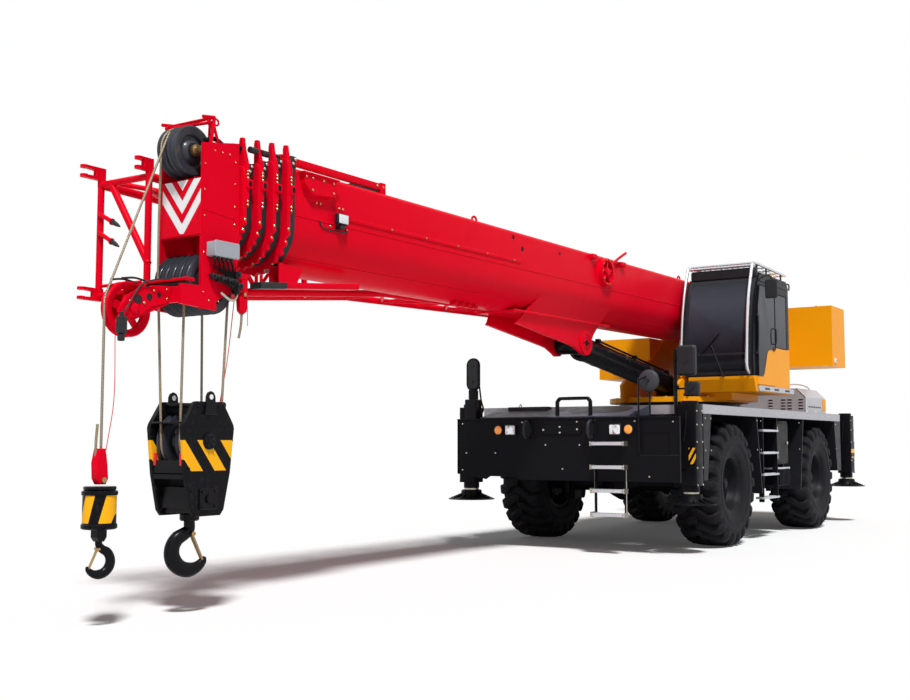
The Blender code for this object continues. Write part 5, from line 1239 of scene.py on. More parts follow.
class BoomOperator(bpy.types.Operator):
    """Make the boom's smooth sleeves with their collars, guides and pads, and what is welded to the base
    section."""

    bl_idname = "crane.boom"
    bl_label = "Boom sleeves"

    WIDTH, HEIGHT, STEP, WALL = 0.694, 0.837, 0.080, 0.012
    FRONT, PITCH, RISE = 9.000, 0.125, 0.045
    # From the base section inwards: where the sleeve starts, its body and its node.
    SLEEVES = ((-1.90, "boom", "boom_base"), (-1.24, "second_section", "boom_section_2"),
               (-1.12, "third_section", "boom_section_3"), (-1.00, "fourth_section", "boom_section_4"))
    MARKS = ["boom_red", "black_plastic_and_painted_shade", "brass", "zinc", "white_lens", "rubber_and_painted_shade"]

    def outline(self, index, grow=0.0):
        """The section of a sleeve, counted from the base section inwards, grown by a distance."""
        return boom_ring(self.WIDTH - index * self.STEP + 2 * grow,
                         self.HEIGHT - index * self.STEP + 2 * grow)

    def execute(self, context):
        bolt = context.scene.crane_sizes.bolt_radius
        for index, (start, body, node) in enumerate(self.SLEEVES):
            shape = Shape()
            front = self.FRONT + index * self.PITCH
            outer, inner = self.outline(index), self.outline(index, -self.WALL)
            stations = np.linspace(start, front - 0.03, 14)
            rings = [(start, inner), *((x, outer) for x in stations), (front - 0.03, inner)]
            boom_band(shape, rings)
            self.collar(shape, index, front, bolt)
            if index == 0:
                self.seams(shape, bolt)
                self.bracket(shape)
                self.tail(shape)
                self.fittings(shape, bolt)
            shape.make(node + "_dressed", body, self.MARKS, [node], 32)
        return {"FINISHED"}

    def collar(self, shape, index, front, bolt):
        """A red flange scalloped on its rounded half, a black ring behind it that is rubber pads and painted
        shade in the gap, a guide on the corner, pads and bolts."""
        throat = self.outline(index + 1, 0.008)
        around = np.arange(len(throat))
        lower = (around > 6) & (around < len(throat) - 7)
        wave = self.RISE + np.where(lower, 0.013 * np.cos((around - 7) * math.pi), 0.0)
        away = self.outline(index, 1.0) - self.outline(index)
        flange = self.outline(index) + away * wave[:, None]
        edge = self.outline(index) + away * (wave[:, None] - 0.004)
        boom_band(shape, [(front - 0.034, throat), (front - 0.034, edge), (front - 0.030, flange),
                          (front - 0.004, flange), (front, edge), (front, throat)])
        # The black ring behind the flange: partly rubber pads, partly painted shade in the gap between
        # collars.
        pad_and_shade_ring = self.outline(index, 0.028)
        boom_band(shape, [(front - 0.104, throat), (front - 0.104, pad_and_shade_ring), (front - 0.036, pad_and_shade_ring),
                          (front - 0.036, throat)], 1)
        half, tall = (self.WIDTH - index * self.STEP) / 2, (self.HEIGHT - index * self.STEP) / 2
        for side in (1, -1):
            outwards = facing(side)
            angle = np.radians([8, 24, 40, 56, 70])
            face = half + self.RISE - 0.006
            spots = on_boom(front - 0.016, side * face * np.cos(angle),
                            -0.15 * tall - (0.85 * tall + 0.03) * np.sin(angle))
            shape.bolts(spots, outwards, bolt * 0.95, 0.012, 2)
            top = 0.575
            guide = [(half - 0.030, tall - 0.02), (half - 0.030, top - 0.03), (half - 0.022, top),
                     (half + 0.006, top), (half + 0.014, top - 0.05), (half + 0.022, top - 0.10),
                     (half + 0.050, top - 0.20), (half + 0.056, 0.12), (half + 0.048, 0.02),
                     (half + 0.010, 0.0), (half + 0.002, tall - 0.10)]
            guide = np.array(guide) * (side, 1)
            if side > 0 or index == 0:
                boom_band(shape, [(front - 0.052, shrink(guide, 0.004)), (front - 0.048, guide),
                                  (front - 0.018, guide), (front - 0.014, shrink(guide, 0.004))], 0, False)
            spots = on_boom(front - 0.030, side * (half + 0.052), np.array([0.300, 0.275, 0.245, 0.06, 0.03]))
            shape.bolts(spots, outwards, bolt * 0.8, 0.012, 2)
            spots = on_boom(front - 0.014, side * (half + 0.030), np.array([0.300, 0.265]))
            shape.bolts(spots, "X", bolt * 0.8, 0.010, 2)
            boom_block(shape, (front - 0.118, side * (half - 0.06), tall - 0.020),
                       (front - 0.050, side * (half + 0.034), tall + 0.075), 0.008, 1)
            spots = on_boom(front - np.array([0.095, 0.072]), side * (half + 0.034),
                            np.array([tall + 0.05, tall + 0.01]))
            shape.bolts(spots, outwards, bolt, 0.010, 3)
            boom_block(shape, (front - 0.075, side * (half + 0.01), 0.165),
                       (front - 0.010, side * (half + 0.075), 0.235), 0.005, 0)
            boom_block(shape, (front - 0.060, side * (half + 0.05), 0.178),
                       (front - 0.022, side * (half + 0.078), 0.222), 0.004, 5)
        shape.tube(on_boom(np.linspace(front - 0.125, front - 0.045, 4), 0.285, 0.475), 0.026, 14, 1)

    def seams(self, shape, bolt):
        """Weld seams along the sides, a cable channel above one, and small bolts on it."""
        half = self.WIDTH / 2
        for side in (1, -1):
            for rise, start, end in ((0.020, -1.6, 8.90), (-0.315, -1.6, 8.90)):
                across = half if rise > 0 else half * math.cos(math.asin(min(1.0, (-rise - 0.063) / 0.356)))
                path = on_boom(np.linspace(start, end, 30), side * (across + 0.001), rise)
                shape.tube(path, 0.0045, 6, 0)
            boom_block(shape, (5.20, side * (half - 0.002), 0.075), (8.20, side * (half + 0.011), 0.108),
                       0.004, 0)
            spots = on_boom(np.arange(5.35, 8.1, 0.55), side * (half + 0.010), 0.092)
            shape.bolts(spots, facing(side), bolt * 0.7, 0.008, 2)

    def bracket(self, shape):
        """The lift cylinder's bracket plates: upright at the eye and leaning outwards above the fold."""
        share = np.linspace(0, 1, 26)[:, None]
        low = np.array([(3.25, 2.500), (3.30, 2.400), (3.39, 2.350), (3.50, 2.372), (3.69, 2.440),
                        (5.05, 2.600)])
        low_x = np.interp(share, np.linspace(0, 1, 6) ** 1.6, low[:, 0])
        low_z = np.interp(share, np.linspace(0, 1, 6) ** 1.6, low[:, 1])
        high_x = 2.94 + share * 1.73
        level = np.linspace(0, 1, 12)[None, :]
        x = low_x + (high_x - low_x) * level
        z = low_z + (2.96 - low_z) * level
        out = 0.165 + 0.35 * np.maximum(z - 2.63, 0.0)
        for side in (1, -1):
            inner = np.stack([x, side * out, z], -1)
            outer = np.stack([x, side * (out + 0.040), z], -1)
            shape.skin(np.concatenate([inner, outer[:, ::-1]], 1))
            rim = [(0.105, side * 0.166), (0.150, side * 0.166), (0.150, side * 0.222), (0.105, side * 0.222)]
            shape.lathe(rim, (3.39, 0.0, 2.500), "Y", 36, 0, closed=True)
            cap = [(0.0, side * 0.168), (0.104, side * 0.168), (0.104, side * 0.214), (0.096, side * 0.218),
                   (0.0, side * 0.218)]
            shape.lathe(cap, (3.39, 0.0, 2.500), "Y", 32, 0)
            pin = [(0.0, side * 0.216), (0.034, side * 0.216), (0.034, side * 0.228), (0.0, side * 0.228)]
            shape.lathe(pin, (3.39, 0.0, 2.500), "Y", 24, 5)
            shape.bolts(turn_to("Y", circle((3.39, 2.500), 0.068, 4), side * 0.217), facing(side), 0.010,
                        0.008, 5)
        # The cross plate between the two, and the belly plate that they stand on.
        shape.block((3.80, -0.19, 2.56), (3.83, 0.19, 2.78), 0.003)
        boom_block(shape, (2.80, -0.25, -0.432), (5.15, 0.25, -0.405), 0.006)

    def tail(self, shape):
        """The tail's lugs, its pivot bosses with their pin caps, and the end ring."""
        lug = [(-1.85, 2.95), (-1.55, 2.86), (-1.40, 2.81), (-1.25, 2.86), (-0.85, 2.95), (-0.85, 3.10),
               (-1.85, 3.10)]
        for side in (1, -1):
            low, high = sorted((side * 0.260, side * 0.320))
            shape.slab(lug, "Y", low, high, 0.006)
            boss = [(0.071, side * 0.26), (0.130, side * 0.26), (0.130, side * 0.394), (0.124, side * 0.399),
                    (0.071, side * 0.399)]
            shape.lathe(boss, PIVOT, "Y", 36, 0, closed=True)
        ring, edge = self.outline(0, 0.02), self.outline(0, -self.WALL)
        boom_band(shape, [(-1.90, edge), (-1.90, ring), (-1.84, ring), (-1.84, edge)])

    def fittings(self, shape, bolt):
        """The top rail, side box, lamp, clips, openings of painted shade, hose reel with its crank, and the
        tray under the front."""
        half, tall = self.WIDTH / 2, self.HEIGHT / 2
        # Top rail: a bar with a post at each end and a black plate under its rear.
        boom_block(shape, (7.60, 0.250, tall + 0.030), (8.985, 0.300, tall + 0.092), 0.006)
        boom_block(shape, (7.575, 0.235, tall - 0.005), (7.650, 0.310, tall + 0.100), 0.005)
        boom_block(shape, (8.800, 0.245, tall - 0.005), (8.850, 0.305, tall + 0.040), 0.005)
        boom_block(shape, (7.640, 0.060, tall + 0.002), (8.060, 0.290, tall + 0.022), 0.005, 1)
        shape.bolts(on_boom(np.array([7.612, 7.70, 8.90, 8.955]), 0.299, tall + 0.062), "Y", bolt, 0.012, 2)
        # Side box with its sloped underside and small bolts.
        box = [(8.390, 0.235), (8.390, 0.370), (8.420, 0.385), (8.800, 0.385), (8.800, 0.300), (8.700, 0.215)]
        grid = [on_boom(np.array(box)[:, 0], y, np.array(box)[:, 1]) for y in (half - 0.004, half + 0.050)]
        shape.skin(np.stack(grid))
        for x, rise in ((8.43, 0.350), (8.56, 0.350), (8.70, 0.350), (8.78, 0.350), (8.43, 0.265),
                        (8.70, 0.250)):
            shape.bolts(on_boom(x, half + 0.049, rise)[None], "Y", bolt * 0.8, 0.009, 2)
        boom_block(shape, (8.36, half - 0.004, 0.378), (8.83, half + 0.068, 0.390), 0.004)
        for x in (8.60, 8.30):
            spots = on_boom(np.array([x, x - 0.05]), half + 0.001, 0.165)
            shape.bolts(spots, "Y", bolt * 0.8, 0.010, 2)
        # The square work lamp in its black frame and bracket.
        boom_block(shape, (8.242, half + 0.018, 0.018), (8.382, half + 0.066, 0.112), 0.010, 1)
        boom_block(shape, (8.252, half + 0.062, 0.027), (8.372, half + 0.072, 0.103), 0.005, 4)
        boom_block(shape, (8.285, half - 0.002, -0.020), (8.345, half + 0.060, 0.012), 0.004, 1)
        shape.bolts(on_boom(np.array([8.20, 8.42]), half, -0.005), "Y", bolt * 0.8, 0.012, 2)
        path = on_boom(np.array([8.21, 8.21, 8.50, 8.56]), half + 0.006, np.array([0.0, -0.03, -0.035, 0.02]))
        shape.tube(smooth_path(path, 16), 0.006, 8, 1)
        # Clips under the boom, openings in its side as black patches of painted shade, and lifting eyes on
        # its top.
        for x in (6.13, 6.00, 5.87, 5.74):
            boom_block(shape, (x - 0.02, 0.05, -tall - 0.030), (x + 0.02, 0.13, -tall + 0.010), 0.004)
        # Openings: thin black patches of painted shade on the side plate.
        for x, rise, size in ((5.156, 0.240, 0.024), (5.348, 0.343, 0.020), (4.30, 0.30, 0.016)):
            boom_block(shape, (x - size, half - 0.003, rise - size), (x + size, half + 0.0025, rise + size),
                       0.002, 5)
        for x in (0.4, 5.9):
            eye = circle((0.0, 0.0), 0.045, 20)
            ring = on_boom(x + eye[:, 0], 0.20, tall + 0.030 + eye[:, 1])
            shape.tube(np.concatenate([ring, ring[:1]]), 0.012, 8)
        self.reel(shape, half, bolt)
        self.tray(shape, tall)

    def reel(self, shape, half, bolt):
        """A red spoked reel on the side with dark gaps, and the crank rod that runs up from it."""
        centre = on_boom(3.150, 0.0, 0.215)
        rings = [(0.150, half - 0.004), (0.172, half), (0.172, half + 0.060), (0.150, half + 0.066),
                 (0.136, half + 0.060), (0.136, half)]
        shape.lathe(rings, centre, "Y", 44, 0, closed=True)
        shape.disc(0.137, half - 0.004, half + 0.014, centre, "Y", 40, 5)
        shape.lathe([(0.0, half), (0.052, half), (0.052, half + 0.062), (0.040, half + 0.074),
                     (0.0, half + 0.074)], centre, "Y", 28)
        for angle in np.radians([20, 92, 164, 236, 308]):
            c, s = math.cos(angle), math.sin(angle)
            flat = [(0.045, -0.017), (0.142, -0.013), (0.142, 0.013), (0.045, 0.017)]
            outline = [(centre[0] + a * c - b * s, centre[2] + a * s + b * c) for a, b in flat]
            shape.slab(outline, "Y", half + 0.010, half + 0.050, 0.003)
        shape.bolts(turn_to("Y", circle((centre[0], centre[2]), 0.154, 10), half + 0.064), "Y", bolt * 0.6,
                    0.008, 2)
        path = smooth_path([(3.03, half + 0.03, 3.48), (2.80, half + 0.03, 3.60), (2.58, half + 0.03, 3.70)],
                           10)
        shape.tube(path, 0.017, 10)
        for x in (2.70, 3.52):
            boom_block(shape, (x - 0.10, half - 0.004, 0.345), (x + 0.02, half + 0.048, 0.400), 0.006)

    def tray(self, shape, tall):
        """The black-ended hose tray that hangs from two plates under the collar and rises to the rear."""
        path = np.linspace((9.200, 0.240, 2.530), (7.950, 0.240, 2.660), 9)
        ring = rounded((-0.060, -0.026), (0.060, 0.026), 0.010, 3)
        for part, mark in ((path[:3], 1), (path[2:], 0)):
            shape.skin(np.stack([point + turn_to("X", ring, 0.0) for point in part]), mark)
        for y in (0.185, 0.290):
            plate = [(8.985, 2.740), (8.985, 2.550), (8.780, 2.565), (8.700, 2.720)]
            shape.slab(plate, "Y", y - 0.006, y + 0.006, 0.002)


class LiftCylinderOperator(bpy.types.Operator):
    """Make the lift cylinder's barrel with its rings, ports and pipe, and the polished rod with its eye."""

    bl_idname = "crane.lift_cylinder"
    bl_label = "Lift cylinder"

    EYE = (3.390, 2.500)

    def spun(self, shape, profile, count=40, mark=0, closed=False):
        """A profile of (radius, distance from the foot pin) turned about the cylinder's own line."""
        profile = np.asarray(profile, float)
        ahead = np.array([self.EYE[0] - FOOT_PIN[0], 0.0, self.EYE[1] - FOOT_PIN[2]])
        ahead /= np.linalg.norm(ahead)
        side = np.array([0.0, 1.0, 0.0])
        up = np.cross(ahead, side)
        angle = np.linspace(0, 2 * math.pi, count, endpoint=False)[None, :, None]
        radius, place = profile.T[:, :, None, None]
        grid = FOOT_PIN + ahead * place + radius * (side * np.cos(angle) + up * np.sin(angle))
        shape.skin(grid, mark, closed, True, not closed)

    def execute(self, context):
        length = math.hypot(self.EYE[0] - FOOT_PIN[0], self.EYE[1] - FOOT_PIN[2])
        end = length - 0.25
        shape = Shape()
        self.spun(shape, [(0.104, 0.22), (0.104, end), (0.128, end), (0.142, end - 0.010),
                          (0.158, end - 0.012), (0.160, end - 0.020), (0.160, end - 0.085),
                          (0.150, end - 0.095), (0.150, 0.34), (0.156, 0.33), (0.156, 0.24), (0.140, 0.17),
                          (0.090, 0.12), (0.0, 0.12), (0.0, 0.22)], 48)
        for place in (0.95, 1.75, 2.45):
            self.spun(shape, [(0.149, place), (0.154, place + 0.003), (0.154, place + 0.037),
                              (0.149, place + 0.04)], 40, 0, True)
        shape.lathe([(0.071, -0.160), (0.126, -0.160), (0.130, -0.155), (0.130, 0.155), (0.126, 0.160),
                     (0.071, 0.160)], FOOT_PIN, "Y", 36, 0, closed=True)
        shape.disc(0.070, -0.162, 0.162, FOOT_PIN, "Y", 28, 1)
        low, high = np.array([0.55, 0.060, 2.30]), np.array([2.75, 0.060, 2.580])
        shape.tube(np.linspace(low, high, 12), 0.014, 10, 0)
        for point in (low, high, (low + high) / 2):
            shape.block(point - (0.035, 0.028, 0.028), point + (0.035, 0.028, 0.024), 0.006, 0)
        shape.make("lift_cylinder_barrel_dressed", "cylinder_barrel", ["hook_black", "zinc"],
                   ["lift_cylinder_barrel"], 35)
        shape = Shape()
        self.spun(shape, [(0.0, 0.26), (0.096, 0.26), (0.100, 0.27), (0.100, length - 0.14),
                          (0.0, length - 0.14)], 48)
        self.spun(shape, [(0.0, length - 0.150), (0.102, length - 0.150), (0.112, length - 0.130),
                          (0.112, length - 0.06), (0.0, length - 0.06)], 40, 1)
        eye = (self.EYE[0], 0.0, self.EYE[1])
        shape.lathe([(0.071, -0.160), (0.126, -0.160), (0.130, -0.154), (0.130, 0.154), (0.126, 0.160),
                     (0.071, 0.160)], eye, "Y", 36, 1, closed=True)
        shape.disc(0.070, -0.1605, 0.1605, eye, "Y", 28, 2)
        shape.make("lift_cylinder_rod_dressed", "cylinder_rod", ["chrome", "hook_black", "zinc"],
                   ["lift_cylinder_rod"], 35)
        return {"FINISHED"}


class WinchesOperator(bpy.types.Operator):
    """Make the two winch drums with their wound rope, flanges, motors and base frame."""

    bl_idname = "crane.winches"
    bl_label = "Winches"

    def execute(self, context):
        rope = context.scene.crane_sizes.rope_radius
        shape = Shape()
        shape.block((-2.98, -0.36, 2.602), (-2.30, 0.36, 2.640), 0.004)
        for x in (-2.80, -2.48):
            for y in (-0.29, 0.29):
                shape.lathe([(0.0, y - 0.015), (0.146, y - 0.015), (0.150, y - 0.010), (0.150, y + 0.010),
                             (0.146, y + 0.015), (0.0, y + 0.015)], (x, 0.0, 2.80), "Y", 40)
            # The wound rope: the drum's radius plus the rope's own half circles, side by side.
            across = np.linspace(-0.272, 0.272, 163)
            bead = 0.104 + rope * np.sqrt(np.maximum(0.0, 1.0 - ((across / rope / 2) % 1.0 * 2 - 1) ** 2))
            profile = [(0.0, -0.272), *zip(bead, across), (0.0, 0.272)]
            shape.lathe(profile, (x, 0.0, 2.80), "Y", 32, 1)
            for low, high in ((0.305, 0.345), (-0.345, -0.305)):
                foot = [(x - 0.070, 2.62), (x - 0.040, 2.86), (x + 0.040, 2.86), (x + 0.070, 2.62)]
                shape.slab(foot, "Y", low, high, 0.004)
            shape.lathe([(0.0, -0.40), (0.055, -0.40), (0.065, -0.39), (0.065, -0.34), (0.0, -0.34)],
                        (x, 0.0, 2.80), "Y", 24)
        shape.make("winches_dressed", "house", ["hook_black", "rope"], ["winches"], 30)
        return {"FINISHED"}


class JibOperator(bpy.types.Operator):
    """Make the stowed lattice jib of round tubes: four chords, end frames, lacing, forks, pins and
    hangers."""

    bl_idname = "crane.jib"
    bl_label = "Stowed jib"

    # Frames of the lattice: x, near y, far y, low z, high z.
    FRAMES = ((9.70, -0.45, -1.02, 2.48, 3.40), (6.60, -0.45, -0.94, 2.80, 3.30),
              (1.80, -0.45, -0.84, 2.92, 3.22))
    BAYS = 13

    def frame(self, x):
        """The lattice's four corners at x, read between the frames."""
        rows = np.array(self.FRAMES)[::-1]
        near, far, low, high = (np.interp(x, rows[:, 0], rows[:, k]) for k in (1, 2, 3, 4))
        return np.array([(x, near, low), (x, far, low), (x, far, high), (x, near, high)])

    def execute(self, context):
        radius = context.scene.crane_sizes.jib_radius
        bolt = context.scene.crane_sizes.bolt_radius
        shape = Shape()
        stations = np.concatenate([np.linspace(9.70, 6.60, 6), np.linspace(6.60, 1.80, self.BAYS - 4)[1:]])
        rings = np.array([self.frame(x) for x in stations])
        for corner in range(4):
            shape.tube(rings[:, corner], radius, 12)
        for number, ring in enumerate(rings):
            size = 0.028 if number in (0, 5, len(rings) - 1) else 0.016
            for corner in range(4):
                shape.tube(np.linspace(ring[corner], ring[(corner + 1) % 4], 4), size, 10)
        for number in range(1, len(rings) - 1):
            for corner in range(4):
                ends = (corner, (corner + 1) % 4) if number % 2 else ((corner + 1) % 4, corner)
                shape.tube(np.linspace(rings[number, ends[0]], rings[number + 1, ends[1]], 5), 0.017, 8)
        self.root(shape, rings[0], bolt)
        for x in (8.2, 2.6):
            boom_block(shape, (x - 0.05, -0.46, -0.02), (x + 0.05, -0.3473, 0.06), 0.004)
            boom_block(shape, (x - 0.03, -0.475, -0.42), (x + 0.03, -0.425, 0.12), 0.004)
            shape.bolts(on_boom(np.array([x - 0.03, x + 0.03]), -0.400, 0.061), "Z", bolt, 0.012, 2)
        shape.make("jib_dressed", "boom", ["boom_red", "black_plastic_and_painted_shade", "zinc"], ["jib"], 40)
        return {"FINISHED"}

    def root(self, shape, ring, bolt):
        """The root frame's forks, its braces and the two stowed pins with black tips."""
        for corner, x_end, z in ((0, 9.895, 2.490), (1, 9.895, 2.490), (2, 9.895, 3.485), (3, 9.830, 3.490)):
            y = ring[corner][1]
            fork = [(9.67, z - 0.052), (x_end - 0.03, z - 0.052), (x_end, z - 0.045), (x_end, z - 0.030),
                    (9.765, z - 0.022), (9.765, z + 0.022), (x_end, z + 0.030), (x_end, z + 0.045),
                    (x_end - 0.03, z + 0.052), (9.67, z + 0.052)]
            shape.slab(fork, "Y", y - 0.024, y + 0.024, 0.003)
            for lift in (-0.0375, 0.0375):
                eye = [(0.012, z + lift - 0.012), (0.032, z + lift - 0.012), (0.032, z + lift + 0.012),
                       (0.012, z + lift + 0.012)]
                shape.lathe(eye, (x_end - 0.020, y, 0.0), "Z", 20, 0, closed=True)
        for corner in (2, 3):
            y = ring[corner][1]
            shape.tube(np.linspace((9.70, y, 3.38), (9.70, y, 3.50), 4), 0.030, 12)
        shape.tube(np.linspace((9.70, -0.900, 3.400), (9.70, -0.440, 2.700), 5), 0.030, 12)
        shape.tube(np.linspace((9.70, -0.860, 3.400), (9.40, -0.500, 3.320), 5), 0.022, 10)
        shape.tube(np.linspace((9.68, -0.470, 3.300), (8.90, -0.980, 3.330), 5), 0.022, 10)
        shape.tube(np.linspace((9.70, -1.000, 2.560), (9.70, -0.520, 2.560), 5), 0.014, 10)
        for start, end in (((9.73, -1.004, 3.157), (9.73, -0.744, 3.022)),
                           ((9.73, -0.998, 2.999), (9.73, -0.751, 2.860))):
            path = np.linspace(start, end, 9)
            shape.tube(path[:6], [0.018] * 5 + [0.020], 12)
            shape.tube(path[5:], [0.020, 0.020, 0.016, 0.006], 12, 1)
            shape.tube(np.linspace(path[5] + (0, -0.004, 0), path[5] + (0, 0.006, -0.003), 3), 0.028, 14)
        shape.tube(np.linspace((9.715, -0.985, 3.19), (9.715, -0.985, 2.96), 3), 0.010, 8)


class CabOperator(bpy.types.Operator):
    """Make the cab's glass, seals, guard tubes, roof grid, mirror, beacon, handles, step strip and door
    trim."""

    bl_idname = "crane.cab"
    bl_label = "Cab"

    # The cab's front seen from its side: x and z, from the lower band to the roof.
    FRONT = ((0.872, 2.212), (0.896, 2.400), (0.886, 2.660), (0.860, 2.900), (0.818, 3.110), (0.760, 3.300),
             (0.690, 3.430), (0.600, 3.560))

    def execute(self, context):
        tube = context.scene.crane_sizes.guard_radius
        self.screen()
        self.guard(tube)
        self.side()
        self.details()
        self.inside()
        return {"FINISHED"}

    def pane(self, shape, low_y, high_y, out, thick, mark, start=0.0, end=1.0):
        """A band of the windscreen: the front's curve moved out along its normal, between two sides."""
        path = smooth_path(self.FRONT, 60)
        path = path[int(start * 59):int(end * 59) + 1]
        ahead = np.gradient(path, axis=0)
        ahead /= np.linalg.norm(ahead, axis=1, keepdims=True)
        normal = np.stack([ahead[:, 1], -ahead[:, 0]], -1)
        near, far = path + normal * (out + thick), path + normal * out
        ring = np.stack([turn_to("Y", near, low_y), turn_to("Y", near, high_y), turn_to("Y", far, high_y),
                         turn_to("Y", far, low_y)], 1)
        shape.skin(ring, mark)

    def screen(self):
        """The windscreen: its glass, dark bands, rubber edges and wiper, all bands of the front's curve."""
        shape = Shape()
        self.pane(shape, 0.470, 1.419, 0.004, 0.006, 0)
        for low, high in ((0.462, 0.520), (1.373, 1.423)):
            self.pane(shape, low, high, 0.009, 0.004, 1)
        for start, end in ((0.0, 0.035), (0.20, 0.215), (0.92, 1.0)):
            self.pane(shape, 0.462, 1.423, 0.009, 0.003, 1, start, end)
        for low, high in ((0.456, 0.470), (1.419, 1.429)):
            self.pane(shape, low, high, 0.0, 0.016, 2)
        # The wiper: an arm and a blade that lie on the lower glass.
        shape.tube(np.linspace((0.905, 1.02, 2.20), (0.908, 0.86, 2.62), 6), 0.008, 8, 1)
        shape.tube(np.linspace((0.912, 0.72, 2.50), (0.905, 0.98, 2.78), 6), 0.007, 6, 2)
        shape.disc(0.022, 0.89, 0.915, (0.0, 1.02, 2.20), "X", 16, 1)
        shape.make("windscreen_dressed", "house", ["glass", "black_plastic_and_painted_shade", "rubber_and_painted_shade"], ["cab_windscreen"],
                   40)

    def guard(self, tube):
        """Bright tubes down both sides of the windscreen and the grid over the roof."""
        shape = Shape()
        path = smooth_path([(-0.75, 0.0, 3.735), (0.20, 0.0, 3.752), (0.55, 0.0, 3.756), (0.665, 0.0, 3.735),
                            (0.720, 0.0, 3.640), (0.850, 0.0, 3.300), (0.940, 0.0, 2.90), (0.985, 0.0, 2.45),
                            (0.980, 0.0, 2.29), (0.890, 0.0, 2.225)], 70)
        for y in (0.455, 1.380):
            shape.tube(path + (0.0, y, 0.0), tube, 14)
            for x, z in ((0.920, 3.02), (0.970, 2.52)):
                shape.tube(np.linspace((x, y, z), (x - 0.080, y, z), 3), 0.010, 8)
        for x, z in ((-0.75, 3.735), (-0.48, 3.740), (-0.20, 3.745), (0.08, 3.750), (0.34, 3.754),
                     (0.62, 3.752), (0.68, 3.712)):
            shape.tube(np.linspace((x, 0.455, z), (x, 1.380, z), 4), 0.012 if x < 0.6 else 0.016, 10)
        for y in np.linspace(0.55, 1.29, 10):
            shape.tube(np.linspace((-0.75, y, 3.735), (0.62, y, 3.752), 4), 0.006, 8)
        for x in (-0.55, 0.10, 0.50):
            for y in (0.560, 1.380):
                shape.tube(np.linspace((x, y, 3.620), (x, y, 3.745), 3), 0.013, 10, 1)
                shape.disc(0.034, 3.619, 3.628, (x, y, 0.0), "Z", 16, 1)
        shape.block((0.560, 0.475, 3.555), (0.640, 1.420, 3.690), 0.020, 1, "Y", 0.02)
        # The perforated visor strip along the roof's front edge.
        for y in np.linspace(0.500, 1.340, 18):
            shape.block((0.652, y - 0.018, 3.690), (0.664, y + 0.018, 3.735), 0.003, 0, "X")
        shape.make("cab_guard_dressed", "house", ["bright_tube", "black_plastic_and_painted_shade"], ["cab_guard"],
                   40)

    def side(self):
        """The glass panes of the left, right, rear and roof openings with their rubber seals."""
        shape = Shape()
        left = [(-0.578, 2.622), (-0.578, 3.398), (-0.012, 3.398), (-0.012, 2.622)]
        shape.slab(left, "Y", 1.4300, 1.4360, 0.001)
        right = [(-0.560, 2.560), (-0.560, 3.440), (0.560, 3.440), (0.680, 3.300), (0.680, 2.560)]
        shape.slab(right, "Y", 0.5065, 0.5125, 0.001)
        shape.block((-0.6905, 0.600, 2.660), (-0.6845, 1.350, 3.460), 0.001, 0, "X", 0.05)
        shape.block((-0.340, 0.640, 3.6205), (0.440, 1.310, 3.6265), 0.001, 0, "Z", 0.05)
        for low, high in (((-0.578, 2.622), (-0.566, 3.398)), ((-0.578, 2.622), (-0.012, 2.634)),
                          ((-0.578, 3.386), (-0.012, 3.398))):
            shape.block((low[0], 1.4340, low[1]), (high[0], 1.4385, high[1]), 0.001, 1, "Y")
        shape.make("cab_side_glass", "house", ["glass", "rubber_and_painted_shade"], (), 40)
        shape = Shape()
        pane = [(0.022, 2.585), (0.022, 3.438), (0.659, 3.438), (0.757, 3.120), (0.757, 2.190),
                (0.560, 2.190), (0.520, 2.340), (0.420, 2.500), (0.280, 2.570)]
        shape.slab(pane, "Y", 1.4612, 1.4652, 0.001)
        for start, end in (((0.022, 3.438), (0.659, 3.438)), ((0.659, 3.438), (0.757, 3.120)),
                           ((0.757, 3.120), (0.757, 2.190)), ((0.022, 2.585), (0.022, 3.438))):
            path = np.linspace((start[0], 1.466, start[1]), (end[0], 1.466, end[1]), 4)
            shape.tube(path, 0.007, 8, 1)
        handle = smooth_path([(0.090, 1.466, 2.66), (0.090, 1.500, 2.68), (0.090, 1.500, 2.86),
                              (0.090, 1.466, 2.88)], 16)
        shape.tube(handle, 0.009, 10, 2)
        shape.block((0.060, 1.4612, 2.560), (0.120, 1.4740, 2.620), 0.004, 2, "Y", 0.012)
        shape.make("cab_door_trim", "door", ["glass", "rubber_and_painted_shade", "black_plastic_and_painted_shade"], (), 40)

    def details(self):
        """The roof's dark rim and rear, the amber beacon, the mirror, the grab bars and the slotted
        silver strip."""
        shape = Shape()
        shape.lathe([(0.0, 3.621), (0.058, 3.621), (0.058, 3.640), (0.050, 3.648), (0.0, 3.648)],
                    (-0.453, 1.290, 0.0), "Z", 28)
        quarter = np.linspace(0, math.pi / 2, 8)
        dome = [(0.046 * math.cos(a), 3.648 + 0.020 + 0.055 * math.sin(a)) for a in quarter]
        shape.lathe([(0.0, 3.648), (0.046, 3.648), *dome[:-1], (0.0, 3.723)], (-0.453, 1.290, 0.0), "Z", 28,
                    1)
        arm = smooth_path([(0.62, 1.42, 3.500), (0.60, 1.52, 3.560), (0.585, 1.600, 3.550),
                           (0.577, 1.605, 3.50)], 16)
        shape.tube(arm, 0.011, 10)
        shape.block((0.560, 1.520, 3.250), (0.600, 1.690, 3.512), 0.012, 0, "X", 0.028, 5)
        shape.block((0.5585, 1.534, 3.266), (0.5605, 1.676, 3.496), 0.0005, 3, "X", 0.020, 5)
        rail = [(-0.870, 1.40, 3.53), (-0.870, 1.40, 3.61), (-0.76, 1.40, 3.61), (-0.685, 1.40, 3.58)]
        shape.tube(smooth_path(rail, 12), 0.012, 8)
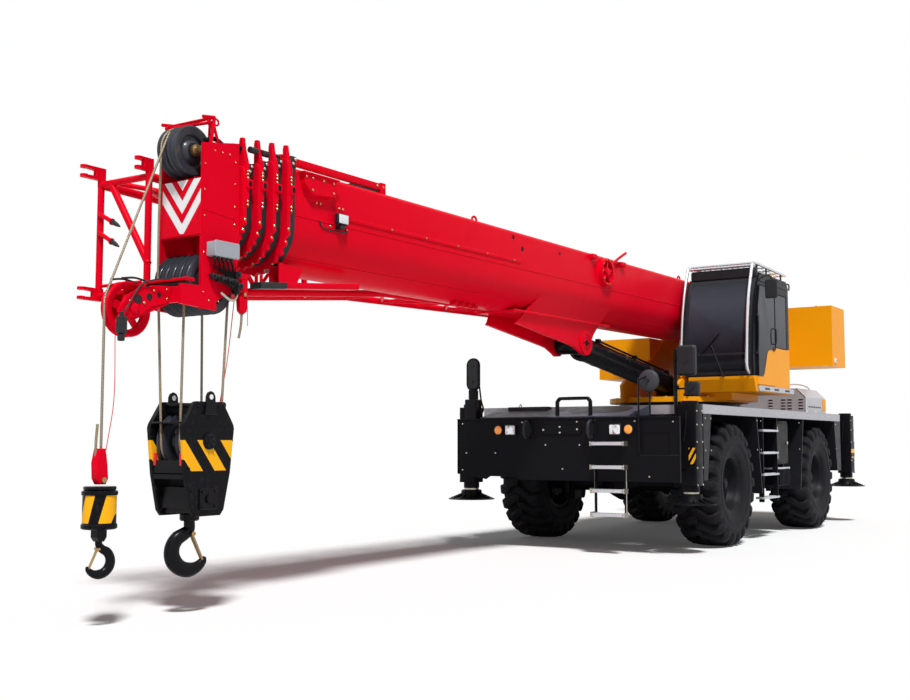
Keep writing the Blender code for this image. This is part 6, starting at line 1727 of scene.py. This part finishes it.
        # Black cover over the cab's upper rear corner and its gutter.
        shape.block((-0.705, 0.530, 3.430), (-0.6845, 1.425, 3.612), 0.006, 0, "X", 0.03)
        shape.block((-0.660, 1.4405, 3.500), (0.620, 1.452, 3.530), 0.004, 0, "Y")
        # The silver strip under the door with its slots as black patches of painted shade.
        shape.block((-0.776, 1.4405, 1.990), (0.735, 1.470, 2.062), 0.005, 2, "Y")
        for start in (0.52, 0.12, -0.36):
            shape.block((start - 0.20, 1.468, 2.012), (start, 1.4725, 2.040), 0.002, 0, "Y", 0.008)
        # Upright grab bar at the front pillar.
        grab = smooth_path([(0.800, 1.445, 2.50), (0.805, 1.480, 2.53), (0.775, 1.480, 2.98),
                            (0.765, 1.445, 3.01)], 20)
        shape.tube(grab, 0.011, 10, 0)
        shape.block((0.845, 1.395, 2.420), (0.880, 1.439, 2.520), 0.006, 0, "Y", 0.01)
        shape.make("cab_details", "house", ["black_plastic_and_painted_shade", "amber_lens", "hood_silver", "mirror_glass",
                                            "house_yellow"], (), 40)

    def inside(self):
        """The dashboard, steering wheel, consoles, levers and the seat on its pedestal."""
        shape = Shape()
        board = [(0.62, 2.03), (0.84, 2.20), (0.86, 2.44), (0.80, 2.50), (0.66, 2.46), (0.56, 2.30)]
        shape.slab(board, "Y", 0.60, 1.36, 0.02)
        shape.block((0.60, 1.02, 2.48), (0.66, 1.30, 2.66), 0.015, 0, "X", 0.02)
        ring = circle((0.0, 0.0), 0.175, 36)
        tilt = math.radians(25)
        wheel = np.stack([0.46 + ring[:, 1] * math.sin(tilt), 0.9765 + ring[:, 0],
                          2.60 + ring[:, 1] * math.cos(tilt) * 0.55], -1)
        shape.tube(np.concatenate([wheel, wheel[:2]]), 0.014, 10)
        for number in (0, 12, 24):
            shape.tube(np.linspace((0.46, 0.9765, 2.60), wheel[number], 4), 0.010, 8)
        shape.tube(np.linspace((0.46, 0.9765, 2.60), (0.62, 0.9765, 2.30), 4), 0.025, 12)
        for y in (0.6765, 1.2765):
            shape.block((-0.30, y - 0.07, 2.42), (0.22, y + 0.07, 2.64), 0.015, 0, "Y", 0.03)
            shape.tube(smooth_path([(0.14, y, 2.64), (0.15, y, 2.72), (0.14, y, 2.78)], 8), 0.009, 8)
            shape.lathe([(0.0, 2.77), (0.020, 2.78), (0.024, 2.81), (0.016, 2.835), (0.0, 2.84)],
                        (0.14, y, 0.0), "Z", 16)
        middle = 0.9765
        bellows = [(0.150 + 0.012 * math.cos(k * math.pi), 2.030 + 0.0265 * k) for k in range(11)]
        shape.lathe([(0.0, 2.030), *bellows, (0.0, 2.295)], (-0.15, middle, 0.0), "Z", 28)
        shape.make("cab_inside", "house", ["black_plastic_and_painted_shade"], (), 40)
        seat = Cushion("seat_cushion", (-0.385, middle - 0.235, 2.320), (0.125, middle + 0.235, 2.435), 0.060)
        back = Cushion("seat_back", (-0.490, middle - 0.225, 2.440), (-0.375, middle + 0.225, 3.015), 0.055)
        rest = Cushion("seat_headrest", (-0.480, middle - 0.120, 3.030), (-0.405, middle + 0.120, 3.215),
                       0.035)
        for cushion in (seat, back, rest):
            cushion.finish()


class Cushion:
    """A padded piece: a rounded block blown up a little by cloth pressure."""

    PRESSURE, FRAMES, CAP, VOXEL = 4.0, 20, 0.014, 0.011

    def __init__(self, name, low, high, radius):
        flat = int(np.argmin(np.array(high) - np.array(low)))
        shape = Shape()
        shape.block(low, high, min(radius, (high[flat] - low[flat]) * 0.42), 0, "XYZ"[flat], radius, 6)
        replaced = ["cab_seat"] if name == "seat_cushion" else []
        self.piece = shape.make(name, "house", ["seat_cloth"], replaced, 60)
        self.blow()

    def blow(self):
        """Voxel remesh, twenty frames of cloth with pressure and no gravity, and a cap on how far a
        point moves."""
        scene = bpy.context.scene
        remesh = self.piece.modifiers.new("remesh", "REMESH")
        remesh.mode = "VOXEL"
        remesh.voxel_size = self.VOXEL
        self.apply()
        mesh = self.piece.data
        before = np.empty(len(mesh.vertices) * 3)
        mesh.vertices.foreach_get("co", before)
        cloth = self.piece.modifiers.new("cloth", "CLOTH")
        cloth.settings.use_pressure = True
        cloth.settings.uniform_pressure_force = self.PRESSURE
        cloth.settings.effector_weights.gravity = 0.0
        cloth.point_cache.frame_start = 1
        cloth.point_cache.frame_end = self.FRAMES
        for frame_number in range(1, self.FRAMES + 1):
            scene.frame_set(frame_number)
        self.apply()
        scene.frame_set(1)
        mesh = self.piece.data
        after = np.empty(len(mesh.vertices) * 3)
        mesh.vertices.foreach_get("co", after)
        moved = (after - before).reshape(-1, 3)
        length = np.linalg.norm(moved, axis=1, keepdims=True)
        moved *= np.minimum(1.0, self.CAP / np.maximum(length, 1e-9))
        mesh.vertices.foreach_set("co", (before.reshape(-1, 3) + moved).ravel())
        mesh.update()

    def apply(self):
        """Puts what the modifiers make into the mesh."""
        graph = bpy.context.evaluated_depsgraph_get()
        mesh = bpy.data.meshes.new_from_object(self.piece.evaluated_get(graph))
        self.piece.modifiers.clear()
        self.piece.data = mesh

    def finish(self):
        """One level of subdivision, with smooth shading."""
        self.piece.data.shade_smooth()
        soft = self.piece.modifiers.new("smooth", "SUBSURF")
        soft.levels = soft.render_levels = 1
        self.apply()
        self.piece.data.shade_smooth()


class CarrierFrontOperator(bpy.types.Operator):
    """Dress the carrier's front: lamps, centre plate, tow loops, bolts, steps, hoop and the mirrors."""

    bl_idname = "crane.carrier_front"
    bl_label = "Carrier front"

    FACE = 3.626

    def execute(self, context):
        bolt = context.scene.crane_sizes.bolt_radius
        face = self.FACE
        shape = Shape()
        # Head lamps: a black bezel, a clear lens and a reflector bowl behind it; round amber indicators
        # beside them.
        for y in (-0.707, 0.707):
            shape.block((face + 0.006, y - 0.078, 1.378), (face + 0.034, y + 0.078, 1.514), 0.006, 1, "X",
                        0.016)
            shape.block((face + 0.0305, y - 0.066, 1.392), (face + 0.040, y + 0.066, 1.500), 0.004, 2, "X",
                        0.014)
            bowl = [(0.0, face + 0.041), (0.040, face + 0.041), (0.050, face + 0.047), (0.054, face + 0.042),
                    (0.054, face + 0.038), (0.0, face + 0.038)]
            shape.lathe(bowl, (0.0, y, 1.446), "X", 28, 3)
        for y in (-0.879, 0.879):
            rim = [(0.0, face + 0.022), (0.060, face + 0.022), (0.062, face + 0.030), (0.052, face + 0.033),
                   (0.0, face + 0.033)]
            shape.lathe(rim, (0.0, y, 1.446), "X", 32, 1)
            quarter = np.linspace(0, math.pi / 2, 7)
            dome = [(0.052 * math.cos(a), face + 0.030 + 0.016 * math.sin(a)) for a in quarter]
            shape.lathe([(0.0, face + 0.028), (0.052, face + 0.028), *dome[:-1], (0.0, face + 0.046)],
                        (0.0, y, 1.446), "X", 32, 4)
        # Centre plate with its four bolts.
        shape.block((face - 0.001, -0.280, 1.396), (face + 0.019, 0.262, 1.504), 0.004, 0, "X")
        spots = [(face + 0.018, y, z) for y, z in ((-0.245, 1.446), (0.213, 1.450), (-0.020, 1.480),
                                                   (-0.020, 1.412))]
        shape.bolts(spots, "X", bolt, 0.012, 5)
        for y in (-0.462, 0.400):
            loop = smooth_path([(face - 0.005, y, 1.545), (face + 0.060, y, 1.545), (face + 0.105, y, 1.500),
                                (face + 0.110, y, 1.400), (face + 0.060, y, 1.350), (face - 0.005, y, 1.350)],
                               30)
            shape.tube(loop, 0.019, 12, 1)
            shape.block((face - 0.001, y - 0.050, 1.325), (face + 0.010, y + 0.050, 1.570), 0.004, 8, "X",
                        0.020)
        small = [(-0.226, 1.264), (0.234, 1.265), (0.004, 0.978), (-0.935, 1.164), (-1.363, 1.162),
                 (1.124, 0.902), (-1.42, 1.53), (-1.42, 0.95), (1.42, 1.53), (-0.55, 1.54), (0.20, 1.54),
                 (0.95, 1.54)]
        shape.bolts([(face, y, z) for y, z in small], "X", bolt * 0.8, 0.010, 5)
        # Recessed panel, seams and edge strips.
        for low, high in (((1.030, 1.405), (1.370, 1.415)), ((1.030, 1.154), (1.370, 1.164)),
                          ((1.030, 1.154), (1.040, 1.415)), ((1.360, 1.154), (1.370, 1.415))):
            shape.block((face - 0.001, *low), (face + 0.007, *high), 0.002, 0, "X")
        shape.block((face - 0.001, 1.020, 1.146), (face + 0.004, 1.498, 1.152), 0.001, 1, "X")
        shape.block((face - 0.001, -1.498, 1.574), (face + 0.014, 1.498, 1.592), 0.003, 0, "X")
        for y in (-1.498, 1.486):
            shape.block((face - 0.001, y, 0.845 if y > 0 else 0.905), (face + 0.010, y + 0.012, 1.576), 0.002,
                        0, "X")
        arch = np.array([(-0.62, 0.842), (-0.70, 0.892), (-0.85, 0.912), (-1.00, 0.892), (-1.08, 0.842)])
        shape.tube(turn_to("X", smooth_path(arch, 24), face + 0.002), 0.008, 8)
        self.steps(shape, bolt)
        self.hoop(shape)
        shape.make("carrier_front_dressed", "carrier",
                   ["carrier_black", "black_plastic_and_painted_shade", "white_lens", "chrome", "amber_lens", "zinc",
                    "tread_metal", "brass", "hook_black"], (), 38)
        self.mirrors(bolt)
        return {"FINISHED"}

    def steps(self, shape, bolt):
        """Four silver treads with turned-up lips and holes, the lower two hung on thin rails."""
        for number in range(4):
            z = 0.442 + number * 0.274
            shape.block((3.622, 0.4215, z - 0.003), (3.7395, 0.8525, z + 0.0335), 0.004, 6, "Z")
            for y in np.linspace(0.452, 0.822, 10):
                for x in (3.652, 3.682, 3.712):
                    ring = [(0.0, z + 0.0330), (0.009, z + 0.0330), (0.011, z + 0.0365), (0.0085, z + 0.0375),
                            (0.0, z + 0.0350)]
                    shape.lathe(ring, (x, y, 0.0), "Z", 8, 6)
            for y in (0.418, 0.848):
                shape.block((3.622, y, z - 0.012), (3.7395, y + 0.008, z + 0.046), 0.002, 5, "Y")
        for y in (0.436, 0.838):
            shape.tube(np.linspace((3.636, y, 0.45), (3.636, y, 1.00), 6), 0.007, 8, 5)
            shape.bolts([(3.740, y, z) for z in (0.459, 0.733, 1.007, 1.281)], "X", bolt * 0.8, 0.009, 7)

    def hoop(self, shape):
        """The bright hoop on the deck's front edge: a round tube bent through eight places."""
        path = smooth_path([(3.550, -0.102, 1.575), (3.550, -0.102, 1.770), (3.550, -0.080, 1.815),
                            (3.550, -0.035, 1.824), (3.550, 0.275, 1.824), (3.550, 0.320, 1.815),
                            (3.550, 0.342, 1.770), (3.550, 0.342, 1.575)], 60)
        shape.tube(path, 0.0195, 14, 8)

    def mirrors(self, bolt):
        """The right mirror in its loop on a block, the round mirror on two legs, and the upright pair."""
        shape = Shape()
        shape.block((3.47, -1.400, 1.581), (3.62, -1.230, 1.840), 0.010, 0, "Z", 0.015)
        shape.block((3.48, -1.360, 1.840), (3.60, -1.270, 1.960), 0.008, 0, "Z", 0.02)
        bent = smooth_path([(3.56, -1.235, 1.60), (3.57, -1.150, 1.70), (3.57, -1.180, 1.82),
                            (3.56, -1.215, 2.02)], 14)
        shape.tube(bent, 0.011, 10)
        loop = rounded((-1.395, 1.960), (-1.225, 2.350), 0.078, 8)
        path = turn_to("X", loop, 3.550)
        shape.tube(np.concatenate([path, path[:2]]), 0.017, 10)
        shape.slab(shrink(loop, 0.008), "X", 3.535, 3.572, 0.010, 1)
        shape.slab(shrink(loop, 0.020), "X", 3.533, 3.536, 0.001, 2)
        shape.bolts([(3.572, -1.310, z) for z in (2.06, 2.26)], "X", bolt, 0.010, 1)
        shape.make("mirror_right_dressed", "carrier", ["hook_black", "black_plastic_and_painted_shade", "mirror_glass"],
                   ["mirror_right"], 40)
        shape = Shape()
        shape.block((3.02, 0.950, 1.581), (3.56, 1.255, 1.606), 0.004, 0, "Z", 0.02)
        for y in (1.015, 1.085):
            low_z = 1.20 if y < 1.05 else 1.60
            x = 3.660 if y < 1.05 else 3.50
            path = smooth_path([(x, y, low_z), (x, y, 1.95), (x - 0.02, y + 0.01, 2.02), (3.53, 1.07, 2.06)],
                               16)
            shape.tube(path, 0.011, 10)
        dish = [(0.0, 3.560), (0.060, 3.558), (0.110, 3.548), (0.124, 3.532), (0.126, 3.522), (0.120, 3.518),
                (0.0, 3.518)]
        shape.lathe(dish, (0.0, 1.085, 2.010), "X", 40, 3)
        shape.disc(0.020, 3.555, 3.590, (0.0, 1.085, 2.010), "X", 16, 1)
        shape.disc(0.112, 3.508, 3.5115, (0.0, 1.085, 2.010), "X", 36, 2)
        shape.lathe([(0.116, 3.507), (0.128, 3.512), (0.130, 3.523), (0.122, 3.528)], (0.0, 1.085, 2.010),
                    "X", 36, 1, closed=True)
        shape.tube(np.linspace((3.05, 1.220, 1.600), (3.05, 1.220, 2.400), 6), 0.022, 12)
        shape.block((3.050, 1.265, 2.080), (3.128, 1.495, 2.440), 0.020, 1, "X", 0.036, 5)
        shape.block((3.0475, 1.280, 2.096), (3.0505, 1.480, 2.424), 0.001, 2, "X", 0.02, 4)
        shape.block((3.050, 1.350, 1.835), (3.118, 1.535, 2.010), 0.016, 1, "X", 0.026, 5)
        shape.block((3.0475, 1.364, 1.849), (3.0505, 1.521, 1.996), 0.001, 2, "X", 0.015, 4)
        for y, z in ((1.38, 2.26), (1.44, 1.93)):
            shape.tube(np.linspace((3.05, 1.22, z), (3.05, y, z), 3), 0.012, 8)
            shape.disc(0.026, 3.126, 3.142, (0.0, y, z), "X", 16, 1)
        for z in (1.95, 2.29):
            shape.block((3.035, 1.205, z - 0.02), (3.070, 1.262, z + 0.02), 0.004, 0)
        shape.bolts([(3.128, 1.38, z) for z in (2.14, 2.38)], "X", bolt * 0.8, 0.009, 1)
        shape.make("mirror_left_dressed", "carrier",
                   ["hook_black", "black_plastic_and_painted_shade", "mirror_glass", "dish_grey"], ["mirror_left"],
                   40)


class CarrierSideOperator(bpy.types.Operator):
    """Make the side ladder and boxes, the engine hood with its louvres, deck trim and the house's
    fittings."""

    bl_idname = "crane.carrier_side"
    bl_label = "Carrier sides and hood"

    def execute(self, context):
        bolt = context.scene.crane_sizes.bolt_radius
        self.ladder(bolt)
        self.hood(bolt)
        self.deck(bolt)
        self.house(bolt)
        return {"FINISHED"}

    def ladder(self, bolt):
        """Two stiles with four holed treads, the tall box with its door and the ribbed lower case."""
        shape = Shape()
        for x in (0.150, 0.740):
            shape.block((x - 0.012, 1.430, 0.500), (x + 0.012, 1.500, 1.630), 0.004, 0, "Y", 0.006)
        for z in (0.550, 0.860, 1.150, 1.450):
            shape.block((0.135, 1.385, z - 0.010), (0.755, 1.518, z + 0.018), 0.004, 1, "Z")
            for x in np.linspace(0.20, 0.70, 11):
                ring = [(0.0, z + 0.017), (0.010, z + 0.017), (0.012, z + 0.0205), (0.009, z + 0.0215),
                        (0.0, z + 0.019)]
                shape.lathe(ring, (x, 1.470, 0.0), "Z", 8, 1)
                shape.lathe(ring, (x, 1.430, 0.0), "Z", 8, 1)
            shape.bolts([(x, 1.500, z) for x in (0.150, 0.740)], "Y", bolt, 0.010, 2)
        # Tall box with its door, hinges and latch; ribbed lower case with a silver lid.
        shape.block((-0.409, 1.000, 0.993), (0.136, 1.470, 1.600), 0.008, 0, "Z", 0.012)
        shape.block((-0.385, 1.466, 1.020), (0.112, 1.482, 1.560), 0.005, 0, "Y", 0.02)
        for z in (1.10, 1.48):
            shape.tube(np.linspace((0.108, 1.488, z - 0.03), (0.108, 1.488, z + 0.03), 3), 0.009, 8, 2)
        shape.block((-0.360, 1.480, 1.270), (-0.320, 1.494, 1.310), 0.003, 2, "Y", 0.006)
        shape.block((-0.432, 1.030, 0.696), (0.070, 1.480, 0.935), 0.010, 0, "Z", 0.015)
        shape.block((-0.440, 1.020, 0.925), (0.078, 1.492, 0.950), 0.004, 1, "Z", 0.012)
        for x in np.linspace(-0.38, 0.03, 8):
            shape.block((x - 0.010, 1.476, 0.705), (x + 0.010, 1.500, 0.925), 0.004, 0, "Z", 0.005)
        for x in (-0.30, 0.05):
            shape.block((x - 0.02, 1.020, 0.940), (x + 0.02, 1.440, 1.000), 0.003, 0)
        shape.make("side_box_ladder_dressed", "carrier", ["carrier_black", "tread_metal", "zinc"],
                   ["side_box_ladder"], 38)

    def hood(self, bolt):
        """A silver hood with chamfered sides and rows of louvres in its front, rear and roof, their slots
        black patches of painted shade.
        """
        shape = Shape()
        outline = [(-1.300, 1.7465), (-1.300, 2.000), (-1.160, 2.140), (1.160, 2.140), (1.300, 2.000),
                   (1.300, 1.7465)]
        shape.slab(outline, "X", -3.010, -1.930, 0.008)
        for sign in (-1, 1):
            # Front louvres: a black slot of painted shade under a silver lip.
            for y in (0.746, 0.948, 1.047, 1.222):
                for z in (1.820, 1.866, 1.912, 1.958):
                    shape.block((-1.934, sign * (y - 0.036), z - 0.011),
                                (-1.9285, sign * (y + 0.036), z + 0.011), 0.002, 1, "X", 0.008)
                    shape.block((-1.934, sign * (y - 0.036), z + 0.009),
                                (-1.917, sign * (y + 0.036), z + 0.014), 0.002, 0, "X")
            # Roof louvres, with the side vents below: black slots of painted shade.
            for x in np.linspace(-2.90, -2.10, 9):
                shape.block((x - 0.012, sign * 0.55, 2.137), (x + 0.012, sign * 0.95, 2.1425), 0.002, 1, "Z",
                            0.008)
                shape.block((x + 0.008, sign * 0.55, 2.137), (x + 0.014, sign * 0.95, 2.152), 0.002, 0, "Z")
                if x > -2.75:
                    shape.block((x - 0.030, sign * 1.2985, 1.84), (x + 0.030, sign * 1.3022, 1.862), 0.001, 1,
                                "Y", 0.008)
            shape.block((-3.008, sign * 1.298, 1.800), (-2.830, sign * 1.306, 1.990), 0.003, 2, "Y")
            edge = [(-1.928, sign * 1.300, 1.76), (-1.928, sign * 1.300, 2.000),
                    (-1.928, sign * 1.160, 2.140)]
            shape.tube(np.array(edge), 0.008, 8, 3)
            cable = smooth_path([(-1.97, sign * 0.95, 2.140), (-2.10, sign * 1.00, 2.20),
                                 (-2.45, sign * 1.05, 2.215), (-2.75, sign * 1.08, 2.19),
                                 (-2.86, sign * 1.10, 2.138)], 24)
            shape.tube(cable, 0.010, 8, 4)
            spots = [(x, sign * 1.300, 1.775) for x in (-2.00, -2.45, -2.95)]
            shape.bolts(spots, facing(sign), bolt * 0.8, 0.009, 4)
        # Rear louvres: black slots of painted shade.
        for y in (-0.30, 0.30):
            for z in np.arange(1.80, 2.05, 0.045):
                shape.block((-3.0125, y - 0.24, z - 0.011), (-3.008, y + 0.24, z + 0.011), 0.002, 1, "X",
                            0.008)
        shape.tube(np.linspace((-1.93, 0.0, 2.141), (-3.01, 0.0, 2.141), 3), 0.004, 6, 0)
        # Low cover over the front of the engine bay.
        shape.block((-1.932, -0.620, 1.7465), (-1.260, 0.620, 1.800), 0.010, 0, "Z", 0.03)
        shape.bolts([(x, y, 1.800) for x in (-1.31, -1.60, -1.88) for y in (-0.58, 0.58)], "Z", bolt * 0.9,
                    0.009, 4)
        shape.make("engine_hood_dressed", "carrier",
                   ["hood_silver", "rubber_and_painted_shade", "house_yellow", "bright_tube", "zinc"], ["engine_hood"],
                   30)

    def deck(self, bolt):
        """Strips, ties and small fittings on the deck and its skirts, the tank's straps and cap."""
        shape = Shape()
        low, high = span("carrier_deck")
        for side in (1, -1):
            y = side * high[1]
            outwards = facing(side)
            spots = [(x, y - side * 0.001, 1.690) for x in np.arange(-2.8, 2.9, 0.38)]
            shape.bolts(spots, outwards, bolt * 0.8, 0.008, 1)
            places = [(x, z) for x in (2.72, 2.90, 1.05, 0.90, -0.80, -2.75) for z in (1.20, 1.58)]
            shape.bolts([(x, y - side * 0.001, z) for x, z in places], outwards, bolt * 0.8, 0.008, 1)
        for x, y in ((2.55, 1.20), (2.55, -1.20), (-0.60, 1.25), (0.95, -1.25)):
            ring = circle((x, 1.772), 0.028, 18)
            path = turn_to("Y", ring, y)
            shape.tube(np.concatenate([path, path[:2]]), 0.008, 8, 1)
            shape.block((x - 0.04, y - 0.02, 1.744), (x + 0.04, y + 0.02, 1.756), 0.003, 1)
        tank_low, tank_high = span("fuel_tank")
        for x in (tank_low[0] + 0.30, tank_high[0] - 0.30):
            shape.block((x - 0.025, tank_low[1] - 0.006, tank_low[2] - 0.006),
                        (x + 0.025, tank_low[1] + 0.004, tank_high[2]), 0.002, 1)
        cap = [(0.0, tank_low[1] - 0.040), (0.045, tank_low[1] - 0.040), (0.050, tank_low[1] - 0.030),
               (0.050, tank_low[1] + 0.004), (0.0, tank_low[1] + 0.004)]
        shape.lathe(cap, ((tank_low[0] + tank_high[0]) / 2, 0.0, tank_high[2] - 0.14), "Y", 24, 2)
        for side in (1, -1):
            shape.block((-3.480, side * 0.95, 1.600), (-3.440, side * 1.05, 1.700), 0.004, 0)
            lamp = [(0.0, -3.482), (0.048, -3.482), (0.050, -3.478), (0.050, -3.460), (0.0, -3.460)]
            shape.lathe(lamp, (0.0, side * 1.0, 1.650), "X", 24, 3)
        plate = [(3.600, 1.590), (3.600, 1.606), (2.985, 1.742), (2.958, 1.742), (2.958, 1.590)]
        shape.slab(plate, "Y", -1.180, 0.840, 0.004, 4)
        # A well in the sloped plate as a black patch of painted shade: its height is the plate's own fall
        # from its front edge.
        well = rounded((3.02, -0.10), (3.40, 0.72), 0.17, 8)
        fall, front_x, front_z = 0.2211, 3.600, 1.606
        height = front_z + (front_x - well[:, 0]) * fall
        shape.skin(np.stack([turn_to("Z", well, height + lift) for lift in (-0.01, 0.0025)]), 2)
        shape.block((3.05, -1.02, 1.70), (3.18, -0.45, 1.745), 0.006, 2)
        shape.make("deck_details", "carrier", ["carrier_black", "zinc", "black_plastic_and_painted_shade", "amber_lens",
                                               "deck_blue"], (), 38)

    def house(self, bolt):
        """The counterweight's lug, seams and bolts, pipes on the turntable, and covers over its pins."""
        shape = Shape()
        low, high = span("counterweight")
        shape.block((-3.215, high[1] - 0.002, 2.590), (-3.120, high[1] + 0.020, 2.665), 0.006, 1, "Y", 0.02)
        shape.disc(0.016, high[1] + 0.019, high[1] + 0.030, (-3.168, 0.0, 2.628), "Y", 16, 2)
        for y in (low[1] + 0.35, high[1] - 0.35):
            eye = circle((-3.42, high[2]), 0.05, 20)
            path = turn_to("Y", eye, y)
            shape.tube(np.concatenate([path, path[:2]]), 0.012, 10)
        for side in (1, -1):
            pin = [(0.0, side * 0.470), (0.090, side * 0.470), (0.095, side * 0.476), (0.095, side * 0.484),
                   (0.070, side * 0.492), (0.0, side * 0.492)]
            shape.lathe(pin, PIVOT, "Y", 32, 2)
            shape.bolts(turn_to("Y", circle((PIVOT[0], PIVOT[2]), 0.062, 6), side * 0.490), facing(side),
                        bolt, 0.010, 2)
            for start in (0.0, 0.05):
                path = smooth_path([(0.90, side * (0.452 + start), 1.95),
                                    (0.40, side * (0.452 + start), 2.18),
                                    (-0.30, side * (0.452 + start), 2.30 + start),
                                    (-1.10, side * (0.452 + start), 2.70)], 30)
                shape.tube(path, 0.014, 8, 3)
        shape.bolts(turn_to("Z", circle((0.0, 0.0), 0.93, 30), 1.930), "Z", bolt, 0.012, 2)
        shape.make("house_details", "house", ["house_yellow", "white_paint", "zinc", "hose"], (),
                   38)


class OutriggersOperator(bpy.types.Operator):
    """Make the jack housings with their stripes and the silver-necked jacks with ribbed floats."""

    bl_idname = "crane.outriggers"
    bl_label = "Outriggers"

    NECK = (0.640, 0.722)
    RIBS = 12

    def execute(self, context):
        bolt = context.scene.crane_sizes.bolt_radius
        for key in CORNERS:
            low, high = span("outrigger_jack_" + key)
            centre = (low + high) / 2
            side = 1 if centre[1] > 0 else -1
            self.housing(key, centre, side, bolt)
            self.jack(key, centre)
        return {"FINISHED"}

    def housing(self, key, centre, side, bolt):
        """A square sleeve round the jack tube with a striped band, a cap and a row of bolts."""
        shape = Shape()
        x, y = centre[0], centre[1]
        half = 0.112
        shape.block((x - half, y - half + side * 0.002, 0.790), (x + half, y + half + side * 0.002, 1.740),
                    0.004, 0, "Z", 0.018, 4)
        ahead = 1 if x > 0 else -1
        shape.block((x + ahead * (half - 0.002), y - 0.042 + side * 0.066, 1.040),
                    (x + ahead * (half + 0.005), y + 0.042 + side * 0.066, 1.250), 0.001, 1, "X")
        if side > 0 and x < 0:
            shape.block((x - 0.095, y + half - 0.001, 1.040), (x + 0.095, y + half + 0.007, 1.290), 0.001, 1,
                        "Y")
        cap = [(0.0, 1.738), (0.100, 1.738), (0.100, 1.768), (0.088, 1.779), (0.0, 1.779)]
        shape.lathe(cap, (x, y, 0.0), "Z", 32, 0)
        outwards = facing(side)
        heights = (0.80, 1.00, 1.30, 1.50, 1.66)
        spots = [(x + a, y + side * 0.113, z) for a in (-0.085, 0.085) for z in heights]
        shape.bolts(spots, outwards, bolt * 0.9, 0.010, 2)
        pipe = smooth_path([(x + 0.113, y, 1.66), (x + 0.135, y, 1.50), (x + 0.130, y - side * 0.03, 1.30)],
                           14)
        shape.tube(pipe, 0.010, 8, 3)
        shape.make("jack_housing_" + key, "beam_" + key, ["carrier_black", "jack_stripes", "zinc", "hose"],
                   (), 38)

    def jack(self, key, centre):
        """The bright leg and its round float: a lathe with twelve ribs, each a slab turned about the leg."""
        shape = Shape()
        x, y = centre[0], centre[1]
        leg = [(0.0, 0.640), (0.072, 0.640), (0.078, 0.650), (0.078, 1.610), (0.070, 1.618), (0.0, 1.618)]
        shape.lathe(leg, (x, y, 0.0), "Z", 36, 0)
        foot = [(0.0, 0.575), (0.290, 0.575), (0.295, 0.580), (0.292, 0.586), (0.220, 0.600), (0.160, 0.612),
                (0.135, 0.650), (0.128, 0.690), (0.112, 0.698), (0.0, 0.698)]
        shape.lathe(foot, (x, y, 0.0), "Z", 48, 1)
        for angle in np.linspace(0, 2 * math.pi, self.RIBS, endpoint=False):
            c, s = math.cos(angle), math.sin(angle)
            along = np.array([(0.110, 0.585), (0.270, 0.585), (0.270, 0.594), (0.140, 0.650), (0.110, 0.650)])
            faces = []
            for half in (-0.005, 0.005):
                faces.append(np.stack([x + along[:, 0] * c - half * s, y + along[:, 0] * s + half * c,
                                       along[:, 1]], -1))
            shape.skin(np.stack(faces), 1)
        shape.lathe([(0.079, 0.694), (0.092, 0.694), (0.092, 0.716), (0.079, 0.716)], (x, y, 0.0), "Z", 32, 2,
                    closed=True)
        shape.make("jack_dressed_" + key, "jack_" + key, ["bright_tube", "carrier_black", "zinc"],
                   ["outrigger_jack_" + key], 38)


OPERATORS = (StageOperator, FinishesOperator, TyresOperator, RimsOperator, SheavesOperator, FallsOperator,
             HookBlockOperator, AuxHookOperator, HeadOperator, BoomOperator, LiftCylinderOperator,
             WinchesOperator, JibOperator, CabOperator, CarrierFrontOperator, CarrierSideOperator,
             OutriggersOperator)


class CranePanel(bpy.types.Panel):
    """Lists the sizes, the colours and the pieces of the crane."""

    bl_idname = "CRANE_PT_panel"
    bl_label = "Rough terrain crane"
    bl_space_type = "VIEW_3D"
    bl_region_type = "UI"
    bl_category = "Crane"

    def draw(self, context):
        for group in (context.scene.crane_sizes, context.scene.crane_colours):
            for name in group.__annotations__:
                self.layout.prop(group, name)
        for operator in OPERATORS:
            self.layout.operator(operator.bl_idname)


CLASSES = (CraneColours, CraneSizes, *OPERATORS, CranePanel)


def register():
    for item in CLASSES:
        bpy.utils.register_class(item)
    bpy.types.Scene.crane_colours = bpy.props.PointerProperty(type=CraneColours)
    bpy.types.Scene.crane_sizes = bpy.props.PointerProperty(type=CraneSizes)


def unregister():
    del bpy.types.Scene.crane_sizes
    del bpy.types.Scene.crane_colours
    for item in reversed(CLASSES):
        bpy.utils.unregister_class(item)


def main():
    register()
    for operator in OPERATORS:
        group, name = operator.bl_idname.split(".")
        getattr(getattr(bpy.ops, group), name)()


if __name__ == "__main__":
    main()
